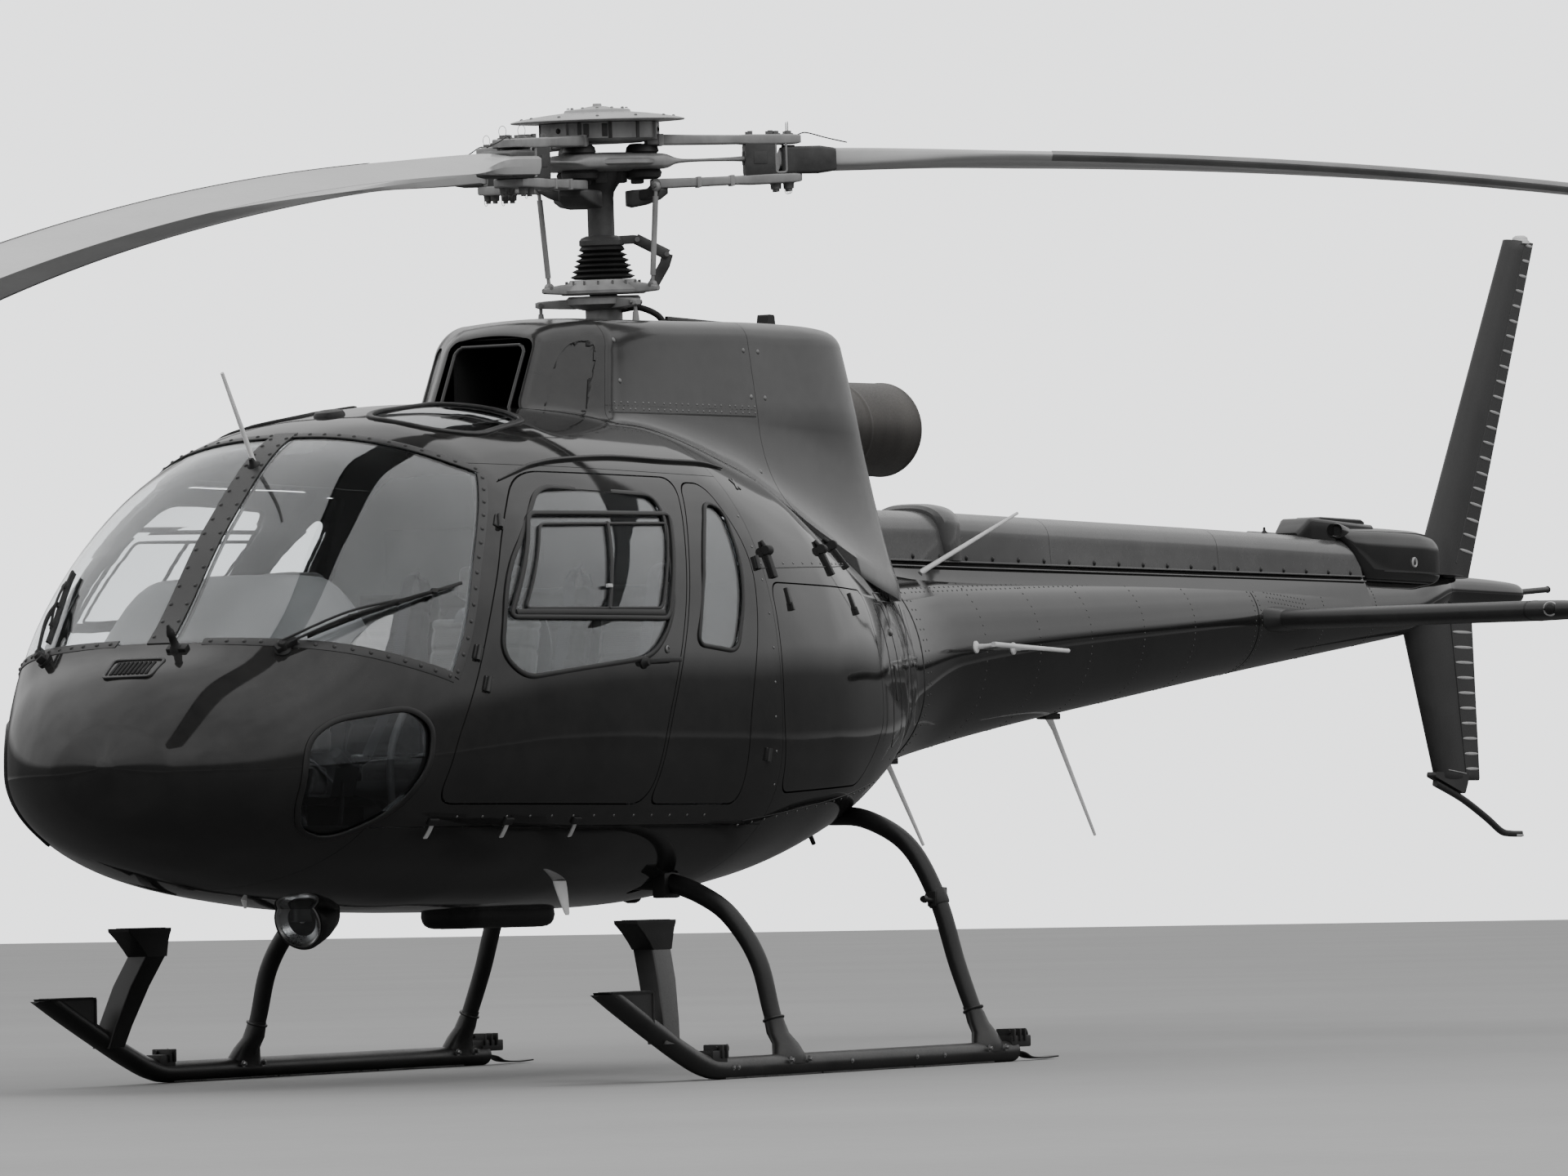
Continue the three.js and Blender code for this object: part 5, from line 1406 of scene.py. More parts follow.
def cover_length(x0, x1, rake0, rake1):
    count = max(3, int((x0 - x1) / 0.08))
    rings = []
    for i in range(count + 1):
        t = i / count
        rings.append(cover_ring(x0 + (x1 - x0) * t, rake=rake0 + (rake1 - rake0) * t))
    return boolean(loft(rings), COVER_BED)


lengths = []
for i in range(len(COVER_SEAMS) - 1):
    x0, x1 = COVER_SEAMS[i] - (0.0016 if i else 0), COVER_SEAMS[i + 1] + 0.0016
    lengths.append(cover_length(x0, x1, COVER_RAKE * 0.4 * (i > 0), COVER_RAKE * 0.4
                                if i < 3 else COVER_RAKE))
hoop_rings = []
for x, extra in ((-2.180, -0.004), (-2.186, 0.010), (-2.200, 0.022), (-2.222, 0.027),
                 (-2.262, 0.028), (-2.300, 0.025),
                 (-2.318, 0.018), (-2.328, 0.006), (-2.331, -0.004)):
    front = max(0.0, 1 - (-2.180 - x) / 0.15)
    hoop_rings.append(cover_ring(x + 0.035 * front, extra, foot=1.800, rake=0.48 * front + 0.02))
hoop = loft(hoop_rings)
rail_path = [Vector((x, float(SHAFT_COVER.at(x)[0][0]) + 0.007, 1.793 + (-1.85 - x) * 0.0075))
             for x in spread(-1.602, -5.90, 40)]
rail_block = sweep(rail_path, 0.010, 0.0035, kind="soft", sides=12)
lower_path = [p + Vector((0, 0.004, -0.020)) for p in rail_path]
rails = [rail_block, sweep(lower_path, 0.013, 0.003, kind="soft", sides=12)]
skirt_rings = []
for p in rail_path:
    spots = [(-0.030, 0.0), (-0.006, -0.002)]
    spots += [(out, (skin_z(p.x, p.y + out) - p.z) * (1 - (1 - (out + 0.006) / 0.056) ** 2))
              for out in (0.004, 0.014, 0.026, 0.038)]
    ring = [(p.x, p.y + out, p.z + drop) for out, drop in spots]
    ring += [(p.x, p.y + out, skin_z(p.x, p.y + out) - 0.004) for out in (0.050, -0.030)]
    skirt_rings.append(ring)
skirt = loft(skirt_rings)
piece("shaft_cover_fillets", merged([skirt, mirrored(skirt)]), GLOSS, angle=50)
rails = merged(rails)
piece("drive_shaft_cover_look", merged(lengths + [hoop]), COVER_PAINT_AND_SHEEN, replaces=["drive_shaft_cover"],
      slot="body_gloss", angle=32)
piece("shaft_cover_seams", boolean(loft([cover_ring(x, -0.004) for x in spread(-1.61, -5.90, 30)]),
                                   COVER_BED), SEAL)
piece("shaft_cover_rails", merged([rails, mirrored(rails)]), COVER_PAINT_AND_SHEEN, angle=40)
screw_spots = []
for k in range(21):
    x = -1.76 - 0.2125 * k
    if x > -5.82:
        y = float(SHAFT_COVER.at(x)[0][0])
        for s in (1, -1):
            screw_spots.append(((x, s * y, 1.809 + (-1.85 - x) * 0.0068), (0, s, 0)))
piece("shaft_cover_screws", domes(screw_spots, 0.0105, 0.006, sides=12), SEAL, angle=40)
fitting = turned([(0, -0.02), (0.016, -0.02), (0.014, 0.002), (0.006, 0.010), (0.005, 0.022), (0, 0.024)],
                 facing((-5.203, 0, 1.985), (0, 0, 1)), 20)
piece("shaft_cover_fitting", fitting, SEAL, angle=40)


# Fan fairing: x, half width, top height
def tapered_box(rows, foot, corner=0.02):
    rings = []
    for x, half, top in rows:
        line = rounded([(half, foot), (half, top), (-half, top), (-half, foot)], corner, 6)
        rings.append([(x, p.x, p.y) for p in line])
    return loft(rings)


fan = tapered_box([(-5.405, 0.050, 1.990), (-5.416, 0.055, 2.000), (-5.492, 0.067, 2.048),
                   (-5.506, 0.069, 2.052),
                   (-6.080, 0.069, 2.040), (-6.130, 0.067, 2.010), (-6.138, 0.060, 1.990)], 1.90, 0.014)
fan_top = tapered_box([(-5.600, 0.050, 2.046), (-5.608, 0.055, 2.054), (-5.622, 0.056, 2.060),
                       (-6.000, 0.056, 2.060),
                       (-6.032, 0.054, 2.052), (-6.040, 0.050, 2.044)], 2.02, 0.006)

# Tail gearbox fairing: x, half width, foot height, top height
GEARBOX_FAIRING = Table([
    (-5.700, 0.094, 1.800, 2.008), (-5.712, 0.100, 1.800, 2.016), (-5.760, 0.105, 1.800, 2.021),
    (-5.900, 0.110, 1.800, 2.026),
    (-6.200, 0.114, 1.800, 2.030), (-6.450, 0.113, 1.800, 2.028), (-6.600, 0.106, 1.800, 2.018),
    (-6.680, 0.092, 1.810, 2.000),
    (-6.725, 0.070, 1.835, 1.972), (-6.745, 0.045, 1.860, 1.945), (-6.750, 0.028, 1.875, 1.930),
])
FAIRING_SLANT = 1.25


def fairing_ring(x):
    half, low, top = [float(c[0]) for c in GEARBOX_FAIRING.at(x)]
    middle = (low + top) / 2
    slant = FAIRING_SLANT * max(0.0, 1 - (-5.70 - x) / 0.55)
    ring = []
    for a in np.linspace(0, 2 * np.pi, 72, endpoint=False):
        c, s = math.cos(a), math.sin(a)
        y = half * math.copysign(abs(c) ** 0.55, c)
        z = middle + (top - low) / 2 * math.copysign(abs(s) ** (0.55 if s > 0 else 0.3), s)
        ring.append((x - slant * (2.02 - z), y, z))
    return ring


fairing = boolean(loft([fairing_ring(x) for x in spread(-5.700, -5.76, 10) + spread(-5.78,
    -6.60, 36) + spread(-6.61, -6.75, 16)]), COVER_BED)
piece("tail_gearbox_fairing_look", merged([fairing, fan, fan_top]), GLOSS, replaces=["tail_gearbox_fairing"],
      slot="body_gloss", angle=34)
tube_place = facing((-5.706, 0.080, 2.006), (0.97, 0.18, 0.05))
vent = turned([(0.0, -0.17), (0.026, -0.17), (0.030, 0.0), (0.027, 0.006), (0.022, 0.004),
               (0.021, -0.05), (0, -0.05)],
              tube_place, 32)
piece("gearbox_vent", vent, COWL_PAINT, angle=40)
piece("gearbox_vent_bore", turned([(0, -0.012), (0.0215, -0.012), (0.0215, -0.004), (0, -0.004)],
                                  tube_place, 24), DARK_GAP)
lamp_place = facing((-6.381, 0.116, 1.892), (0, 1, 0))
piece("fairing_lamp_ring", turned([(0.010, -0.01), (0.0215, -0.01), (0.0215, 0.002),
                                   (0.019, 0.005), (0.013, 0.002), (0.010, -0.002)],
                                  lamp_place, 32), PALE, angle=40)
piece("fairing_lamp", turned([(0, -0.006), (0.0135, -0.006), (0.0135, 0.001), (0.009, 0.003), (0, 0.004)],
                             lamp_place, 32), SEAL)
base_line = [(-6.06, 0.112), (-6.76, 0.124), (-6.985, 0.070), (-6.985, -0.070), (-6.76, -0.124),
             (-6.06, -0.112)]
base_plate = plan_prism(rounded(base_line, 0.05, 6), 1.848, 1.853)
piece("fairing_base_plate", base_plate, SATIN_HIGH, angle=40)

# Fins: front and back edges at foot and top, [x, z]; the aft strip carries beads whose pale colour is a
# painted highlight
FIN_PROFILE = [(0, 0), (0.006, 0.22), (0.02, 0.42), (0.05, 0.62), (0.12, 0.85), (0.22, 0.97),
               (0.35, 1), (0.5, 0.88), (0.7, 0.6), (0.88, 0.3), (1, 0.10)]


def fin_ring(lead, trail, thick):
    chord = trail - lead
    port = [(lead.x + chord.x * u, w * thick / 2, lead.y + chord.y * u) for u, w in FIN_PROFILE]
    return port + [(x, -y, z) for x, y, z in port[:0:-1]]


def fin_body(lead_low, lead_high, trail_high, trail_low, thick, tips):
    """A fin; tips are (place along the span, chord shrink, thickness shrink) rows near its free end."""
    rings = []
    for t, shrink, thin in [(k / 24, 0.0, 1.0) for k in range(24)] + tips:
        lead = Vector(lead_low).lerp(Vector(lead_high), t)
        trail = Vector(trail_low).lerp(Vector(trail_high), t)
        along = trail - lead
        rings.append(fin_ring(lead + along * shrink, trail - along * shrink * 0.6,
                              thick * (1 - 0.3 * t) * thin))
    return loft(rings)


FIN_LAMP_Z = 3.2975
UPPER_FIN_THICK = 0.074
LOWER_FIN_THICK = 0.070
FIN_TIPS = [(0.985, 0.0, 1.0), (0.994, 0.012, 0.85), (0.998, 0.03, 0.6), (1.0, 0.06, 0.3)]
UPPER_FIN = [(-6.640, 1.840), (-7.640, 3.318), (-7.930, 3.318), (-7.140, 1.800)]
LOWER_FIN = [(-6.480, 1.700), (-6.800, 1.000), (-7.240, 1.000), (-7.190, 1.700)]
upper_fin = boolean(fin_body(*UPPER_FIN, UPPER_FIN_THICK, FIN_TIPS),
                    block(-8.4, -7.2, -0.2, 0.2, FIN_LAMP_Z, 3.5))
lower_fin = fin_body(*LOWER_FIN, LOWER_FIN_THICK, FIN_TIPS)
FIN_CAP = [(-6.760, 1.036), (-6.752, 1.016), (-7.050, 0.944), (-7.080, 0.990), (-7.096, 1.032)]
lower_fin = merged([lower_fin, side_prism(rounded(FIN_CAP, 0.012, 4), -0.021, 0.021)])


def fin_width(at):
    """The fin's half thickness at a share of its chord, as a share of its greatest."""
    return float(np.interp(at, [p[0] for p in FIN_PROFILE], [p[1] for p in FIN_PROFILE]))


def beads(fin, first, last, count, thick, start, stop):
    """Thin raised beads across the aft strip on both faces."""
    lead_low, lead_high, trail_high, trail_low = [Vector(p) for p in fin]
    made = []
    for k in range(count):
        t = first + (last - first) * k / (count - 1)
        lead, trail = lead_low.lerp(lead_high, t), trail_low.lerp(trail_high, t)
        along = trail - lead
        for s in (1, -1):
            path = []
            for u in spread(start, stop, 8):
                w = fin_width(u)
                at = lead + along * u
                path.append((at.x, s * (w * thick * (1 - 0.3 * t) / 2 + 0.0012), at.y))
            made.append(sweep(path, 0.0065, 0.0032, normals=[(0, s, 0)] * 9, sides=10,
                              taper=lambda q: 0.35 + 1.3 * math.sin(math.pi * q) ** 0.5 * 0.5))
    return merged(made)


def strip(fin, thick, first, last, at):
    """The line where the aft strip starts."""
    lead_low, lead_high, trail_high, trail_low = [Vector(p) for p in fin]
    made = []
    w = fin_width(at)
    for s in (1, -1):
        path = []
        for t in spread(first, last, 12):
            lead, trail = lead_low.lerp(lead_high, t), trail_low.lerp(trail_high, t)
            p = lead + (trail - lead) * at
            path.append((p.x, s * (w * thick * (1 - 0.3 * t) / 2 + 0.0006), p.y))
        made.append(sweep(path, 0.004, 0.0015, normals=[(0, s, 0)] * 13, sides=8))
    return merged(made)


piece("upper_fin_look", upper_fin, SATIN_HIGH, replaces=["upper_fin"], slot="satin_fins", angle=40)
piece("lower_fin_look", lower_fin, SATIN_HIGH, replaces=["lower_fin"], slot="satin_fins", angle=40)
# The beads are satin black like the fins; their pale colour is a painted highlight along their tops
piece("upper_fin_beads", beads(UPPER_FIN, 0.10, 0.975, 21, UPPER_FIN_THICK, 0.615, 0.985), PALE, angle=50)
piece("lower_fin_beads", beads(LOWER_FIN, 0.115, 0.93, 10, LOWER_FIN_THICK, 0.635, 0.975), PALE, angle=50)
strips = [strip(UPPER_FIN, UPPER_FIN_THICK, 0.06, 0.985, 0.60),
          strip(LOWER_FIN, LOWER_FIN_THICK, 0.02, 0.95, 0.62)]
piece("fin_strip_edges", merged(strips), SATIN_HIGH, angle=50)
cap_lines = [sweep([(-6.815, s * 0.012, 1.052), (-6.90, s * 0.0265, 1.042), (-7.00, s * 0.0255, 1.034),
                    (-7.10, s * 0.0165, 1.026)], 0.0018, sides=8)
             for s in (1, -1)]
piece("lower_fin_cap_line", merged(cap_lines), PALE, angle=50)
beacon = turned([(0, -0.010), (0.040, -0.010), (0.040, 0.002), (0.034, 0.004), (0.032, 0.016),
                 (0.020, 0.0245), (0, 0.0255)],
                Matrix.Translation((-7.785, 0, FIN_LAMP_Z)), 36)
piece("fin_beacon", beacon, WHITE, angle=40)

SKID_BAR = [(-6.790, 0.990), (-7.060, 0.924), (-7.300, 0.845), (-7.450, 0.788), (-7.540, 0.777),
            (-7.655, 0.775)]
bar_path = smooth_path([(x, 0, z) for x, z in SKID_BAR], 60)
tail_skid = sweep(bar_path, 0.0115, 0.0135, kind="soft", sides=20)
piece("tail_skid_look", tail_skid, SATIN, replaces=["tail_skid"], slot="satin_black", angle=50)
piece("tail_skid_pad", soft_block(-7.662, -7.590, -0.0125, 0.0125, 0.764, 0.774, 0.003), PALE)

# Stabiliser: section as (place along the chord, half thickness), with rounded tips, cuffs and lamps
STABILISER_LEAD_X = -4.830
STABILISER_CHORD = 0.420
STABILISER_Z = 1.630
STABILISER_THICK = 0.066
WING_PROFILE = [(0, 0), (0.008, 0.19), (0.03, 0.35), (0.07, 0.46), (0.15, 0.55), (0.27, 0.6),
                (0.4, 0.6), (0.6, 0.49), (0.8, 0.27), (1, 0.06)]


def wing_ring(y, lead=0.0, trail=0.0, thin=1.0, extra=0.0):
    chord = STABILISER_CHORD - lead - trail + 2 * extra
    upper = [(STABILISER_LEAD_X - lead + extra - chord * u, y,
              STABILISER_Z + w * STABILISER_THICK * thin + (extra if w else 0))
             for u, w in WING_PROFILE]
    lower = [(x, y, 2 * STABILISER_Z - z) for x, y, z in upper[:0:-1]]
    return upper + lower


TIP_RINGS = [(1.300, 0.0, 0.0, 1.0), (1.400, 0.005, 0.0, 0.94), (1.480, 0.018, 0.004, 0.82),
             (1.520, 0.040, 0.012, 0.66),
             (1.540, 0.070, 0.030, 0.45), (1.5490, 0.110, 0.060, 0.2)]
half_rings = [wing_ring(y, lead, trail, thin) for y, lead, trail, thin in TIP_RINGS]
left = [wing_ring(-y, lead, trail, thin) for y, lead, trail, thin in TIP_RINGS[::-1]]
wing = loft(left + [wing_ring(y) for y in spread(-1.27, 1.27, 20)] + half_rings)
piece("stabiliser_look", wing, SATIN_HIGH, replaces=["stabiliser"], slot="satin_fins", angle=40)
lines, cuffs, lamps, rims = [], [], [], []
for s in (1, -1):
    band = [wing_ring(s * y, extra=e) for y, e in ((1.278, -0.002), (1.279, 0.0010),
                                                   (1.285, 0.0010), (1.286, -0.002))]
    lines.append(loft(band))
    root = skin_y(-5.0, STABILISER_Z)
    cuff = [wing_ring(s * y, lead=lead, extra=e) for y, lead, e in
            ((root - 0.03, -0.060, 0.011), (root + 0.004, -0.058, 0.011), (root + 0.016, -0.040, 0.008),
             (root + 0.040, -0.012, 0.003),
             (root + 0.055, 0.0, 0.0005))]
    cuffs.append(loft(cuff))
    place = facing((-4.846, s * 1.387, STABILISER_Z + 0.002), (0.96, s * 0.25, 0.02))
    lamps.append(turned([(0, -0.03), (0.023, -0.03), (0.023, 0.008), (0.018, 0.018),
                         (0.008, 0.022), (0, 0.022)], place, 32))
    rims.append(turned([(0.022, -0.03), (0.029, -0.03), (0.029, 0.002), (0.026, 0.006), (0.022, 0.004)],
                       place, 32))
piece("stabiliser_tip_lines", merged(lines), SEAL, angle=40)
piece("stabiliser_cuffs", merged(cuffs), SATIN_HIGH, angle=40)
piece("stabiliser_lamps", merged(lamps), SEAL, angle=40)
piece("stabiliser_lamp_rims", merged(rims), PALE, angle=40)


# Main rotor: star, sleeves, clamps, blades, hat, mast, bellows, swashplates and links
def turn_about(azimuth):
    """A turn about the rotor's own axis. The rotor is laid out round it, with the star's middle at zero."""
    return Matrix.Rotation(math.radians(azimuth), 4, "Z")


AZIMUTHS = [REST_AZIMUTH + 120 * k for k in range(3)]

# Star: radius, half width, height above and below the middle
STAR_ARM = Table([
    (0.530, 0.044, 0.014, 0.014), (0.505, 0.045, 0.010, 0.010), (0.440, 0.046, 0.0065, 0.0065),
    (0.340, 0.050, 0.0050, 0.0050),
    (0.285, 0.056, 0.0065, 0.0070), (0.262, 0.062, 0.0110, 0.0110), (0.235, 0.078, 0.0230, 0.0230),
    (0.215, 0.096, 0.0270, 0.0255), (0.140, 0.130, 0.0300, 0.0260), (0.060, 0.150, 0.0320, 0.0260),
    (0.020, 0.150, 0.0320, 0.0260),
])
arm_rings = []
for x in spread(0.03, 0.285, 26) + spread(0.29, 0.528, 20):
    wide, up, down = [float(c[0]) for c in STAR_ARM.at(x)]
    line = [(a * wide, b * (up if b > 0 else down)) for a, b in section("soft", 28)]
    arm_rings.append([(x, y, z) for y, z in line])
star_arm = loft(arm_rings)
star_core = turned([(0, -0.030), (0.110, -0.030), (0.128, -0.024), (0.150, -0.014),
                    (0.150, 0.018), (0.130, 0.030), (0.115, 0.034), (0, 0.034)], sides=60)
star_web = turned([(0, -0.012), (0.205, -0.012), (0.215, -0.006), (0.215, 0.006), (0.205, 0.012), (0, 0.012)],
                  sides=72)


def plate(rows, lean, corner=0.006):
    """A sleeve plate from (radius, half width, bottom, top) rows; lean lowers it outwards."""
    rings = []
    for x, half, low, high in rows:
        drop = lean * (x - 0.17)
        line = rounded([(-half, low - drop), (half, low - drop), (half, high - drop), (-half, high - drop)],
                       corner, 3)
        rings.append([(x, p.x, p.y) for p in line])
    return loft(rings)


TOP_PLATE = [
    (0.160, 0.030, 0.058, 0.090), (0.166, 0.046, 0.057, 0.092), (0.185, 0.056, 0.057, 0.093),
    (0.330, 0.060, 0.058, 0.091),
    (0.480, 0.064, 0.060, 0.090), (0.520, 0.068, 0.058, 0.092), (0.600, 0.071, 0.058, 0.092),
    (0.668, 0.068, 0.060, 0.092),
    (0.690, 0.056, 0.062, 0.091), (0.697, 0.036, 0.064, 0.089),
]
BOTTOM_PLATE = [
    (0.175, 0.030, -0.092, -0.062), (0.182, 0.045, -0.094, -0.061), (0.210, 0.052, -0.094, -0.061),
    (0.330, 0.056, -0.094, -0.063),
    (0.480, 0.062, -0.093, -0.064), (0.520, 0.067, -0.096, -0.063), (0.600, 0.070, -0.096, -0.063),
    (0.668, 0.067, -0.095, -0.064),
    (0.690, 0.055, -0.093, -0.066), (0.697, 0.036, -0.090, -0.068),
]
PLATE_LEAN = 0.028


def sleeve_parts():
    """One blade's sleeve: two plates, clamp block, spherical bearing, horn and small hardware."""
    plates = [plate(TOP_PLATE, PLATE_LEAN), plate(BOTTOM_PLATE, -PLATE_LEAN * 0.6)]
    dark = [soft_block(0.500, 0.610, -0.068, 0.068, -0.060, 0.055, 0.012)]
    dark.append(soft_block(0.496, 0.505, -0.030, 0.030, -0.022, 0.026, 0.004))
    dark.append(soft_block(0.530, 0.576, -0.0705, 0.0705, -0.020, 0.022, 0.003))
    dark.append(turned([(0, -0.060), (0.050, -0.060), (0.062, -0.052), (0.066, -0.036),
                        (0.060, -0.026), (0, -0.026)],
                       Matrix.Translation((0.150, 0, 0)), 40))
    dark.append(turned([(0, 0.028), (0.050, 0.028), (0.058, 0.036), (0.054, 0.052),
                        (0.044, 0.062), (0, 0.062)],
                       Matrix.Translation((0.150, 0, 0)), 40))
    frames = []
    for s in (1, -1):
        loop = rounded([(0.606, -0.052), (0.642, -0.052), (0.642, 0.050), (0.606, 0.050)], 0.010, 5)
        frames.append(sweep([(p.x, s * 0.060, p.y) for p in loop], 0.0045, 0.008,
                            normals=[(0, s, 0)] * len(loop), closed=True, sides=12))
    posts = [soft_block(0.108, 0.152, -0.024, 0.024, -0.075, 0.064, 0.008)]
    horn = [plate([(0.090, 0.050, -0.150, -0.098), (0.110, 0.062, -0.156, -0.096),
                   (0.160, 0.066, -0.148, -0.094),
                   (0.205, 0.058, -0.132, -0.092), (0.232, 0.040, -0.112, -0.090)], 0.0, 0.010)]
    horn_path = smooth_path([(0.150, -0.050, -0.115), (0.172, -0.090, -0.108), (0.182, -0.124, -0.092),
                             (0.1836, -0.150, -0.078)], 20)
    horn.append(sweep(horn_path, 0.020, 0.016, kind="soft", sides=16, taper=lambda t: 1.25 - 0.45 * t))
    bands = []
    for x in (0.340, 0.455):
        drop = PLATE_LEAN * 0.6 * (x - 0.17)
        bands.append(soft_block(x - 0.007, x + 0.007, -0.064, 0.064, -0.097 + drop, -0.060 + drop, 0.002))
    drop = PLATE_LEAN * (0.225 - 0.17)
    bands.append(soft_block(0.205, 0.222, -0.061, 0.061, 0.055 - drop, 0.095 - drop, 0.002))
    bolts, rings = [], []
    for y in (-0.036, 0.036):
        for x in (0.652, 0.608):
            top = 0.091 - PLATE_LEAN * (x - 0.17)
            low = -0.095 + PLATE_LEAN * 0.6 * (x - 0.17)
            bolts.append(turned([(0, top), (0.019, top), (0.019, top + 0.004), (0.012, top + 0.006),
                                 (0.012, top + 0.013), (0, top + 0.014)],
                                Matrix.Translation((x, y, 0)), 20))
            bolts.append(turned([(0, low - 0.030), (0.009, low - 0.030), (0.009, low - 0.022),
                                 (0.015, low - 0.020), (0.016, low - 0.004),
                                 (0.019, low), (0, low)], Matrix.Translation((x, y, 0)), 16))
            if x > 0.63:
                loop = [(x, y + 0.014 * math.cos(a), top + 0.026 + 0.019 * math.sin(a))
                        for a in np.linspace(0, 2 * math.pi, 24, endpoint=False)]
                rings.append(sweep(loop, 0.0011, normals=[(1, 0, 0)] * 24, closed=True, sides=6))
                loop = [(x + 0.010 * math.cos(a), y + 0.010, low - 0.026 + 0.012 * math.sin(a))
                        for a in np.linspace(0, 2 * math.pi, 24, endpoint=False)]
                rings.append(sweep(loop, 0.0010, normals=[(0, 1, 0)] * 24, closed=True, sides=6))
    for x in (0.520, 0.590):
        for y in (-0.050, 0.050):
            bolts.append(turned([(0, 0.054), (0.009, 0.054), (0.009, 0.090), (0, 0.090)],
                                Matrix.Translation((x, y, 0.004)), 12))
    lead = smooth_path([(0.690, 0.010, 0.078), (0.720, 0.018, 0.084), (0.790, 0.016, 0.064),
                        (0.860, 0.010, 0.046)], 30)
    wire = sweep(lead, 0.0022, sides=8)
    return plates, dark, frames, posts, horn, bands, bolts, rings, wire


PROFILE = [(0, 0), (0.004, 0.17), (0.015, 0.36), (0.04, 0.6), (0.09, 0.82), (0.17, 0.96),
           (0.27, 1), (0.4, 0.95), (0.55, 0.78),
           (0.72, 0.5), (0.88, 0.23), (0.97, 0.08), (1, 0.03)]
BLADE_ROOT = 0.622
BLADE_CHORD = 0.350
BLADE_THICK = 0.11
ROOT_CHORD = 0.130
ROOT_THICK = 0.066
ROOT_PITCH = 9
BLADE_TWIST = 12
PITCH_AXIS = 0.28


def blade_drop(radius):
    return BLADE_DROOP * (radius / ROTOR_RADIUS) ** DROOP_POWER


def blade_point(radius, along, up):
    """A point from its place along and above the chord, with the blade's twist and droop."""
    t = (radius - BLADE_ROOT) / (ROTOR_RADIUS - BLADE_ROOT)
    pitch = math.radians(ROOT_PITCH - BLADE_TWIST * t)
    y = along * math.cos(pitch) + up * math.sin(pitch)
    return (radius, y, up * math.cos(pitch) - along * math.sin(pitch) - blade_drop(radius))


def blade_ring(radius, scale=1.0):
    """A blade's section: boxy at the root and an aerofoil outboard."""
    full = min(1.0, max(0.0, (radius - 0.78) / 0.72))
    full = full * full * (3 - 2 * full)
    chord = (ROOT_CHORD + (BLADE_CHORD - ROOT_CHORD) * full) * scale
    thick = (ROOT_THICK + (BLADE_CHORD * BLADE_THICK - ROOT_THICK) * full) * scale
    upper = []
    for u, w in PROFILE:
        boxy = (1 - abs(2 * u - 1) ** 8) ** 0.25
        upper.append((u, (w * full + boxy * (1 - full)) / 2))
    lower = [(u, -w) for u, w in upper[:0:-1]]
    return [blade_point(radius, (u - PITCH_AXIS) * chord, w * thick) for u, w in upper + lower]


BLADE_STATIONS = spread(BLADE_ROOT, 1.5, 44) + spread(1.5, 5.28, 90)[1:] + [5.31, 5.330, 5.340, 5.3445]
blade_rings = []
for radius in BLADE_STATIONS:
    beyond = max(0.0, (radius - 5.28) / (ROTOR_RADIUS - 5.28))
    blade_rings.append(blade_ring(radius, scale=math.sqrt(max(0.05, 1 - beyond ** 2 * 0.8))
                                  if beyond else 1.0))
blade_mesh = loft(blade_rings)
blade_room = merged([block(0.5, 0.73, -0.2, 0.2, 0.0400, 0.3), block(0.5, 0.73, -0.2, 0.2, -0.3, -0.0560)])
blade_mesh = boolean(blade_mesh, blade_room)


def blade_guard(first, last):
    """The metal strip along a blade's leading edge."""
    rings = []
    for radius in spread(first, last, 60):
        outer, inner = [[(u, w / 2, lift) for u, w in PROFILE if u <= 0.09] for lift in (0.0009, -0.002)]
        under = [(u, -w, lift) for u, w, lift in outer[1:] + inner[:0:-1]]
        ring = []
        for u, w, lift in outer[::-1] + under + inner:
            along = (u - PITCH_AXIS) * BLADE_CHORD - (lift if u < 0.02 else 0)
            up = w * BLADE_CHORD * BLADE_THICK + (math.copysign(lift, w) if w else 0)
            ring.append(blade_point(radius, along, up))
        rings.append(ring)
    return loft(rings)


guard = blade_guard(1.56, 5.27)
cuff_rings = []
for x, half, low, high in ((0.628, 0.058, -0.052, 0.036), (0.634, 0.064, -0.055, 0.038),
                           (0.760, 0.066, -0.056, 0.038),
                           (0.806, 0.070, -0.050, 0.030), (0.815, 0.066, -0.046, 0.026)):
    drop = blade_drop(x)
    line = rounded([(-half + 0.028, low), (half + 0.028, low), (half + 0.028, high), (-half + 0.028, high)],
                   0.010, 4)
    cuff_rings.append([(x, p.x - 0.02, p.y - drop * 0.2) for p in line])
root_cuff = loft(cuff_rings)
root_bushes = []
for y in (-0.030, 0.046):
    root_bushes.append(turned([(0, -0.060), (0.020, -0.060), (0.020, 0.042), (0, 0.042)],
                              Matrix.Translation((0.655, y, 0)), 24))

# Hat: a thin dome with a cap, over a drum with pale panels
dome = turned([(0, 0.1362), (0.140, 0.1362), (0.270, 0.1400), (0.297, 0.1415), (0.3015, 0.1440),
               (0.299, 0.1470), (0.280, 0.1520),
               (0.230, 0.1610), (0.170, 0.1690), (0.116, 0.1745), (0.113, 0.1820), (0.108, 0.1845),
               (0.060, 0.1885), (0.032, 0.1950),
               (0.016, 0.1970), (0.015, 0.2040), (0.013, 0.2055), (0, 0.2060)], sides=96)
drum = turned([(0, 0.068), (0.150, 0.068), (0.190, 0.076), (0.2035, 0.082), (0.2035, 0.1360), (0, 0.1360)],
              sides=96)
ribs, pale_panels, hat_bolts = [], [], []
for k in range(12):
    a = turn_about(30 * k + 12)
    rib = soft_block(0.200, 0.2065, -0.0065, 0.0065, 0.080, 0.136, 0.002)
    ribs.append(moved(rib, a))
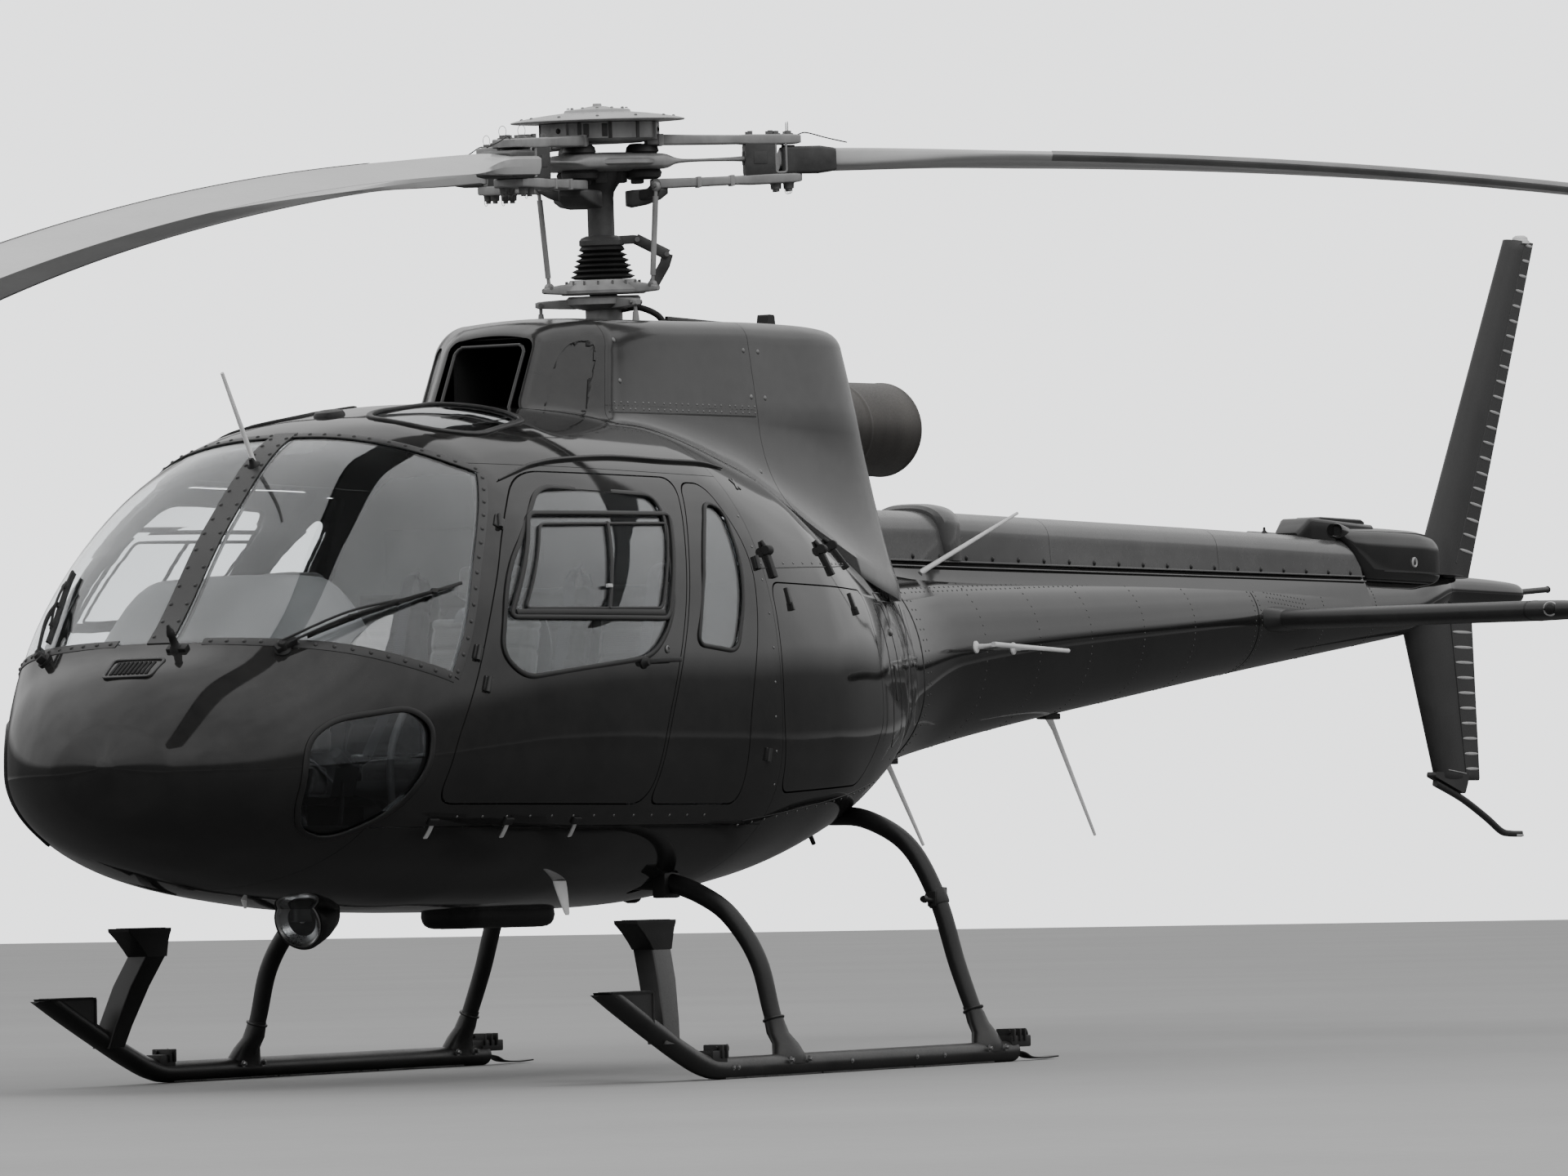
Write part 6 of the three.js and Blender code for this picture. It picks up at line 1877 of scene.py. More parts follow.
for azimuth in AZIMUTHS:
    panel = soft_block(0.186, 0.2095, -0.036, 0.036, 0.076, 0.1362, 0.004)
    pale_panels.append(moved(panel, turn_about(azimuth - 14)))
    spot = turn_about(azimuth - 14) @ Vector((0.2098, 0, 0.110))
    hat_bolts.append((spot, turn_about(azimuth - 14) @ Vector((1, 0, 0))))
    for side in (-1, 1):
        scoop = soft_block(0.196, 0.2060, -0.010, 0.010, 0.086, 0.132, 0.004)
        ribs.append(moved(scoop, turn_about(azimuth + 24 + side * 9)))
dome_spots = []
for k in range(12):
    a = math.radians(30 * k)
    dome_spots.append(((0.100 * math.cos(a), 0.100 * math.sin(a), 0.1885), (0, 0, 1)))
    dome_spots.append(((0.262 * math.cos(a), 0.262 * math.sin(a), 0.1570),
                       (0.2 * math.cos(a), 0.2 * math.sin(a), 1)))

# Mast, bellows and swashplates
mast = turned([(0, -0.545), (0.048, -0.545), (0.048, -0.262), (0.046, -0.250), (0.046, -0.120),
               (0.049, -0.100), (0.060, -0.082),
               (0.072, -0.066), (0.080, -0.050), (0.082, -0.028), (0, -0.028)], sides=48)
under_block = []
for k in range(6):
    a = turn_about(60 * k + REST_AZIMUTH + 30)
    under_block.append(moved(soft_block(0.052, 0.098, -0.020, 0.020, -0.070, -0.028, 0.006), a))
collar = turned([(0.046, -0.285), (0.074, -0.285), (0.078, -0.281), (0.078, -0.266),
                 (0.070, -0.256), (0.052, -0.249), (0.046, -0.249)], sides=48)
bellows_line = [(0.050, -0.400)]
for i in range(6):
    outer = 0.112 - 0.0062 * i
    low = -0.3985 + 0.0185 * i
    bellows_line += [(outer - 0.016, low), (outer - 0.002, low + 0.0070), (outer, low + 0.0085),
                     (outer - 0.003, low + 0.0105)]
bellows_line += [(0.074, -0.2875), (0.070, -0.2852), (0.050, -0.2852)]
bellows = turned(bellows_line, sides=72)
swash = turned([(0.060, -0.452), (0.140, -0.452), (0.152, -0.446), (0.154, -0.436),
                (0.120, -0.410), (0.114, -0.4005), (0.060, -0.4005)], sides=72)
SWASH_TURN = -38
swash_parts, link_rods, link_ends, link_bolts = [swash], [], [], []
for azimuth in AZIMUTHS:
    a = turn_about(azimuth + SWASH_TURN)
    arm = plate([(0.100, 0.030, -0.450, -0.412), (0.150, 0.027, -0.449, -0.414),
                 (0.190, 0.021, -0.447, -0.420),
                 (0.220, 0.017, -0.445, -0.424), (0.229, 0.010, -0.442, -0.427)], 0.0, 0.005)
    swash_parts.append(moved(arm, a))
    low, high = Vector((0.205, 0, -0.425)), Vector((0.2330, 0, -0.088))
    along = (high - low).normalized()
    link_rods.append(moved(rod(low + along * 0.034, high - along * 0.034, 0.0098, sides=20), a))
    for end, sign in ((low, 1), (high, -1)):
        link_rods.append(moved(rod(end + along * sign * 0.012, end + along * sign * 0.040, 0.0065, sides=16),
                               a))
        ball = turned([(0, -0.010), (0.012, -0.010), (0.017, -0.005), (0.017, 0.005),
                       (0.012, 0.010), (0, 0.010)], facing(end, (0, 1, 0)), 24)
        link_ends.append(moved(ball, a))
        link_bolts.append(moved(turned([(0, -0.020), (0.006, -0.020), (0.006, 0.020), (0, 0.020)],
                                       facing(end, (0, 1, 0)), 12), a))
for k in range(16):
    a = math.radians(22.5 * k)
    link_bolts.append(turned([(0, -0.008), (0.004, -0.008), (0.004, 0.008), (0, 0.008)],
                             Matrix.Translation((0.128 * math.cos(a), 0.128 * math.sin(a), -0.412)), 8))

# Scissor link between the mast's collar and the rotating swashplate
SCISSOR = REST_AZIMUTH + 120
scissor = [
    plate([(0.050, 0.020, -0.282, -0.252), (0.110, 0.022, -0.280, -0.250), (0.140, 0.016, -0.276, -0.254)],
          0.0, 0.004),
    sweep([(0.118, 0.0, -0.264), (0.226, 0.0, -0.322)], 0.021, 0.019, kind="soft", sides=20),
    soft_block(0.128, 0.184, -0.016, 0.016, -0.443, -0.421, 0.005),
    sweep([(0.226, 0.002, -0.318), (0.214, 0.002, -0.356), (0.176, 0.002, -0.418)],
          0.019, 0.016, kind="soft", sides=20),
]
scissor_pins = [rod((x, -0.028, z), (x, 0.028, z), 0.0085, sides=16) for x,
                z in ((0.124, -0.266), (0.224, -0.320), (0.178, -0.416))]
scissor = [moved(m, turn_about(SCISSOR - 6)) for m in scissor]
scissor_pins = [moved(m, turn_about(SCISSOR - 6)) for m in scissor_pins]

plates, dark, frames, posts, horn, bands, bolts, rings, wire = sleeve_parts()
every = lambda parts: merged([moved(merged(parts), turn_about(a)) for a in AZIMUTHS])


def rotor_piece(name, mesh, material, **more):
    return piece(name, mesh, material, body="main_rotor", place=ROTOR_FRAME, **more)


rotor_piece("rotor_star_look",
            merged([star_core, star_web] + [moved(star_arm, turn_about(a)) for a in AZIMUTHS] + [drum]),
            HUB_GREY, replaces=["rotor_head"], slot="cast_grey", angle=38)
rotor_piece("rotor_sleeves", every(plates), HUB_GREY, angle=38)
rotor_piece("rotor_clamps", every(dark + posts + horn), HUB_DARK, angle=38)
rotor_piece("sleeve_frames", every(frames + bands), HUB_GREY, angle=38)
rotor_piece("sleeve_bolts", every(bolts), BOLT, angle=38)
rotor_piece("sleeve_pin_rings", every(rings), BOLT, angle=60)
rotor_piece("bonding_leads", every([wire]), RUBBER, angle=60)
rotor_piece("drum_ribs", merged(ribs), HUB_DARK)
rotor_piece("drum_panels", merged(pale_panels), HUB_GREY)
rotor_piece("drum_panel_bolts", bolt_heads(hat_bolts, 0.006, 0.004), RUBBER)
rotor_piece("head_dome_look", dome, HAT_PAINT, replaces=["head_dome"], slot="cast_grey", angle=30)
rotor_piece("head_dome_screws", domes(dome_spots, 0.006, 0.0035, sides=10), BOLT)
rotor_piece("rotor_mast_look", merged([mast, collar] + under_block), HUB_DARK, replaces=["rotor_mast"],
      slot="steel", angle=35)
rotor_piece("mast_bellows_look", bellows, RUBBER, replaces=["mast_bellows"], slot="rubber", angle=50)
rotor_piece("rotating_swashplate_look", merged(swash_parts + link_rods), HUB_GREY,
            replaces=["rotating_swashplate"], slot="steel", angle=35)
rotor_piece("link_ends", merged(link_ends), HUB_GREY)
rotor_piece("link_bolts", merged(link_bolts), BOLT)
rotor_piece("scissor_link", merged(scissor), HUB_DARK, angle=38)
rotor_piece("scissor_pins", merged(scissor_pins), BOLT)
for k, azimuth in enumerate(AZIMUTHS):
    place = ROTOR_FRAME @ turn_about(azimuth)
    piece(f"main_blade_{k + 1}_look", blade_mesh.copy(), BLADE, body="main_rotor",
          replaces=[f"main_blade_{k + 1}"], place=place,
          slot="blade", angle=30)
    piece(f"blade_edge_{k + 1}", guard.copy(), BLADE_EDGE, body="main_rotor", place=place, angle=30)
    piece(f"blade_root_{k + 1}", merged([root_cuff] + root_bushes), HUB_DARK, body="main_rotor",
          place=place, angle=38)

# Fixed swashplate, its levers and the housing under it
fixed = [turned([(0.056, -0.500), (0.068, -0.504), (0.100, -0.498), (0.126, -0.484),
                 (0.128, -0.464), (0.120, -0.4565), (0.056, -0.4565)], sides=64),
         turned([(0, -0.620), (0.064, -0.620), (0.064, -0.500), (0.060, -0.498), (0.055, -0.498),
                 (0.055, -0.546), (0, -0.546)], sides=48)]
fixed_bolts, base_rods = [], []
for azimuth in (60, 180, 300):
    a = turn_about(azimuth)
    lever = plate([(0.095, 0.026, -0.500, -0.464), (0.150, 0.023, -0.498, -0.466),
                   (0.200, 0.019, -0.495, -0.468),
                   (0.226, 0.016, -0.494, -0.470), (0.236, 0.009, -0.490, -0.474)], 0.0, 0.004)
    fixed.append(moved(lever, a))
    fixed_bolts.append(moved(turned([(0, -0.024), (0.0075, -0.024), (0.0075, 0.024), (0, 0.024)],
                                    facing((0.217, 0, -0.482), (0, 1, 0)), 12), a))
    base_rods.append(moved(rod((0.217, 0, -0.490), (0.217, 0, -0.512), 0.006, sides=14), a))
    base_rods.append(moved(rod((0.217, 0, -0.512), (0.217, 0, -0.552), 0.009, sides=18, radius_end=0.013), a))
for azimuth in (95, 130, 215, 335):
    lug = plate([(0.058, 0.018, -0.506, -0.470), (0.082, 0.016, -0.504, -0.472),
                 (0.090, 0.010, -0.498, -0.478)], 0.0, 0.004)
    fixed.append(moved(lug, turn_about(azimuth)))
    fixed_bolts.append(moved(turned([(0, 0), (0.009, 0), (0.009, 0.010), (0, 0.010)],
                                    facing((0.088, 0, -0.488), (1, 0, 0)), 12), turn_about(azimuth)))
hose_path = smooth_path([(-0.02, 0.060, -0.505), (-0.05, 0.110, -0.500), (-0.085, 0.165, -0.530),
                         (-0.100, 0.190, -0.580)], 30)
hose = sweep(hose_path, 0.011, sides=16)
boot = turned([(0.064, -0.598), (0.100, -0.592), (0.150, -0.600), (0.205, -0.606), (0.205, -0.620),
               (0.064, -0.626)], sides=64)
piece("fixed_swashplate_look", merged(fixed), HUB_GREY, replaces=["fixed_swashplate"],
      place=ROTOR_FRAME, slot="steel", angle=35)
piece("actuator_rods", merged(base_rods), HUB_GREY, place=ROTOR_FRAME)
piece("fixed_swash_bolts", merged(fixed_bolts), BOLT, place=ROTOR_FRAME)
piece("mast_hose", hose, RUBBER, place=ROTOR_FRAME, angle=60)
piece("mast_boot", boot, RUBBER, place=ROTOR_FRAME, angle=40)


# Tail rotor: two blades on a flat spar, with a hub and pitch links
def tail_blade_ring(radius, scale=1.0):
    pitch = math.radians(14 - 10 * radius / TAIL_RADIUS)
    chord = 0.185 * scale * min(1.0, 0.45 + max(0.0, radius - 0.14) * 4.5)
    thick = 0.020 * scale
    upper = [(u, w / 2) for u, w in PROFILE]
    ring = []
    for u, w in upper + [(u, -w) for u, w in upper[:0:-1]]:
        along, up = (u - 0.3) * chord, w * thick
        ring.append((radius, along * math.sin(pitch) + up * math.cos(pitch),
                     along * math.cos(pitch) - up * math.sin(pitch)))
    return ring


tail_blade = loft([tail_blade_ring(r) for r in spread(0.15, 0.90, 40)] + [tail_blade_ring(0.915, 0.97),
    tail_blade_ring(0.925, 0.85), tail_blade_ring(0.9295, 0.6)])
half_turn = Matrix.Rotation(math.pi, 4, "Y")
spar = soft_block(-0.21, 0.21, -0.0095, 0.0095, -0.038, 0.038, 0.004)
blades = merged([tail_blade, moved(tail_blade, half_turn), spar])
along_y = Matrix.Rotation(math.radians(-90), 4, "X")
hub_line = [(0, -0.058), (0.048, -0.058), (0.054, -0.052), (0.054, 0.028), (0.034, 0.050),
            (0.030, 0.060), (0.030, 0.188), (0, 0.188)]
tail_hub = merged([turned(hub_line, along_y, 48), soft_block(-0.118, 0.118, -0.025,
    -0.012, -0.054, 0.054, 0.004),
                   soft_block(-0.118, 0.118, 0.012, 0.025, -0.054, 0.054, 0.004)])
tail_bits = [bolt_heads([((s * 0.085, -0.0255, z), (0, -1, 0)) for s in (1, -1) for z in (-0.03, 0.03)],
                        0.008, 0.008)]
spider = turned([(0, -0.085), (0.026, -0.085), (0.030, -0.080), (0.030, -0.058), (0, -0.058)], along_y, 32)
links = []
for s in (1, -1):
    links.append(rod((s * 0.020, -0.072, 0), (s * 0.066, -0.072, s * 0.030), 0.010, sides=14))
    links.append(rod((s * 0.066, -0.072, s * 0.030), (s * 0.120, -0.024, s * 0.060), 0.006, sides=14))
    links.append(soft_block(*sorted((s * 0.105, s * 0.190)), -0.018, 0.018, -0.045, 0.045, 0.006))
piece("tail_rotor_blades_look", blades, BLADE, body="tail_rotor", replaces=["tail_rotor_blades"],
      place=TAIL_FRAME, slot="blade", angle=30)
piece("tail_rotor_hub_look", tail_hub, HUB_GREY, body="tail_rotor", replaces=["tail_rotor_hub"],
      place=TAIL_FRAME, slot="steel", angle=35)
piece("tail_rotor_links", merged([spider] + links), HUB_DARK, body="tail_rotor", place=TAIL_FRAME, angle=35)
piece("tail_rotor_bolts", merged(tail_bits), BOLT, body="tail_rotor", place=TAIL_FRAME)
shroud = turned([(0, 0.110), (0.046, 0.110), (0.050, 0.120), (0.056, 0.250), (0, 0.250)],
                TAIL_FRAME @ along_y, 48)
piece("tail_gearbox_output", shroud, HUB_DARK)


# Trim of the screen: post cover, edge strips, rivets, wipers, vent and small fittings
def skin_at(x, z, lift=0.0):
    """A point on the port side of the fuselage, and the way the skin faces there."""
    point = Vector((x, skin_y(x, z), z))
    normal = skin_normal(point)
    return point + normal * lift, normal


def skin_over(x, y, lift=0.0):
    """A point on the top of the fuselage, and the way the skin faces there."""
    point = Vector((x, y, skin_z(x, abs(y))))
    normal = skin_normal(point)
    return point + normal * lift, normal


def upright(spot, out):
    """A place on the skin whose Z axis faces out and whose Y axis points up along the skin."""
    up = (Vector((0, 0, 1)) - out * out.z).normalized()
    return Matrix.Translation(spot) @ Matrix((up.cross(out), up, out)).transposed().to_4x4()


def bead(spots, width, height, sides=12, closed=True):
    """A soft bar through (point, normal) spots."""
    return sweep([p for p, n in spots], width, height, [n for p, n in spots], "soft", sides, closed)


def both_sides(meshes):
    whole = merged(meshes)
    return merged([whole, mirrored(whole)])


def on_skin(points, count, lift=0.0):
    """A path through [x, z] points laid on the port side, with its normals."""
    pairs = [skin_at(p.x, p.z, lift) for p in smooth_path([(x, 0, z) for x, z in points], count)]
    return [p for p, n in pairs], [n for p, n in pairs]


def ribbon(points, count, width, height, lift=0.0, taper=None):
    """A soft strip laid on the port side through [x, z] points."""
    path, normals = on_skin(points, count, lift)
    return sweep(path, width, height, normals, "soft", 12, taper=taper)


def along_skin(points, pitch, lift=0.0, skip=0.0):
    """Spots at an even pitch along a path on the port side."""
    path, normals = on_skin(points, 400, lift)
    length = np.cumsum([0] + [(path[i + 1] - path[i]).length for i in range(len(path) - 1)])
    count = max(1, int(round((length[-1] - 2 * skip) / pitch)))
    spots = []
    for k in range(count + 1):
        i = int(np.searchsorted(length, skip + (length[-1] - 2 * skip) * k / count))
        i = min(i, len(path) - 1)
        spots.append((path[i], normals[i]))
    return spots


def flipped(spots):
    flip = lambda v: Vector((v.x, -v.y, v.z))
    return spots + [(flip(p), flip(n)) for p, n in spots]


# The band over the centre post, laid across the hull at each station
post_rings = []
for x in spread(2.070, 2.845, 40):
    upper = [skin_over(x, y, 0.0035) for y in spread(-0.043, 0.043, 8)]
    lower = [skin_over(x, y, -0.004)[0] for y in spread(0.043, -0.043, 8)]
    post_rings.append([p for p, n in upper] + lower)
piece("screen_post_band", loft(post_rings), TRIM_STRIP, angle=50)

SCREEN_BOTTOM = [(2.835, 1.424), (2.700, 1.394), (2.540, 1.347), (2.440, 1.318), (2.378, 1.298)]
SCREEN_SIDE = [(2.372, 1.300), (2.300, 1.420), (2.240, 1.530), (2.170, 1.650), (2.080, 1.770),
               (1.985, 1.880), (1.912, 1.958)]


def over_path(points, count):
    """A path through [x, y] points laid on the top of the hull, with its normals."""
    pairs = [skin_over(p.x, p.y) for p in smooth_path([(x, y, 0) for x, y in points], count)]
    return [p for p, n in pairs], [n for p, n in pairs]


SCREEN_TOP = [(2.090, 0.020), (2.085, 0.150), (2.070, 0.300), (2.035, 0.430), (1.980, 0.540), (1.905, 0.620)]
edge_strips = [ribbon(SCREEN_BOTTOM, 40, 0.017, 0.003), ribbon(SCREEN_SIDE, 60, 0.017, 0.003)]
top_path, top_normals = over_path(SCREEN_TOP, 50)
edge_strips.append(sweep(top_path, 0.017, 0.003, top_normals, "soft", 12))
piece("screen_edge_strips", both_sides(edge_strips), TRIM_STRIP, angle=50)
screen_spots = along_skin(SCREEN_BOTTOM, 0.060, 0.003, skip=0.02) + along_skin(SCREEN_SIDE,
    0.060, 0.003, skip=0.02)
for k in range(12):
    i = int(2 + (len(top_path) - 4) * k / 11)
    screen_spots.append((top_path[i] + top_normals[i] * 0.003, top_normals[i]))
post_spots = []
for k in range(15):
    x = 2.12 + 0.70 * k / 14
    for y in (-0.030, 0.030):
        post_spots.append(skin_over(x, y, 0.0035))
piece("screen_rivets", domes(flipped(screen_spots) + post_spots, 0.0072, 0.0046, sides=10),
      TRIM_STRIP, angle=60)


# Wipers: a pivot block, a two-tube arm, a blade holder and its rubber
def wiper(pivot, blade):
    """Parts for a wiper: its pivot (x, z) on the port side, and (x, z) points along the blade."""
    base, up = skin_at(*pivot)
    body = [turned([(0, -0.01), (0.026, -0.01), (0.026, 0.006), (0.017, 0.012), (0.016, 0.032),
                    (0.011, 0.040), (0, 0.041)], facing(base, up), 28)]
    body.append(moved(soft_block(-0.026, 0.048, -0.014, 0.014, 0.010, 0.032, 0.006),
                      facing(base, up) @ Matrix.Rotation(math.radians(35), 4, "Z")))
    path, normals = on_skin(blade, 31, 0.019)
    hold = path[15] + normals[15] * 0.014
    for side in (-0.008, 0.008):
        across = Vector((0, 0, side))
        arm = [base + up * 0.034 + across, path[6] + normals[6] * 0.030 + across, hold + across * 0.4]
        body.append(sweep(smooth_path(arm, 24), 0.0042, sides=10))
    body.append(sweep(path, 0.0055, 0.0045, normals, "soft", 12))
    for i in (7, 15, 23):
        body.append(moved(soft_block(-0.010, 0.010, -0.008, 0.008, -0.004, 0.012, 0.003),
                          facing(path[i], normals[i])))
    bridge = [path[i] + normals[i] * lift for i, lift in ((5, 0.005), (10, 0.013), (15, 0.016),
        (20, 0.013), (25, 0.005))]
    body.append(sweep(smooth_path(bridge, 20), 0.0042, 0.0032, kind="soft", sides=10))
    rubber = sweep([p - n * 0.009 for p, n in zip(path, normals)], 0.0022, 0.0080, normals, "soft", 12)
    return body, rubber


port_body, port_rubber = wiper((2.797, 1.390), [(2.740, 1.424), (2.693, 1.450), (2.593, 1.497),
                                                (2.467, 1.540), (2.275, 1.592)])
star_body, star_rubber = wiper((2.785, 1.382), [(2.740, 1.432), (2.670, 1.512), (2.600, 1.590),
                                                (2.531, 1.662)])
star_body, star_rubber = [mirrored(part) for part in star_body], mirrored(star_rubber)
piece("wiper_arms", merged(port_body + star_body), RUBBER, angle=40)
piece("wiper_rubbers", merged([port_rubber, star_rubber]), SEAL, angle=40)

# Vent grille on the nose's top, with upright slots
vent_spot, vent_up = skin_over(2.968, -0.018, 0.0)
VENT_BEND = 0.55
across = Vector((0, 1, 0)) - vent_up * vent_up.y
down = across.cross(vent_up)
axes = Matrix((across.normalized(), down.normalized(), vent_up)).transposed().to_4x4()
vent_place = Matrix.Translation(vent_spot) @ axes
vent_line = rounded([(-0.096, -0.052), (0.096, -0.052), (0.088, 0.048), (-0.088, 0.048)], 0.018, 5)
loop = [(vent_place @ Vector((p.x, p.y, 0.002 - VENT_BEND * p.x * p.x)), vent_up) for p in vent_line]
piece("nose_vent_frame", bead(loop, 0.0055, 0.0035), TRIM_STRIP, angle=45)
vent_slots = []
for k in range(9):
    x = -0.066 + 0.0165 * k
    z = 0.001 - VENT_BEND * x * x
    slot = soft_block(x - 0.0046, x + 0.0046, -0.036, 0.034, z - 0.006, z + 0.0024, 0.0015)
    vent_slots.append(moved(slot, vent_place))
piece("nose_vent_slots", merged(vent_slots), DARK_GAP)

# Small fitting in front of the screen: a thermometer housing
probe_spot, probe_up = skin_over(2.872, 0.085, 0.0)
probe = [turned([(0, -0.01), (0.024, -0.01), (0.022, 0.008), (0.014, 0.018), (0.012, 0.048),
                 (0.015, 0.056), (0.012, 0.070), (0.004, 0.092), (0, 0.093)],
                facing(probe_spot, (probe_up + Vector((0.25, 0, 0.35))).normalized()), 24),
         moved(soft_block(-0.030, 0.040, -0.016, 0.016, -0.004, 0.012, 0.005), facing(probe_spot, probe_up))]
piece("nose_probe", merged(probe), RUBBER, angle=40)

# Roof: whip aerial, low puck and seals round the roof panes
whip_spot, whip_up = skin_over(2.270, 0.0, 0.0)
whip_base = turned([(0, -0.006), (0.024, -0.006), (0.022, 0.004), (0.012, 0.012), (0.008, 0.030), (0, 0.031)],
                   facing(whip_spot, whip_up), 28)
piece("roof_whip_base", whip_base, SEAL, angle=40)
piece("roof_whip", rod(whip_spot + Vector((0, 0, 0.010)), (2.450, 0.0, 2.290), 0.0085,
                       sides=18, radius_end=0.006), WHITE)
puck_spot, puck_up = skin_over(1.810, 0.0, 0.0)
piece("roof_puck", turned([(0, -0.01), (0.052, -0.01), (0.052, 0.004), (0.046, 0.014),
                           (0.030, 0.019), (0, 0.020)], facing(puck_spot, puck_up), 36),
      SEAL, angle=40)
roof_spots = [skin_over(p.x, p.y, 0.001) for p in eased(ROOF_WINDOW, ROOF_ROUND)][::3]
piece("roof_window_seals", both_sides([bead(roof_spots, 0.011, 0.007)]), SEAL, angle=50)


# Window seals, as beads around each pane; the ones on doors ride on their doors
BEAD_LIFT = 0.0015


def bead_loop(outline, radius, width, height):
    points = [(p.x, p.y) for p in eased(outline, radius)]
    keep = [points[0]]
    for p in points[1:]:
        if math.hypot(p[0] - keep[-1][0], p[1] - keep[-1][1]) > 0.004:
            keep.append(p)
    return bead([skin_at(x, z, BEAD_LIFT) for x, z in keep], width, height)


chin_bead = bead_loop(CHIN_WINDOW, CHIN_ROUND, 0.010, 0.005)
piece("chin_window_seals", both_sides([chin_bead]), SEAL, angle=50)
door_bead = bead_loop(FRONT_DOOR_GLASS, FRONT_ROUND, 0.0085, 0.005)
rear_bead = bead_loop(REAR_DOOR_GLASS, REAR_GLASS_ROUND, 0.0075, 0.0045)

# Sliding pane in the door window: outer frame, sill, middle bar and pull
SLIDER = [(1.830, 1.832), (2.092, 1.492), (1.200, 1.502), (0.985, 1.852)]
SLIDER_IN = [(1.795, 1.798), (2.010, 1.521), (1.230, 1.535), (1.030, 1.820)]


def frame_loop(outline, radius, width, height, lift):
    line = [(p.x, p.y) for p in rounded(outline, radius, 6)]
    keep = []
    for i, (x, z) in enumerate(line):
        nx, nz = line[(i + 1) % len(line)]
        steps = max(1, int(math.hypot(nx - x, nz - z) / 0.04))
        keep += [(x + (nx - x) * k / steps, z + (nz - z) * k / steps) for k in range(steps)]
    keep = [p for i, p in enumerate(keep) if math.hypot(p[0] - keep[i - 1][0], p[1] - keep[i - 1][1]) > 1e-4]
    return bead([skin_at(x, z, lift) for x, z in keep], width, height)


slider_parts = [frame_loop(SLIDER, 0.035, 0.0085, 0.0065, 0.002),
                frame_loop(SLIDER_IN, 0.025, 0.0050, 0.0045, 0.000)]
slider_parts.append(ribbon([(1.417, 1.812), (1.490, 1.668), (1.561, 1.528)], 16, 0.0075, 0.005, 0.002))
slider_parts.append(ribbon([(2.060, 1.508), (1.650, 1.514), (1.225, 1.520)], 40, 0.0110, 0.006, 0.001))
pull_spot, pull_out = skin_at(1.545, 1.600, 0.004)

# Door handle and lock
handle_path = [skin_at(1.402, 1.356, 0.004)[0], skin_at(1.392, 1.357, 0.022)[0],
               skin_at(1.350, 1.360, 0.030)[0],
               skin_at(1.270, 1.363, 0.030)[0], skin_at(1.215, 1.365, 0.026)[0],
               skin_at(1.196, 1.366, 0.022)[0]]
handle_path = smooth_path(handle_path, 30)
handle_out = skin_at(1.30, 1.36)[1]
handle = [sweep(handle_path, 0.0085, 0.0055, [handle_out] * 30, "soft", 14)]
boss_spot, boss_out = skin_at(1.398, 1.356, 0.0)
handle.append(turned([(0, -0.006), (0.022, -0.006), (0.022, 0.004), (0.016, 0.009),
                      (0.012, 0.024), (0, 0.025)], facing(boss_spot, boss_out), 28))
lock_spot, lock_out = skin_at(1.236, 1.400, 0.0)
lock = [turned([(0, -0.004), (0.013, -0.004), (0.013, 0.003), (0.009, 0.005), (0.008, 0.001), (0, 0.001)],
               facing(lock_spot, lock_out), 24)]


def hinge_leaf(x, z, way, length=0.050):
    """A knuckle along the door's edge, way being the edge's (x, z) direction, on a thin leaf."""
    step = Vector(way).normalized() * length / 2
    ends = [skin_at(x + s * step.x, z + s * step.y, 0.007)[0] for s in (-1, 1)]
    parts = [rod(ends[0], ends[1], 0.0085, sides=16)]
    side = Vector((-step.y, step.x)).normalized() * 0.016
    parts.append(ribbon([(x - side.x, z - side.y), (x, z), (x + side.x, z + side.y)],
                        8, length / 2, 0.003, 0.002))
    return parts


front_hinges = []
for x, z, way in ((1.987, 1.800, (0.55, -0.83)), (2.266, 1.376, (0.42, -0.9)), (2.239, 1.277, (0.36, -0.93))):
    front_hinges += hinge_leaf(x, z, way)
for x, z in ((0.517, 1.700), (0.585, 1.060)):
    front_hinges += hinge_leaf(x, z, (0.1, -1.0), 0.044)
piece("door_hinges", both_sides(front_hinges), SATIN_HIGH, angle=45)
for side, turn in SIDES:
    body = f"front_door_{side}"
    piece(f"door_window_seal_{side}", turn(door_bead), SEAL, body=body, angle=50)
    piece(f"door_slider_{side}", turn(merged(slider_parts)), SEAL, body=body, angle=50)
    piece(f"door_slider_pull_{side}", turn(moved(soft_block(-0.014, 0.014, -0.006, 0.006, 0, 0.010, 0.003),
                                                 facing(pull_spot, pull_out))), PALE, body=body)
    piece(f"door_handle_{side}", turn(merged(handle)), RUBBER, body=body, angle=45)
    piece(f"door_lock_{side}", turn(merged(lock)), BOLT, body=body, angle=45)
    piece(f"rear_window_seal_{side}", turn(rear_bead), SEAL, body=f"rear_door_{side}", angle=50)

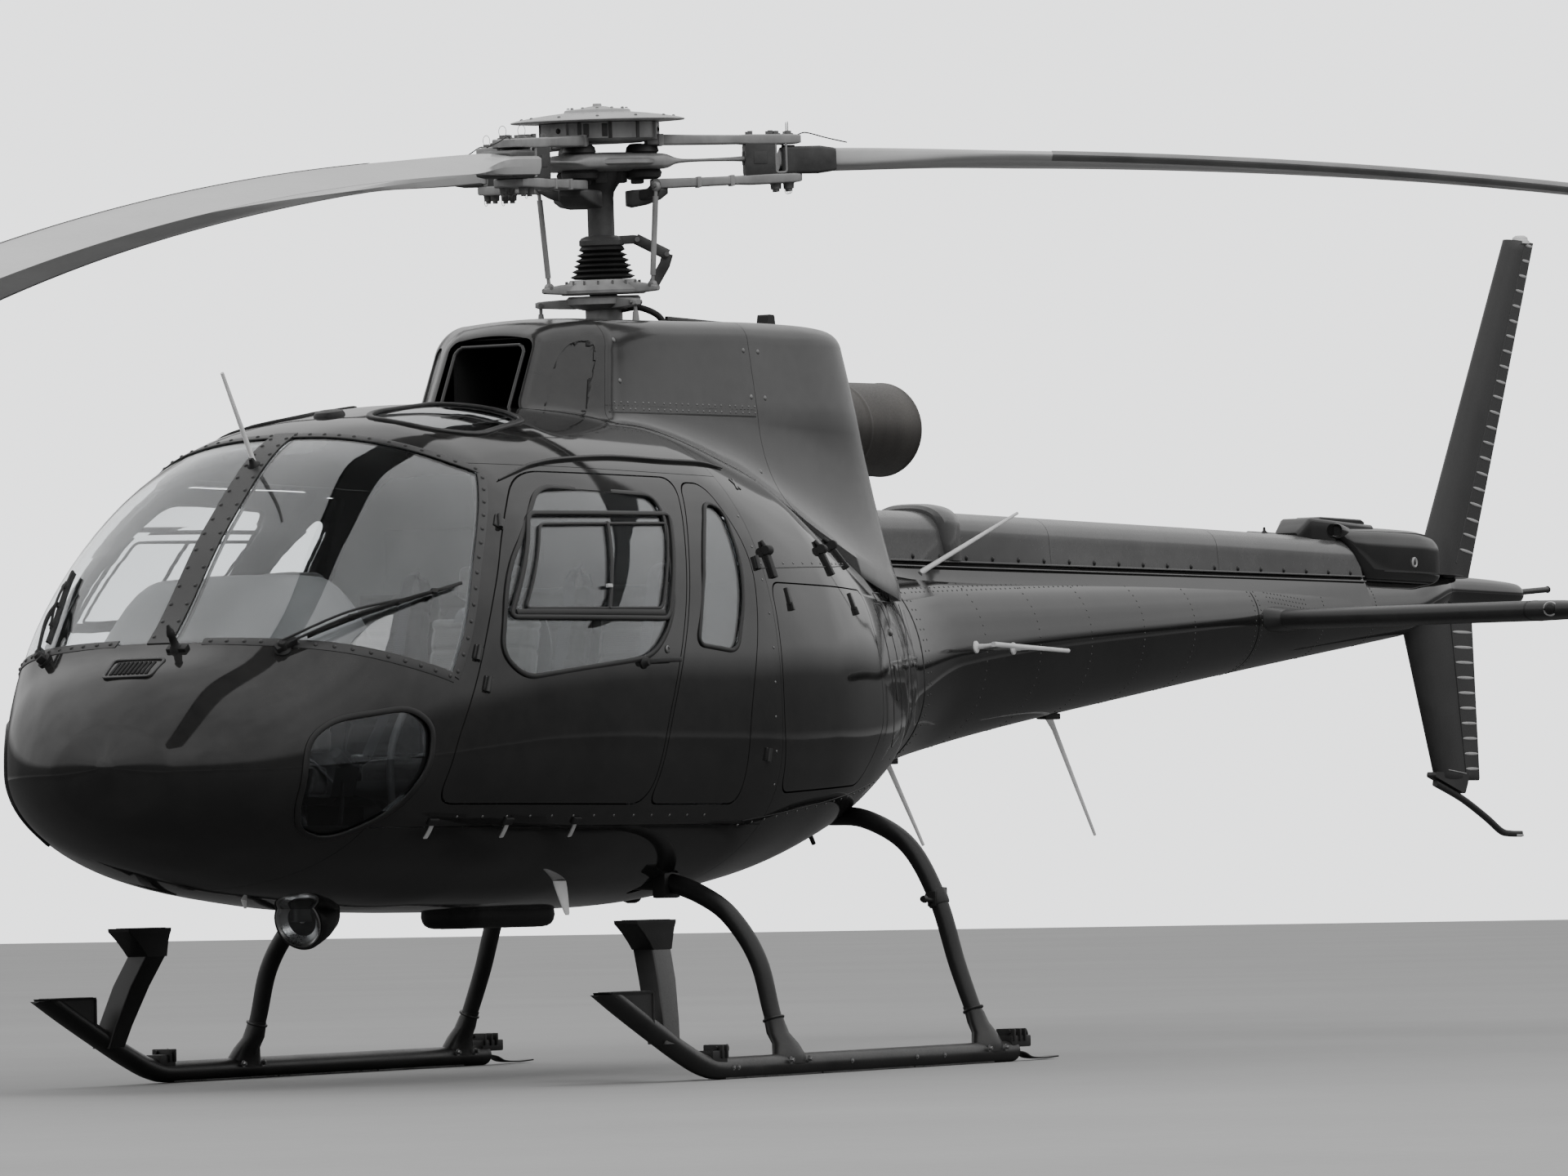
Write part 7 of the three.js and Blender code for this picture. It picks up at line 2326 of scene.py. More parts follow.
# Drip rail over the doors, with a small cross-shaped mark behind it
DRIP_RAIL = [(1.860, 1.940), (1.730, 1.974), (1.630, 1.997), (1.450, 2.020), (1.110, 2.040),
             (0.760, 2.040), (0.500, 2.041), (0.320, 2.030)]
drip = ribbon(DRIP_RAIL, 90, 0.0055, 0.0075, 0.004, taper=lambda t: min(1.0, 0.35 + 6 * min(t, 1 - t)))
piece("drip_rails", both_sides([drip]), SATIN_HIGH, angle=50)
marks = []
for a in (math.radians(45), math.radians(-45)):
    dx, dz = 0.024 * math.cos(a), 0.024 * math.sin(a)
    marks.append(ribbon([(0.331 - dx, 1.976 - dz), (0.331, 1.976), (0.331 + dx, 1.976 + dz)],
                        6, 0.006, 0.002, 0.001))
piece("roof_side_marks", both_sides(marks), BOLT, angle=45)

# Screws and straps around the body
CLIP_X = (2.390, 2.050, 1.690)
clips, straps = [], []
for x in CLIP_X:
    spot, out = skin_at(x, 0.848, 0.001)
    clips.append(moved(soft_block(-0.020, 0.020, -0.012, 0.012, -0.003, 0.007, 0.003), facing(spot, out)))
    straps.append(ribbon([(x - 0.003, 0.842), (x - 0.014, 0.820), (x - 0.024, 0.798)],
                         8, 0.0085, 0.003, 0.0015))
piece("belly_clips", both_sides(clips), RUBBER)
piece("belly_clip_straps", both_sides(straps), PALE, angle=45)
seam_spots = []
for line, pitch in (
    ([(0.500, 1.860), (0.510, 1.500), (0.530, 1.150), (0.500, 0.960)], 0.115),
    ([(0.634, 0.828), (0.300, 0.864), (-0.030, 0.896), (-0.400, 0.935), (-0.700, 0.975)], 0.088),
    ([(0.480, 1.700), (0.100, 1.712), (-0.300, 1.722), (-0.700, 1.738)], 0.092),
    ([(2.300, 0.862), (1.900, 0.862), (1.400, 0.862), (0.900, 0.862)], 0.120),
):
    seam_spots += along_skin(line, pitch, 0.0005)
piece("body_screws", domes(flipped(seam_spots), 0.0048, 0.0016, sides=10), BOLT, angle=60)
seam_lines = [
    [(0.620, 0.842), (0.300, 0.872), (-0.030, 0.905), (-0.400, 0.945), (-0.800, 0.995)],
    [(0.530, 1.682), (0.100, 1.698), (-0.300, 1.712), (-0.700, 1.735)],
    [(-0.846, 1.055), (-1.020, 1.150), (-1.200, 1.300), (-1.350, 1.470), (-1.474, 1.618)],
]
piece("body_seams", both_sides([ribbon(line, 40, 0.0018, 0.0012, 0.0) for line in seam_lines]),
      SEAL, angle=60)

# Baggage doors' hinges and catches
hinge_blocks, catch_parts = [], []
for x, z in ((0.416, 1.729), (-0.160, 1.752), (-0.541, 1.785)):
    place = upright(*skin_at(x, z - 0.035))
    hinge_blocks.append(moved(soft_block(-0.016, 0.016, -0.044, 0.050, -0.006, 0.012, 0.005), place))
    hinge_blocks.append(moved(turned([(0, -0.020), (0.015, -0.020), (0.017, -0.016),
                                      (0.017, 0.016), (0.015, 0.020), (0, 0.020)],
                                     Matrix.Translation((0, 0.052, 0.010)) @ Matrix.Rotation(math.pi / 2,
                                         4, "Y"), 20), place))
    hinge_blocks.append(moved(rod((0, 0.045, 0.012), (0, 0.088, -0.002), 0.0075, sides=12), place))
piece("baggage_hinges", both_sides(hinge_blocks), RUBBER, angle=40)
for x in (0.330, -0.340):
    place = upright(*skin_at(x, 1.600))
    catch_parts.append(moved(soft_block(-0.012, 0.012, -0.038, 0.022, -0.004, 0.007, 0.003), place))
    catch_parts.append(moved(soft_block(-0.007, 0.007, -0.058, -0.030, -0.003, 0.011, 0.003), place))
for side, turn in SIDES:
    piece(f"baggage_catches_{side}", turn(merged(catch_parts)), SATIN_HIGH, body=f"baggage_door_{side}")

# Small door and socket on the rear body, behind the baggage door
AFT_DOOR = [(-0.750, 1.600), (-0.930, 1.600), (-0.930, 1.140), (-0.750, 1.090)]
aft_lines = [frame_loop(AFT_DOOR, 0.03, 0.0018, 0.0014, 0.0)]
piece("aft_door_line", both_sides(aft_lines), SEAL, angle=60)
slot_place = upright(*skin_at(-0.835, 1.320, -0.004))
piece("aft_door_slot",
      both_sides([moved(soft_block(-0.018, 0.018, -0.062, 0.062, -0.004, 0.0052, 0.004), slot_place)]),
      DARK_GAP)
knob_spot, knob_out = skin_at(-0.905, 1.500, 0.0)
piece("aft_door_knobs",
      both_sides([turned([(0, -0.004), (0.014, -0.004), (0.014, 0.004), (0.009, 0.008), (0, 0.009)],
                         facing(knob_spot, knob_out), 20)]), BOLT)
HATCH = [(-0.880, 1.640), (-1.400, 1.655), (-1.400, 1.625), (-0.880, 1.610)]
piece("aft_hatch_line", both_sides([frame_loop(HATCH, 0.008, 0.002, 0.0014, 0.0)]), SEAL, angle=60)

# Rivets of the boom: double row high on the side, rings at the frames and a patch of three rows
boom_spots = []
for z0, z1 in ((1.683, 1.790), (1.669, 1.777)):
    for k in range(66):
        x = -1.72 - 2.77 * k / 65
        z = z0 + (z1 - z0) * (k / 65)
        boom_spots.append(skin_at(x, z, 0.0002))
for x in (-1.602, -1.640, -2.20, -2.68, -3.14, -3.62, -4.10, BOOM_JOINT_X + 0.030, BOOM_JOINT_X - 0.030,
          -5.40, -5.95):
    low, high = skin_z(x, 0.0, top=False), skin_z(x, 0.0)
    middle, half = (low + high) / 2, (high - low) / 2
    for k in range(30):
        a = math.pi * (k + 0.5) / 30 - math.pi / 2
        z = middle + half * math.sin(a) * 0.985
        boom_spots.append(skin_at(x, z, 0.0002))
for row in range(3):
    for k in range(13):
        boom_spots.append(skin_at(-4.86 - 0.030 * k, 1.700 + 0.018 * row - 0.0018 * k, 0.0002))
piece("boom_rivets", domes(flipped(boom_spots), 0.0042, 0.0016, (1.0, 0.7), 6), RIVET, angle=60)
FRAME_MIDDLE_Z = 1.45
outer_ring, ring = [hull_loft(inset, [BOOM_START_X])[0][::2] for inset in (-0.0008, 0.0)]
frame_spots = [(Vector((BOOM_START_X, q[1], q[2])), Vector((0, p[1], p[2] - FRAME_MIDDLE_Z)).normalized())
               for q, p in zip(outer_ring, ring)]
piece("boom_frame_line", bead(frame_spots, 0.003, 0.0012, 10), SEAL, angle=60)

# Cowling fasteners: along both sides of the groove and down the two seams
def cowl_side(x, z):
    """A point on the cowling's port side at a station and height, with its normal."""
    best = None
    for station in spread(0, len(COWL_RINGS) - 1, 210):
        ring = cowl_ring(station)
        half = ring[:len(ring) // 2]
        for i in range(len(half) - 1):
            a, b = Vector(half[i]), Vector(half[i + 1])
            if (a.z - z) * (b.z - z) <= 0 and abs(a.z - b.z) > 1e-5:
                t = (z - a.z) / (b.z - a.z)
                p = a.lerp(b, t)
                if best is None or abs(p.x - x) < abs(best[0].x - x):
                    best = (p, (b - a).normalized())
    out = Vector((0, best[1].z, -best[1].y))
    return best[0], out if out.y > 0 else -out


cowl_spots, cowl_screws = [], []
for side in (0.011, -0.011):
    for k in range(22):
        x = 0.600 - 0.935 * k / 21
        cowl_spots.append(cowl_side(x, 2.2405 + (0.80 - x) * 0.0221 + side))
for x, z in ((0.540, 2.470), (0.545, 2.330), (-0.300, 2.470), (-0.325, 2.310), (-0.395, 2.470),
             (-0.420, 2.310), (0.600, 2.120), (-0.280, 2.050)):
    cowl_screws.append(cowl_side(x, z))
piece("cowl_rivets", domes(flipped(cowl_spots), 0.0046, 0.0018, sides=8), BOLT, angle=60)
piece("cowl_fasteners", domes(flipped(cowl_screws), 0.0095, 0.0030, sides=14), BOLT, angle=60)
cowl_line = [cowl_side(x, 2.2175 + (0.80 - x) * 0.0221) for x in spread(0.640, -0.345, 40)]
piece("cowl_panel_lines", both_sides([bead(cowl_line, 0.0030, 0.0012, 8, False)]), SEAL, angle=60)
top_strip = soft_block(-0.75, -0.15, 0.145, 0.157, 2.562, 2.5925, 0.003)
piece("cowl_top_strips", both_sides([top_strip]), COWL_PAINT)
beacon_line = [(-0.915, 2.570), (-0.990, 2.570), (-0.975, 2.640), (-0.930, 2.640)]
beacon_body = side_prism(rounded(beacon_line, 0.008, 4), 0.078, 0.122)
piece("cowl_beacon", beacon_body, SEAL, angle=40)

# Aerials on the boom and belly
aerials, aerial_bases = [], []
spot, out = skin_at(-1.970, 1.740, 0.0)
aerial_bases.append(turned([(0, -0.01), (0.026, -0.01), (0.024, 0.006), (0.014, 0.016), (0, 0.017)],
                           facing(spot, out), 24))
tip = Vector((-2.590, spot.y + 0.10, 1.980))
aerials.append(rod(spot, spot.lerp(tip, 0.12), 0.014, sides=18, radius_end=0.010))
aerials.append(rod(spot.lerp(tip, 0.11), tip, 0.010, sides=18, radius_end=0.0055))
for x0, z1, x1 in ((-1.970, 0.760, -2.250), (-3.280, 0.790, -3.650)):
    z0 = skin_z(x0, 0.0, top=False)
    aerial_bases.append(moved(soft_block(-0.060, 0.060, -0.022, 0.022, -0.014, 0.010, 0.006),
                              Matrix.Translation((x0, 0, z0 - 0.006))))
    aerials.append(rod((x0, 0, z0 - 0.010), (x0 + (x1 - x0) * 0.12, 0, z0 + (z1 - z0) * 0.12),
                       0.015, sides=18, radius_end=0.010))
    aerials.append(rod((x0 + (x1 - x0) * 0.11, 0, z0 + (z1 - z0) * 0.11), (x1, 0, z1),
                       0.010, sides=18, radius_end=0.006))
piece("whip_aerials", merged(aerials), WHITE)
piece("whip_aerial_bases", merged(aerial_bases), RUBBER, angle=40)
RAIL_Z = 1.475
rail_parts = []
for s in (1, -1):
    ends = []
    for x in (-2.100, -2.430):
        spot, out = skin_at(x, RAIL_Z, 0.0)
        spot, out = Vector((spot.x, s * spot.y, spot.z)), Vector((out.x, s * out.y, out.z))
        tip = spot + out * 0.085
        rail_parts.append(turned([(0, -0.008), (0.024, -0.008), (0.022, 0.005), (0.010, 0.012),
                                  (0.009, 0.030), (0, 0.030)], facing(spot, out), 20))
        rail_parts.append(rod(spot, tip, 0.0085, sides=14, radius_end=0.007))
        ends.append(tip)
    along = (ends[1] - ends[0]).normalized()
    rail_parts.append(rod(ends[0] - along * 0.030, ends[0] + along * 0.640, 0.0095,
                          sides=16, radius_end=0.0075))
piece("side_rail_aerials", merged(rail_parts), WHITE, angle=40)

# Belly: landing light, pod, drain mast, pale blade and low lumps
LIGHT_SPOT = Vector((2.010, 0, 0.548))
light_axis = Vector((0.96, 0.0, -0.28)).normalized()
pot = turned([(0, -0.120), (0.050, -0.116), (0.078, -0.090), (0.090, -0.040), (0.094, 0.010),
              (0.095, 0.034), (0.091, 0.042), (0.086, 0.042),
              (0.086, 0.020), (0, 0.020)], facing(LIGHT_SPOT, light_axis), 48)
light_stem = [turned([(0, -0.11), (0.060, -0.11), (0.066, -0.06), (0.070, 0.07), (0, 0.07)],
                     Matrix.Translation((1.985, 0, 0.648)), 36),
              soft_block(1.930, 2.060, -0.070, 0.070, 0.640, 0.668, 0.008)]
bowl = turned([(0, -0.030), (0.030, -0.028), (0.060, -0.012), (0.084, 0.014), (0.080, 0.016),
               (0.056, -0.008), (0.028, -0.022), (0, -0.024)],
              facing(LIGHT_SPOT + light_axis * 0.030, light_axis), 48)
front_glass = turned([(0, 0.004), (0.050, 0.003), (0.084, -0.004), (0.084, -0.008),
                      (0.050, -0.001), (0, 0.000)],
                     facing(LIGHT_SPOT + light_axis * 0.042, light_axis), 48)
piece("landing_light_look", merged([pot] + light_stem), SATIN, replaces=["landing_light"],
      slot="satin_black", angle=40)
piece("landing_light_bowl", bowl, STEEL, angle=60)
piece("landing_light_glass", front_glass, LAMP_GLASS, angle=60)
piece("landing_light_filament", turned([(0, -0.012), (0.012, -0.012), (0.012, 0.006),
                                        (0.008, 0.012), (0, 0.013)],
                                       facing(LIGHT_SPOT + light_axis * 0.012, light_axis), 20), PALE)
POD_LENGTH, POD_HALF = (0.547, 1.178), 0.110


def pod_ring(z, inset):
    """The pod's long rounded outline at a height, drawn in."""
    x0, x1, y = POD_LENGTH[0] + inset, POD_LENGTH[1] - inset, POD_HALF - inset
    return [(p.x, p.y, z) for p in rounded([(x0, -y), (x1, -y), (x1, y), (x0, y)], y * 0.94, 12)]


pod_rows = ((0.5015, 0.040), (0.5050, 0.024), (0.5120, 0.012), (0.5240, 0.004), (0.5420, 0.0),
            (0.5700, 0.003), (0.6000, 0.008))
pod_ribs = [moved(soft_block(-0.110, 0.110, -0.005, 0.005, 0.500, 0.5040, 0.002),
                  Matrix.Translation((x, 0, 0.0005)) @ Matrix.Rotation(turn, 4, "Z"))
            for x, turn in ((0.72, 0.35), (0.72, -0.35), (1.00, 0.35), (1.00, -0.35))]
pod_plug = [rod((0.862, 0.100, 0.585), (0.862, 0.140, 0.590), 0.011, sides=16)]
piece("belly_pod_look", loft([pod_ring(z, inset) for z, inset in pod_rows]), SATIN,
      replaces=["belly_pod"], slot="satin_black", angle=40)
piece("belly_pod_line", merged(pod_ribs + pod_plug), SATIN_HIGH, angle=50)
blade_rows = [(0.012, 0.040, 0.010), (-0.010, 0.038, 0.009), (-0.045, 0.030, 0.007),
              (-0.092, 0.017, 0.004), (-0.100, 0.010, 0.003)]


def hanging_blade(x, y, z, lean, size=1.0):
    """A small flat aerial hanging from the belly, leaning aft as it narrows."""
    return loft([[(x + lean * drop + size * chord * math.cos(a), y + size * thick * math.sin(a),
                   z + size * drop)
                  for a in np.linspace(0, 2 * math.pi, 28, endpoint=False)] for drop,
                  chord, thick in blade_rows])


port_blade = hanging_blade(1.392, 0.592, 0.642, 0.42)
small_blade = hanging_blade(2.400, 0.012, 0.645, 0.15, 0.6)
piece("belly_blades", merged([port_blade, small_blade]), WHITE, angle=50)
loop_path = smooth_path([(1.560, 0.10, 0.650), (1.520, 0.10, 0.585), (1.450, 0.10, 0.570),
                         (1.385, 0.10, 0.590), (1.350, 0.10, 0.652)], 40)
piece("belly_wire", sweep(loop_path, 0.0035, sides=10), SEAL, angle=60)
lumps = []
for x, y, size in ((0.180, 0.16, 0.034), (0.020, 0.22, 0.028), (-0.160, 0.20, 0.036), (-0.420, 0.24, 0.028),
                   (-0.560, 0.10, 0.022)):
    z = skin_z(x, y, top=False)
    lumps.append(turned([(0, -0.02), (size, -0.02), (size, 0.006), (size * 0.8, 0.016),
                         (size * 0.4, 0.022), (0, 0.022)], facing((x, y, z), (0, 0, -1)), 28))
piece("belly_lumps", merged(lumps), SATIN, angle=45)
drain_z = skin_z(-0.980, 0.20, top=False)
piece("belly_drain", rod((-0.980, 0.20, drain_z + 0.01), (-1.030, 0.21, drain_z - 0.075),
                         0.010, sides=16, radius_end=0.008), RUBBER)


# Cabin: floor, bulkhead, seats, console and controls
FLOOR_Z = 0.800
LINING = 0.034


def inner_zone(x0, x1, z0, z1):
    """What lies inside the cabin's walls between these stations and heights."""
    room = hull_solid(LINING, [x for x in CABIN_STATIONS if x > 0.40] + [0.40, 0.30])
    return boolean(room, block(x0, x1, -1, 1, z0, z1), "INTERSECT")


floor_plate = inner_zone(BULKHEAD_X + 0.004, 2.72, FLOOR_Z - 0.018, FLOOR_Z - 0.0005)
carpet_rows = [soft_block(0.98, 1.50, -0.62, 0.62, FLOOR_Z - 0.004, FLOOR_Z + 0.006, 0.004)]
carpet_rows += [soft_block(1.99, 2.20, s * 0.38 - 0.24, s * 0.38 + 0.24, FLOOR_Z - 0.004,
                           FLOOR_Z + 0.006, 0.004) for s in (1, -1)]
piece("cabin_floor_look", floor_plate, CARPET, replaces=["cabin_floor"], slot="interior_trim", angle=40)
piece("floor_mats", merged(carpet_rows), RUBBER)
bulkhead = inner_zone(BULKHEAD_X + 0.003, BULKHEAD_X + 0.016, FLOOR_Z, 2.05)
bulkhead_pads = []
for s in (1, -1):
    for z0, z1 in ((0.86, 1.30), (1.33, 1.86)):
        bulkhead_pads.append(soft_block(BULKHEAD_X + 0.012, BULKHEAD_X + 0.030, *sorted((s * 0.02, s * 0.60)),
                                        z0, z1, 0.010, 3))
piece("rear_bulkhead_look", bulkhead, CABIN_LIGHT, replaces=["rear_bulkhead"], slot="interior_trim", angle=40)
piece("bulkhead_pads", merged(bulkhead_pads), CABIN_LIGHT, angle=50)


# Cushions are swollen by a cloth simulation from a slightly smaller shape, then sewn with channels
CLOTH_STEPS = 20
CLOTH_QUALITY = 4
CLOTH_PRESSURE = 4.0
CLOTH_STIFFNESS = 15.0
CHANNEL_DEPTH = 0.006
CHANNEL_WIDTH = 0.007
CUSHION_VOXEL = 0.0064
CUSHION_EDGE = 0.035
STRAP_HALF = 0.022


def swollen(mesh, cap):
    """The mesh remeshed and blown up like a stuffed cover; no point moves further than the cap."""
    source = bpy.data.objects.new("cushion", mesh)
    bpy.context.scene.collection.objects.link(source)
    remesh = source.modifiers.new("remesh", "REMESH")
    remesh.mode = "VOXEL"
    remesh.voxel_size = CUSHION_VOXEL
    base = bpy.data.meshes.new_from_object(source.evaluated_get(bpy.context.evaluated_depsgraph_get()))
    source.modifiers.clear()
    source.data = base
    before = np.zeros(len(base.vertices) * 3)
    base.vertices.foreach_get("co", before)
    after = before.copy()
    cloth = source.modifiers.new("cloth", "CLOTH")
    cloth.settings.quality = CLOTH_QUALITY
    cloth.settings.use_pressure = True
    cloth.settings.uniform_pressure_force = CLOTH_PRESSURE
    cloth.settings.tension_stiffness = CLOTH_STIFFNESS
    cloth.settings.compression_stiffness = CLOTH_STIFFNESS
    cloth.settings.effector_weights.gravity = 0.0
    cloth.point_cache.frame_start = 1
    cloth.point_cache.frame_end = CLOTH_STEPS
    for step in range(1, CLOTH_STEPS + 1):
        bpy.context.scene.frame_set(step)
    shown = source.evaluated_get(bpy.context.evaluated_depsgraph_get())
    shown.data.vertices.foreach_get("co", after)
    bpy.context.scene.frame_set(1)
    source.modifiers.clear()
    before, after = before.reshape(-1, 3), after.reshape(-1, 3)
    move = after - before
    reach = np.linalg.norm(move, axis=1, keepdims=True)
    move *= np.minimum(1.0, cap / np.maximum(reach, 1e-9))
    base.vertices.foreach_set("co", (before + move).ravel())
    bpy.data.objects.remove(source)
    return base


def channelled(mesh, seams):
    """Draws the surface in along lines across X, as sewn channels do."""
    co = np.zeros(len(mesh.vertices) * 3)
    mesh.vertices.foreach_get("co", co)
    co = co.reshape(-1, 3)
    normal = np.zeros(len(mesh.vertices) * 3)
    mesh.vertices.foreach_get("normal", normal)
    normal = normal.reshape(-1, 3)
    pull = np.zeros(len(co))
    for seam in seams:
        pull = np.maximum(pull, np.exp(-((co[:, 0] - seam) / CHANNEL_WIDTH) ** 2))
    co -= normal * (pull * CHANNEL_DEPTH)[:, None]
    mesh.vertices.foreach_set("co", co.ravel())
    mesh.update()
    return mesh


def cushion(length, width, depth, seams, cap=0.012):
    """A stuffed pad lying flat: length along X with channels across it, width along Y, crown up."""
    shape = soft_block(cap, length - cap, -width / 2 + cap, width / 2 - cap, cap * 0.4,
                       depth - cap, CUSHION_EDGE, 4)
    return channelled(swollen(shape, cap), seams)


BACK_TILT = math.atan2(0.130, 0.660)
SEAT_X = 1.520
SEAT_Y = 0.385
pan_pad = cushion(0.455, 0.440, 0.115, [0.11, 0.19, 0.27, 0.35])
back_pad = cushion(0.470, 0.430, 0.095, [0.10, 0.18, 0.26, 0.34, 0.41])
head_pad = cushion(0.130, 0.250, 0.080, [0.066], cap=0.009)
bench_pad = cushion(0.455, 0.310, 0.115, [0.11, 0.19, 0.27, 0.35])
bench_back = cushion(0.600, 0.308, 0.095, [0.12, 0.22, 0.32, 0.42, 0.51])
pan_place = Matrix.Translation((SEAT_X + 0.015, 0, FLOOR_Z + 0.142))


def back_place(x, z, out=0.0):
    """Stands a lying pad against the seat back, crown forwards."""
    axes = Matrix(((-math.sin(BACK_TILT), 0, math.cos(BACK_TILT)), (0, 1, 0),
                   (math.cos(BACK_TILT), 0, math.sin(BACK_TILT)))).transposed().to_4x4()
    return Matrix.Translation((x, 0, z)) @ axes @ Matrix.Translation((0, 0, out))


def seat_shell(y0, y1, x, bolster=0.030):
    """The moulded shell under and behind the pads, as a bent sheet with raised sides."""
    line = [(x + 0.485, FLOOR_Z + 0.185), (x + 0.470, FLOOR_Z + 0.140), (x + 0.250, FLOOR_Z + 0.122),
            (x + 0.020, FLOOR_Z + 0.124),
            (x - 0.012, FLOOR_Z + 0.180), (x - 0.040, FLOOR_Z + 0.330), (x - 0.080, FLOOR_Z + 0.560),
            (x - 0.112, FLOOR_Z + 0.740)]
    path = smooth_path([(a, 0, b) for a, b in line], 50)
    rings = []
    for i, p in enumerate(path):
        ahead, behind = path[min(i + 1, 49)], path[max(i - 1, 0)]
        along = (ahead - behind).normalized()
        up = Vector((along.z, 0, -along.x))
        t = i / 49
        narrow = 0.055 * max(0.0, (t - 0.86) / 0.14) ** 2
        shape = []
        for f in spread(-1, 1, 16):
            y = (y0 + y1) / 2 + f * ((y1 - y0) / 2 - 0.004 - narrow)
            shape.append((y, bolster * abs(f) ** 8))
        ring = [p + Vector((0, y, 0)) + up * lift for y, lift in shape]
        ring += [p + Vector((0, y, 0)) + up * (lift - 0.010) for y, lift in shape[::-1]]
        rings.append(ring)
    return loft(rings)


def strap(points, normal):
    path = smooth_path(points, 30)
    return sweep(path, STRAP_HALF, 0.0016, [normal] * len(path), "soft", 12)


def front_seat(y):
    shell = seat_shell(y - 0.232, y + 0.232, SEAT_X)
    pads = [moved(pan_pad, Matrix.Translation((0, y, 0)) @ pan_place),
            moved(back_pad, Matrix.Translation((0, y, 0)) @ back_place(SEAT_X + 0.000,
                FLOOR_Z + 0.262, 0.006)),
            moved(head_pad, Matrix.Translation((0, y, 0)) @ back_place(SEAT_X - 0.102,
                FLOOR_Z + 0.756, 0.008))]
    rails = [soft_block(SEAT_X + 0.070, SEAT_X + 0.410, y + s * 0.150 - 0.016, y + s * 0.150 + 0.016,
                        FLOOR_Z + 0.001, FLOOR_Z + 0.026, 0.004) for s in (1, -1)]
    for s in (1, -1):
        for dx in (0.110, 0.370):
            rails.append(rod((SEAT_X + dx, y + s * 0.150, FLOOR_Z + 0.020),
                             (SEAT_X + dx + (0.03 if dx < 0.2 else -0.03), y + s * 0.140, FLOOR_Z + 0.124),
                             0.012, sides=14))
    rails.append(rod((SEAT_X + 0.400, y - 0.15, FLOOR_Z + 0.060), (SEAT_X + 0.400, y + 0.15, FLOOR_Z + 0.060),
                     0.009, sides=12))
    posts = [rod((SEAT_X - 0.098, y + s * 0.060, FLOOR_Z + 0.700),
                 (SEAT_X - 0.118, y + s * 0.060, FLOOR_Z + 0.800), 0.007, sides=12) for s in (1, -1)]
    straps = []
    for s in (1, -1):
        straps.append(strap([(SEAT_X - 0.115, y + s * 0.060, FLOOR_Z + 0.745),
                             (SEAT_X - 0.010, y + s * 0.072, FLOOR_Z + 0.735),
                             (SEAT_X + 0.015, y + s * 0.085, FLOOR_Z + 0.640),
                             (SEAT_X + 0.070, y + s * 0.060, FLOOR_Z + 0.420),
                             (SEAT_X + 0.170, y + s * 0.028, FLOOR_Z + 0.275)], (1, 0, 0.3)))
        straps.append(strap([(SEAT_X + 0.060, y + s * 0.226, FLOOR_Z + 0.190),
                             (SEAT_X + 0.110, y + s * 0.170, FLOOR_Z + 0.268),
                             (SEAT_X + 0.170, y + s * 0.090, FLOOR_Z + 0.276),
                             (SEAT_X + 0.185, y + s * 0.030, FLOOR_Z + 0.273)], (0.2, 0, 1)))
    buckle = soft_block(SEAT_X + 0.155, SEAT_X + 0.215, y - 0.028, y + 0.028, FLOOR_Z + 0.268,
                        FLOOR_Z + 0.290, 0.008)
    return shell, pads, rails + posts, straps, buckle


for side, sign in (("port", 1), ("starboard", -1)):
    shell, pads, rails, straps, buckle = front_seat(sign * SEAT_Y)
    name = f"front_seat_{side}"
    piece(name + "_shell", shell, CABIN_TRIM, replaces=[name], angle=50)
    for kind, pad in zip(("pan", "back", "head"), pads):
        piece(f"{name}_{kind}_pad", pad, SEAT_CLOTH, slot="cloth", angle=180)
    piece(name + "_rails", merged(rails), ALLOY, angle=45)
    piece(name + "_belts", merged(straps), BELT, angle=60)
    piece(name + "_buckle", buckle, STEEL, angle=45)

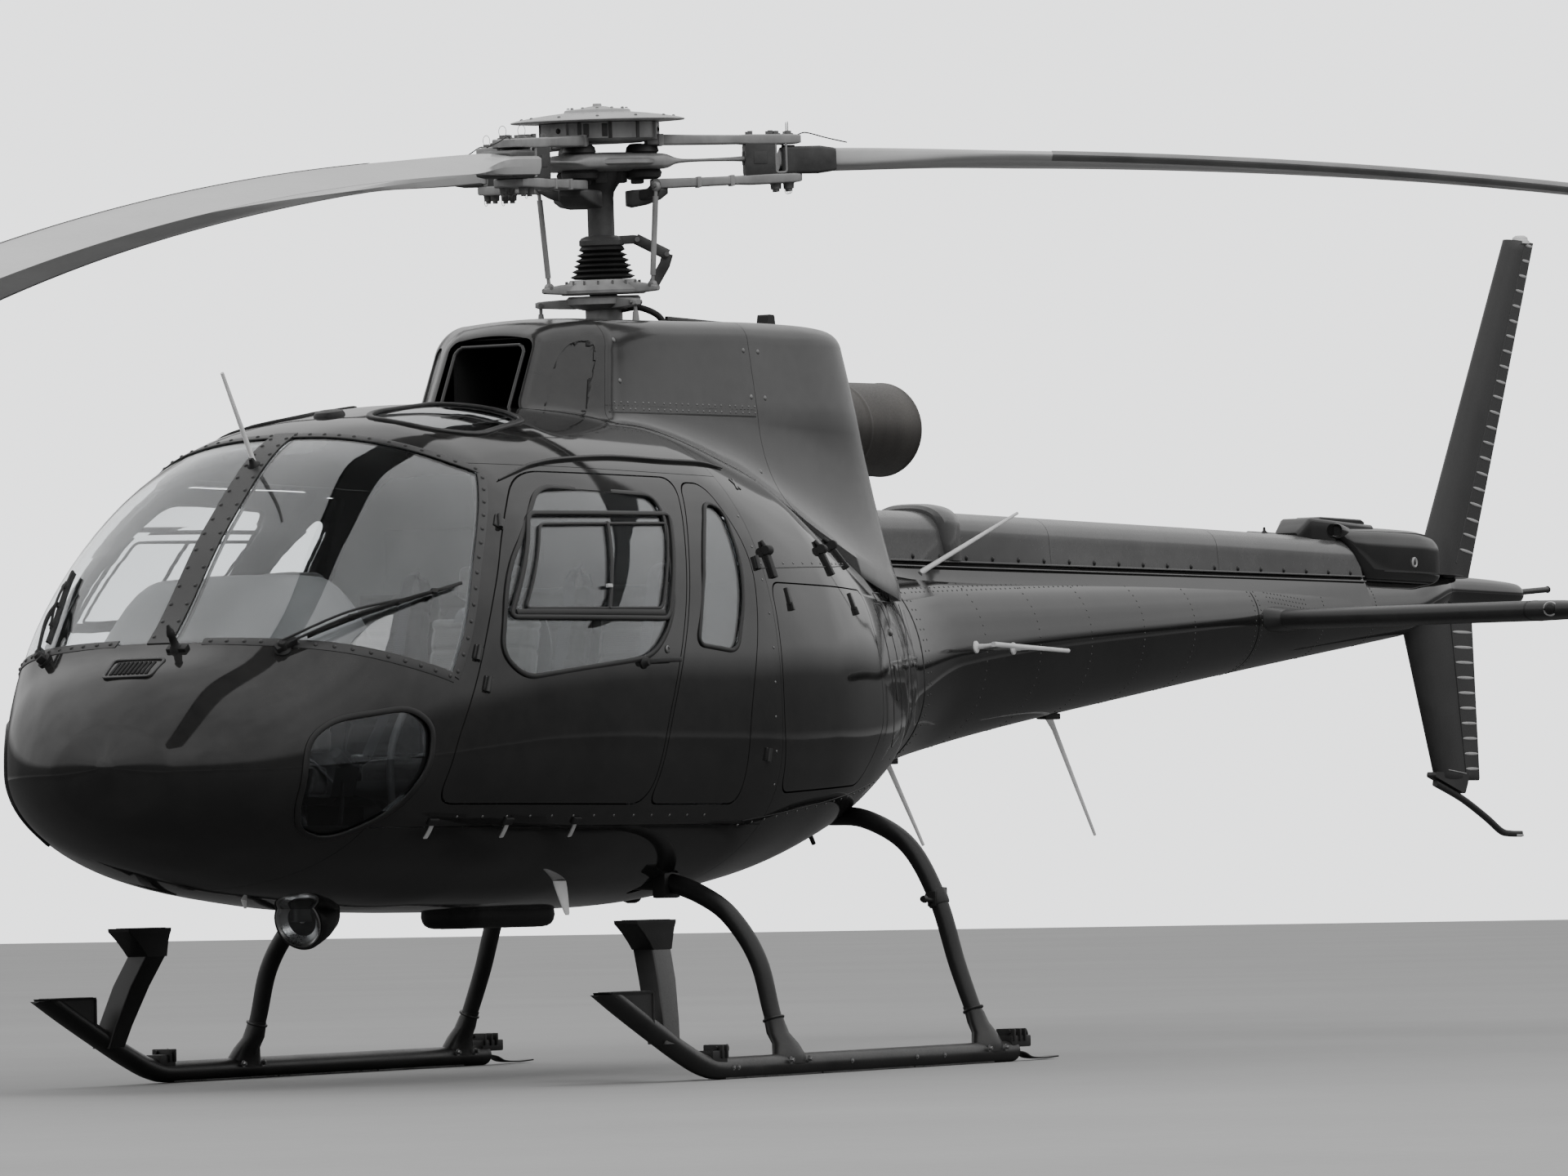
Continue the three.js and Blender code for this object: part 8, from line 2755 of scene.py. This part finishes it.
BENCH_X = 0.700
bench_shell = seat_shell(-0.640, 0.640, BENCH_X, 0.0)
bench_legs = [soft_block(BENCH_X + 0.060, BENCH_X + 0.420, y - 0.012, y + 0.012, FLOOR_Z + 0.001,
                         FLOOR_Z + 0.118, 0.004) for y in (-0.56, -0.20, 0.20, 0.56)]
piece("rear_bench_shell", merged([bench_shell] + bench_legs), CABIN_TRIM, replaces=["rear_bench"], angle=50)
bench_belts, buckles = [], []
for k in range(4):
    y = -0.480 + 0.320 * k
    spot = Matrix.Translation((0, y, 0))
    piece(f"bench_pan_pad_{k + 1}",
                    moved(bench_pad, spot @ Matrix.Translation((BENCH_X + 0.015, 0, FLOOR_Z + 0.142))),
                    SEAT_CLOTH,
                    slot="cloth", angle=180)
    piece(f"bench_back_pad_{k + 1}",
                    moved(bench_back, spot @ back_place(BENCH_X + 0.000, FLOOR_Z + 0.262, 0.006)), SEAT_CLOTH,
                    slot="cloth", angle=180)
    for s in (1, -1):
        bench_belts.append(strap([(BENCH_X + 0.045, y + s * 0.150, FLOOR_Z + 0.268),
                                  (BENCH_X + 0.110, y + s * 0.110, FLOOR_Z + 0.280),
                                  (BENCH_X + 0.180, y + s * 0.030, FLOOR_Z + 0.278)], (0.1, 0, 1)))
    bench_belts.append(strap([(BENCH_X - 0.146, y + 0.060, FLOOR_Z + 0.740),
                              (BENCH_X - 0.150, y + 0.064, FLOOR_Z + 0.830),
                              (BENCH_X - 0.118, y + 0.070, FLOOR_Z + 0.892),
                              (BENCH_X - 0.055, y + 0.076, FLOOR_Z + 0.906),
                              (BENCH_X - 0.004, y + 0.080, FLOOR_Z + 0.862),
                              (BENCH_X + 0.030, y + 0.085, FLOOR_Z + 0.750),
                              (BENCH_X + 0.085, y + 0.060, FLOOR_Z + 0.480),
                              (BENCH_X + 0.180, y + 0.020, FLOOR_Z + 0.284)], (1, 0, 0.3)))
    buckles.append(soft_block(BENCH_X + 0.160, BENCH_X + 0.210, y - 0.026, y + 0.026,
                              FLOOR_Z + 0.272, FLOOR_Z + 0.292, 0.007))
piece("bench_belts", merged(bench_belts), BELT, angle=60)
piece("bench_buckles", merged(buckles), STEEL, angle=45)

# Console: pedestal, head with a hood, instruments in two rows and a stack of switches
pedestal = side_prism(rounded([(2.235, FLOOR_Z + 0.002), (2.610, FLOOR_Z + 0.002), (2.640, 1.240),
                               (2.430, 1.260), (2.250, 1.020)], 0.03, 5), -0.135, 0.135)
head_line = [(2.545, 1.235), (2.745, 1.235), (2.738, 1.355), (2.640, 1.395), (2.505, 1.398),
             (2.440, 1.330), (2.452, 1.300)]
head = side_prism(rounded(head_line, 0.022, 5), -0.325, 0.325)
piece("instrument_console_look", merged([pedestal, head]), CABIN_TRIM, replaces=["instrument_console"],
      slot="interior_trim", angle=40)
HOOD_HALF = 0.455
HOOD_LINE = [(2.315, -0.036), (2.345, -0.014), (2.420, 0.0), (2.500, -0.034), (2.600, -0.118),
             (2.675, -0.205)]


def hood_ring(t):
    """The hood's section at a share of its half width: an arched sheet over the panel."""
    away = abs(t)
    crest = 1.642 - 0.024 * away ** 2 - 0.150 * max(0.0, (away - 0.62) / 0.38) ** 2.2
    line = smooth_path([(x - 0.080 * away ** 2 * (x > 2.40), 0, crest + z) for x, z in HOOD_LINE], 26)
    outer = [(p.x, HOOD_HALF * t, p.z) for p in line]
    inner = [(p.x + 0.002, HOOD_HALF * t, p.z - 0.009) for p in line[::-1]]
    return outer + inner


panel_line = rounded([(-0.300, 1.245), (0.300, 1.245), (0.405, 1.345), (0.390, 1.500),
                      (0.270, 1.590), (-0.270, 1.590), (-0.390, 1.500),
                      (-0.405, 1.345)], 0.040, 6)
piece("console_hood", loft([hood_ring(t) for t in spread(-1, 1, 40)]), CABIN_TRIM, angle=50)
piece("console_panel", end_prism(panel_line, 2.420, 2.446), CABIN_TRIM, angle=40)
dials = [(y, 1.505, 0.043) for y in spread(-0.275, 0.275, 6)]
dials += [(y, 1.400, 0.038) for y in spread(-0.315, 0.315, 7)]
dials += [(y, 1.312, 0.024) for y in spread(-0.270, 0.270, 8)]
rims, faces_flat, hands = [], [], []
for y, z, r in dials:
    place = facing((2.418, y, z), (-1, 0, 0))
    rims.append(turned([(r - 0.006, -0.006), (r + 0.003, -0.006), (r + 0.003, 0.003),
                        (r, 0.006), (r - 0.004, 0.006), (r - 0.006, 0.001)], place, 36))
    faces_flat.append(turned([(0, -0.004), (r - 0.005, -0.004), (r - 0.005, 0.001), (0, 0.001)], place, 32))
    for k in range(10):
        mark = place @ Matrix.Rotation(2 * math.pi * k / 10, 4,
                                       "Z") @ Matrix.Translation((r - 0.011, 0, 0.0012))
        hands.append(moved(soft_block(-0.0035, 0.0035, -0.0009, 0.0009, -0.0006, 0.0006, 0.0003), mark))
    hands.append(moved(soft_block(-0.004, r - 0.012, -0.0010, 0.0010, 0.0014, 0.0026, 0.0004),
                       place @ Matrix.Rotation(1.1 + 7 * y, 4, "Z")))
piece("dial_rims", merged(rims), SEAL, angle=45)
piece("dial_faces", merged(faces_flat), PANEL_FACE, angle=45)
piece("dial_hands", merged(hands), WHITE)
keys, knobs = [], []
for row in range(5):
    z = 1.060 + 0.034 * row
    x = 2.272 + (z - 1.020) * 0.75
    place = Matrix.Translation((x, 0, z)) @ Matrix.Rotation(math.radians(-53), 4, "Y")
    keys.append(moved(soft_block(-0.015, 0.015, -0.100, 0.100, -0.004, 0.006, 0.003), place))
    for k in range(6):
        knobs.append(moved(turned([(0, 0.002), (0.008, 0.002), (0.008, 0.014), (0.006, 0.017), (0, 0.017)],
                                  Matrix.Identity(4), 14),
                           place @ Matrix.Translation((0, -0.080 + 0.032 * k, 0))))
piece("console_boxes", merged(keys), PANEL_FACE)
piece("console_knobs", merged(knobs), PALE)

# Cyclic and collective sticks, and the pedals, on each side
sticks, grips, pedals = [], [], []
for s in (1, -1):
    y = s * SEAT_Y
    stick = smooth_path([(2.060, y, FLOOR_Z + 0.010), (2.100, y, FLOOR_Z + 0.160),
                         (2.085, y, FLOOR_Z + 0.300), (1.990, y, FLOOR_Z + 0.430)], 30)
    sticks.append(sweep(stick, 0.0120, sides=16))
    grips.append(turned([(0, -0.055), (0.017, -0.055), (0.020, -0.030), (0.016, 0.000),
                         (0.021, 0.035), (0.024, 0.058), (0.016, 0.072), (0, 0.074)],
                        facing((1.975, y, FLOOR_Z + 0.470), (-0.30, 0, 0.95)), 24))
    grips.append(turned([(0, -0.02), (0.040, -0.02), (0.044, 0.0), (0.030, 0.03), (0.018, 0.06), (0, 0.06)],
                        Matrix.Translation((2.060, y, FLOOR_Z + 0.012)), 28))
    lever = smooth_path([(1.640, y - 0.262, FLOOR_Z + 0.060), (1.800, y - 0.262, FLOOR_Z + 0.150),
                         (1.980, y - 0.262, FLOOR_Z + 0.260)], 24)
    sticks.append(sweep(lever, 0.0130, sides=16))
    grips.append(rod((1.880, y - 0.262, FLOOR_Z + 0.199), (2.010, y - 0.262, FLOOR_Z + 0.278),
                     0.0195, sides=20))
    for off in (-0.085, 0.085):
        pedals.append(rod((2.545, y + off, FLOOR_Z + 0.030), (2.520, y + off, FLOOR_Z + 0.175),
                          0.0085, sides=14))
        pedals.append(moved(soft_block(-0.050, 0.050, -0.042, 0.042, -0.005, 0.005, 0.004),
                            Matrix.Translation((2.512, y + off, FLOOR_Z + 0.175))
                            @ Matrix.Rotation(math.radians(68), 4, "Y")))
    pedals.append(rod((2.548, y - 0.12, FLOOR_Z + 0.032), (2.548, y + 0.12, FLOOR_Z + 0.032),
                      0.011, sides=14))
piece("control_sticks", merged(sticks), ALLOY, angle=50)
piece("control_grips", merged(grips), RUBBER, angle=45)
piece("pedals", merged(pedals), RUBBER, angle=45)

# Beam along the ceiling
beam_rows = []
for x in spread(0.56, 2.04, 20):
    top = skin_z(x, 0.0) - 0.036
    beam_rows.append([(x, p.x, p.y) for p in rounded([(-0.075, top - 0.040), (0.075, top - 0.040),
                                                      (0.085, top - 0.002), (-0.085, top - 0.002)],
                                                      0.012, 4)])
piece("ceiling_beam", loft(beam_rows), CABIN_LIGHT, angle=40)


# Stage, light and camera
FLOOR_REACH = 60
FLOOR_MIRRORED = 0.085
SKY_SEEN = 2.3
SKY_STOPS = [(0.0, 0.30), (0.495, 0.22), (0.503, 0.10), (0.535, 0.13), (0.56, 0.62),
             (0.70, 0.85), (1.0, 1.05)]
SENSOR_WIDTH = 36.0
FAR_CLIP = 300.0


def floor_finish():
    """A pale plain floor, darker where glossy paint mirrors it."""
    finish = surface("pale_floor", 0.27, 0.305, (0.75, 0.9), scale=0.4, fine=12.0, bump=0.02)
    tree = finish.node_tree
    dark = add_node(tree, "BsdfDiffuse", {"Color": (*grey(FLOOR_MIRRORED), 1)})
    seen = add_node(tree, "LightPath")
    choose = add_node(tree, "MixShader")
    tree.links.new(seen.outputs["Is Glossy Ray"], choose.inputs[0])
    tree.links.new(tree.nodes["Principled BSDF"].outputs["BSDF"], choose.inputs[1])
    tree.links.new(dark.outputs["BSDF"], choose.inputs[2])
    tree.links.new(choose.outputs["Shader"], tree.nodes["Material Output"].inputs["Surface"])
    return finish


def build_stage():
    r = FLOOR_REACH
    floor = mesh_of("floor", [(-r, -r, 0), (r, -r, 0), (r, r, 0), (-r, r, 0)], [(0, 1, 2, 3)])
    floor.materials.append(floor_finish())
    ground = bpy.data.objects.new("floor", floor)
    bpy.context.scene.collection.objects.link(ground)


def build_sky():
    """A pale overcast sky, brightest overhead, with a darker band at the horizon for the paint to mirror."""
    world = bpy.data.worlds.new("sky")
    bpy.context.scene.world = world
    world.use_nodes = True
    tree = world.node_tree
    link = tree.links.new
    back = tree.nodes["Background"]
    space = add_node(tree, "TexCoord")
    axes = add_node(tree, "SeparateXYZ")
    link(space.outputs["Generated"], axes.inputs["Vector"])
    ramp = add_node(tree, "ValToRGB")
    while len(ramp.color_ramp.elements) < len(SKY_STOPS):
        ramp.color_ramp.elements.new(0.5)
    for element, (at, value) in zip(ramp.color_ramp.elements, SKY_STOPS):
        element.position = at
        element.color = (value, value, value, 1)
    link(ranged(tree, axes.outputs["Z"], 0.0, 1.0, -1.0, 1.0), ramp.inputs["Fac"])
    cloud = add_node(tree, "TexNoise", {"Scale": 2.2, "Detail": 5.0, "Roughness": 0.55})
    link(space.outputs["Generated"], cloud.inputs["Vector"])
    shade = add_node(tree, "Mix", data_type="RGBA", blend_type="MULTIPLY")
    shade.inputs["Factor"].default_value = 1.0
    link(ramp.outputs["Color"], shade.inputs["A"])
    link(ranged(tree, cloud.outputs["Fac"], 0.94, 1.36, 0.35, 0.65), shade.inputs["B"])
    link(shade.outputs["Result"], back.inputs["Color"])
    plain = add_node(tree, "Background", {"Color": (1.0, 1.01, 1.02, 1), "Strength": SKY_SEEN})
    seen = add_node(tree, "LightPath")
    direct = add_node(tree, "Math", operation="MAXIMUM")
    link(seen.outputs["Is Camera Ray"], direct.inputs[0])
    link(seen.outputs["Is Transmission Ray"], direct.inputs[1])
    choose = add_node(tree, "MixShader")
    link(direct.outputs[0], choose.inputs[0])
    link(back.outputs["Background"], choose.inputs[1])
    link(plain.outputs["Background"], choose.inputs[2])
    link(choose.outputs["Shader"], tree.nodes["World Output"].inputs["Surface"])


def soft_light(name, place, target, size, power):
    lamp = bpy.data.lights.new(name, "AREA")
    lamp.shape = "RECTANGLE"
    lamp.size, lamp.size_y = size
    lamp.energy = power
    holder = bpy.data.objects.new(name, lamp)
    holder.location = place
    holder.rotation_euler = (Vector(target) - Vector(place)).to_track_quat("-Z", "Y").to_euler()
    holder.visible_glossy = False
    bpy.context.scene.collection.objects.link(holder)


CAMERA_PLACE = Vector((24.811345, 14.347983, 0.656069))
CAMERA_YAW = 3.645197
CAMERA_PITCH = 0.0345043
CAMERA_ROLL = -0.019109
CAMERA_LENS = 191.5


def build_camera():
    ahead = Vector((
        math.cos(CAMERA_YAW) * math.cos(CAMERA_PITCH),
        math.sin(CAMERA_YAW) * math.cos(CAMERA_PITCH),
        math.sin(CAMERA_PITCH),
    ))
    level = Vector((math.sin(CAMERA_YAW), -math.cos(CAMERA_YAW), 0))
    up = level.cross(ahead)
    right = level * math.cos(CAMERA_ROLL) + up * math.sin(CAMERA_ROLL)
    top = up * math.cos(CAMERA_ROLL) - level * math.sin(CAMERA_ROLL)
    axes = Matrix((right, top, -ahead)).transposed().to_4x4()
    data = bpy.data.cameras.new("camera")
    data.lens = CAMERA_LENS
    data.sensor_width = SENSOR_WIDTH
    data.clip_end = FAR_CLIP
    camera = bpy.data.objects.new("camera", data)
    camera.matrix_world = Matrix.Translation(CAMERA_PLACE + MAST_FOOT) @ axes
    bpy.context.scene.collection.objects.link(camera)
    bpy.context.scene.camera = camera


build_stage()
build_sky()
soft_light("key_light", (9, 12, 13), (0.5, 0, 1.5), (9, 6), 1500)
soft_light("fill_light", (14, -10, 8), (1, 0, 1.5), (8, 5), 500)
build_camera()
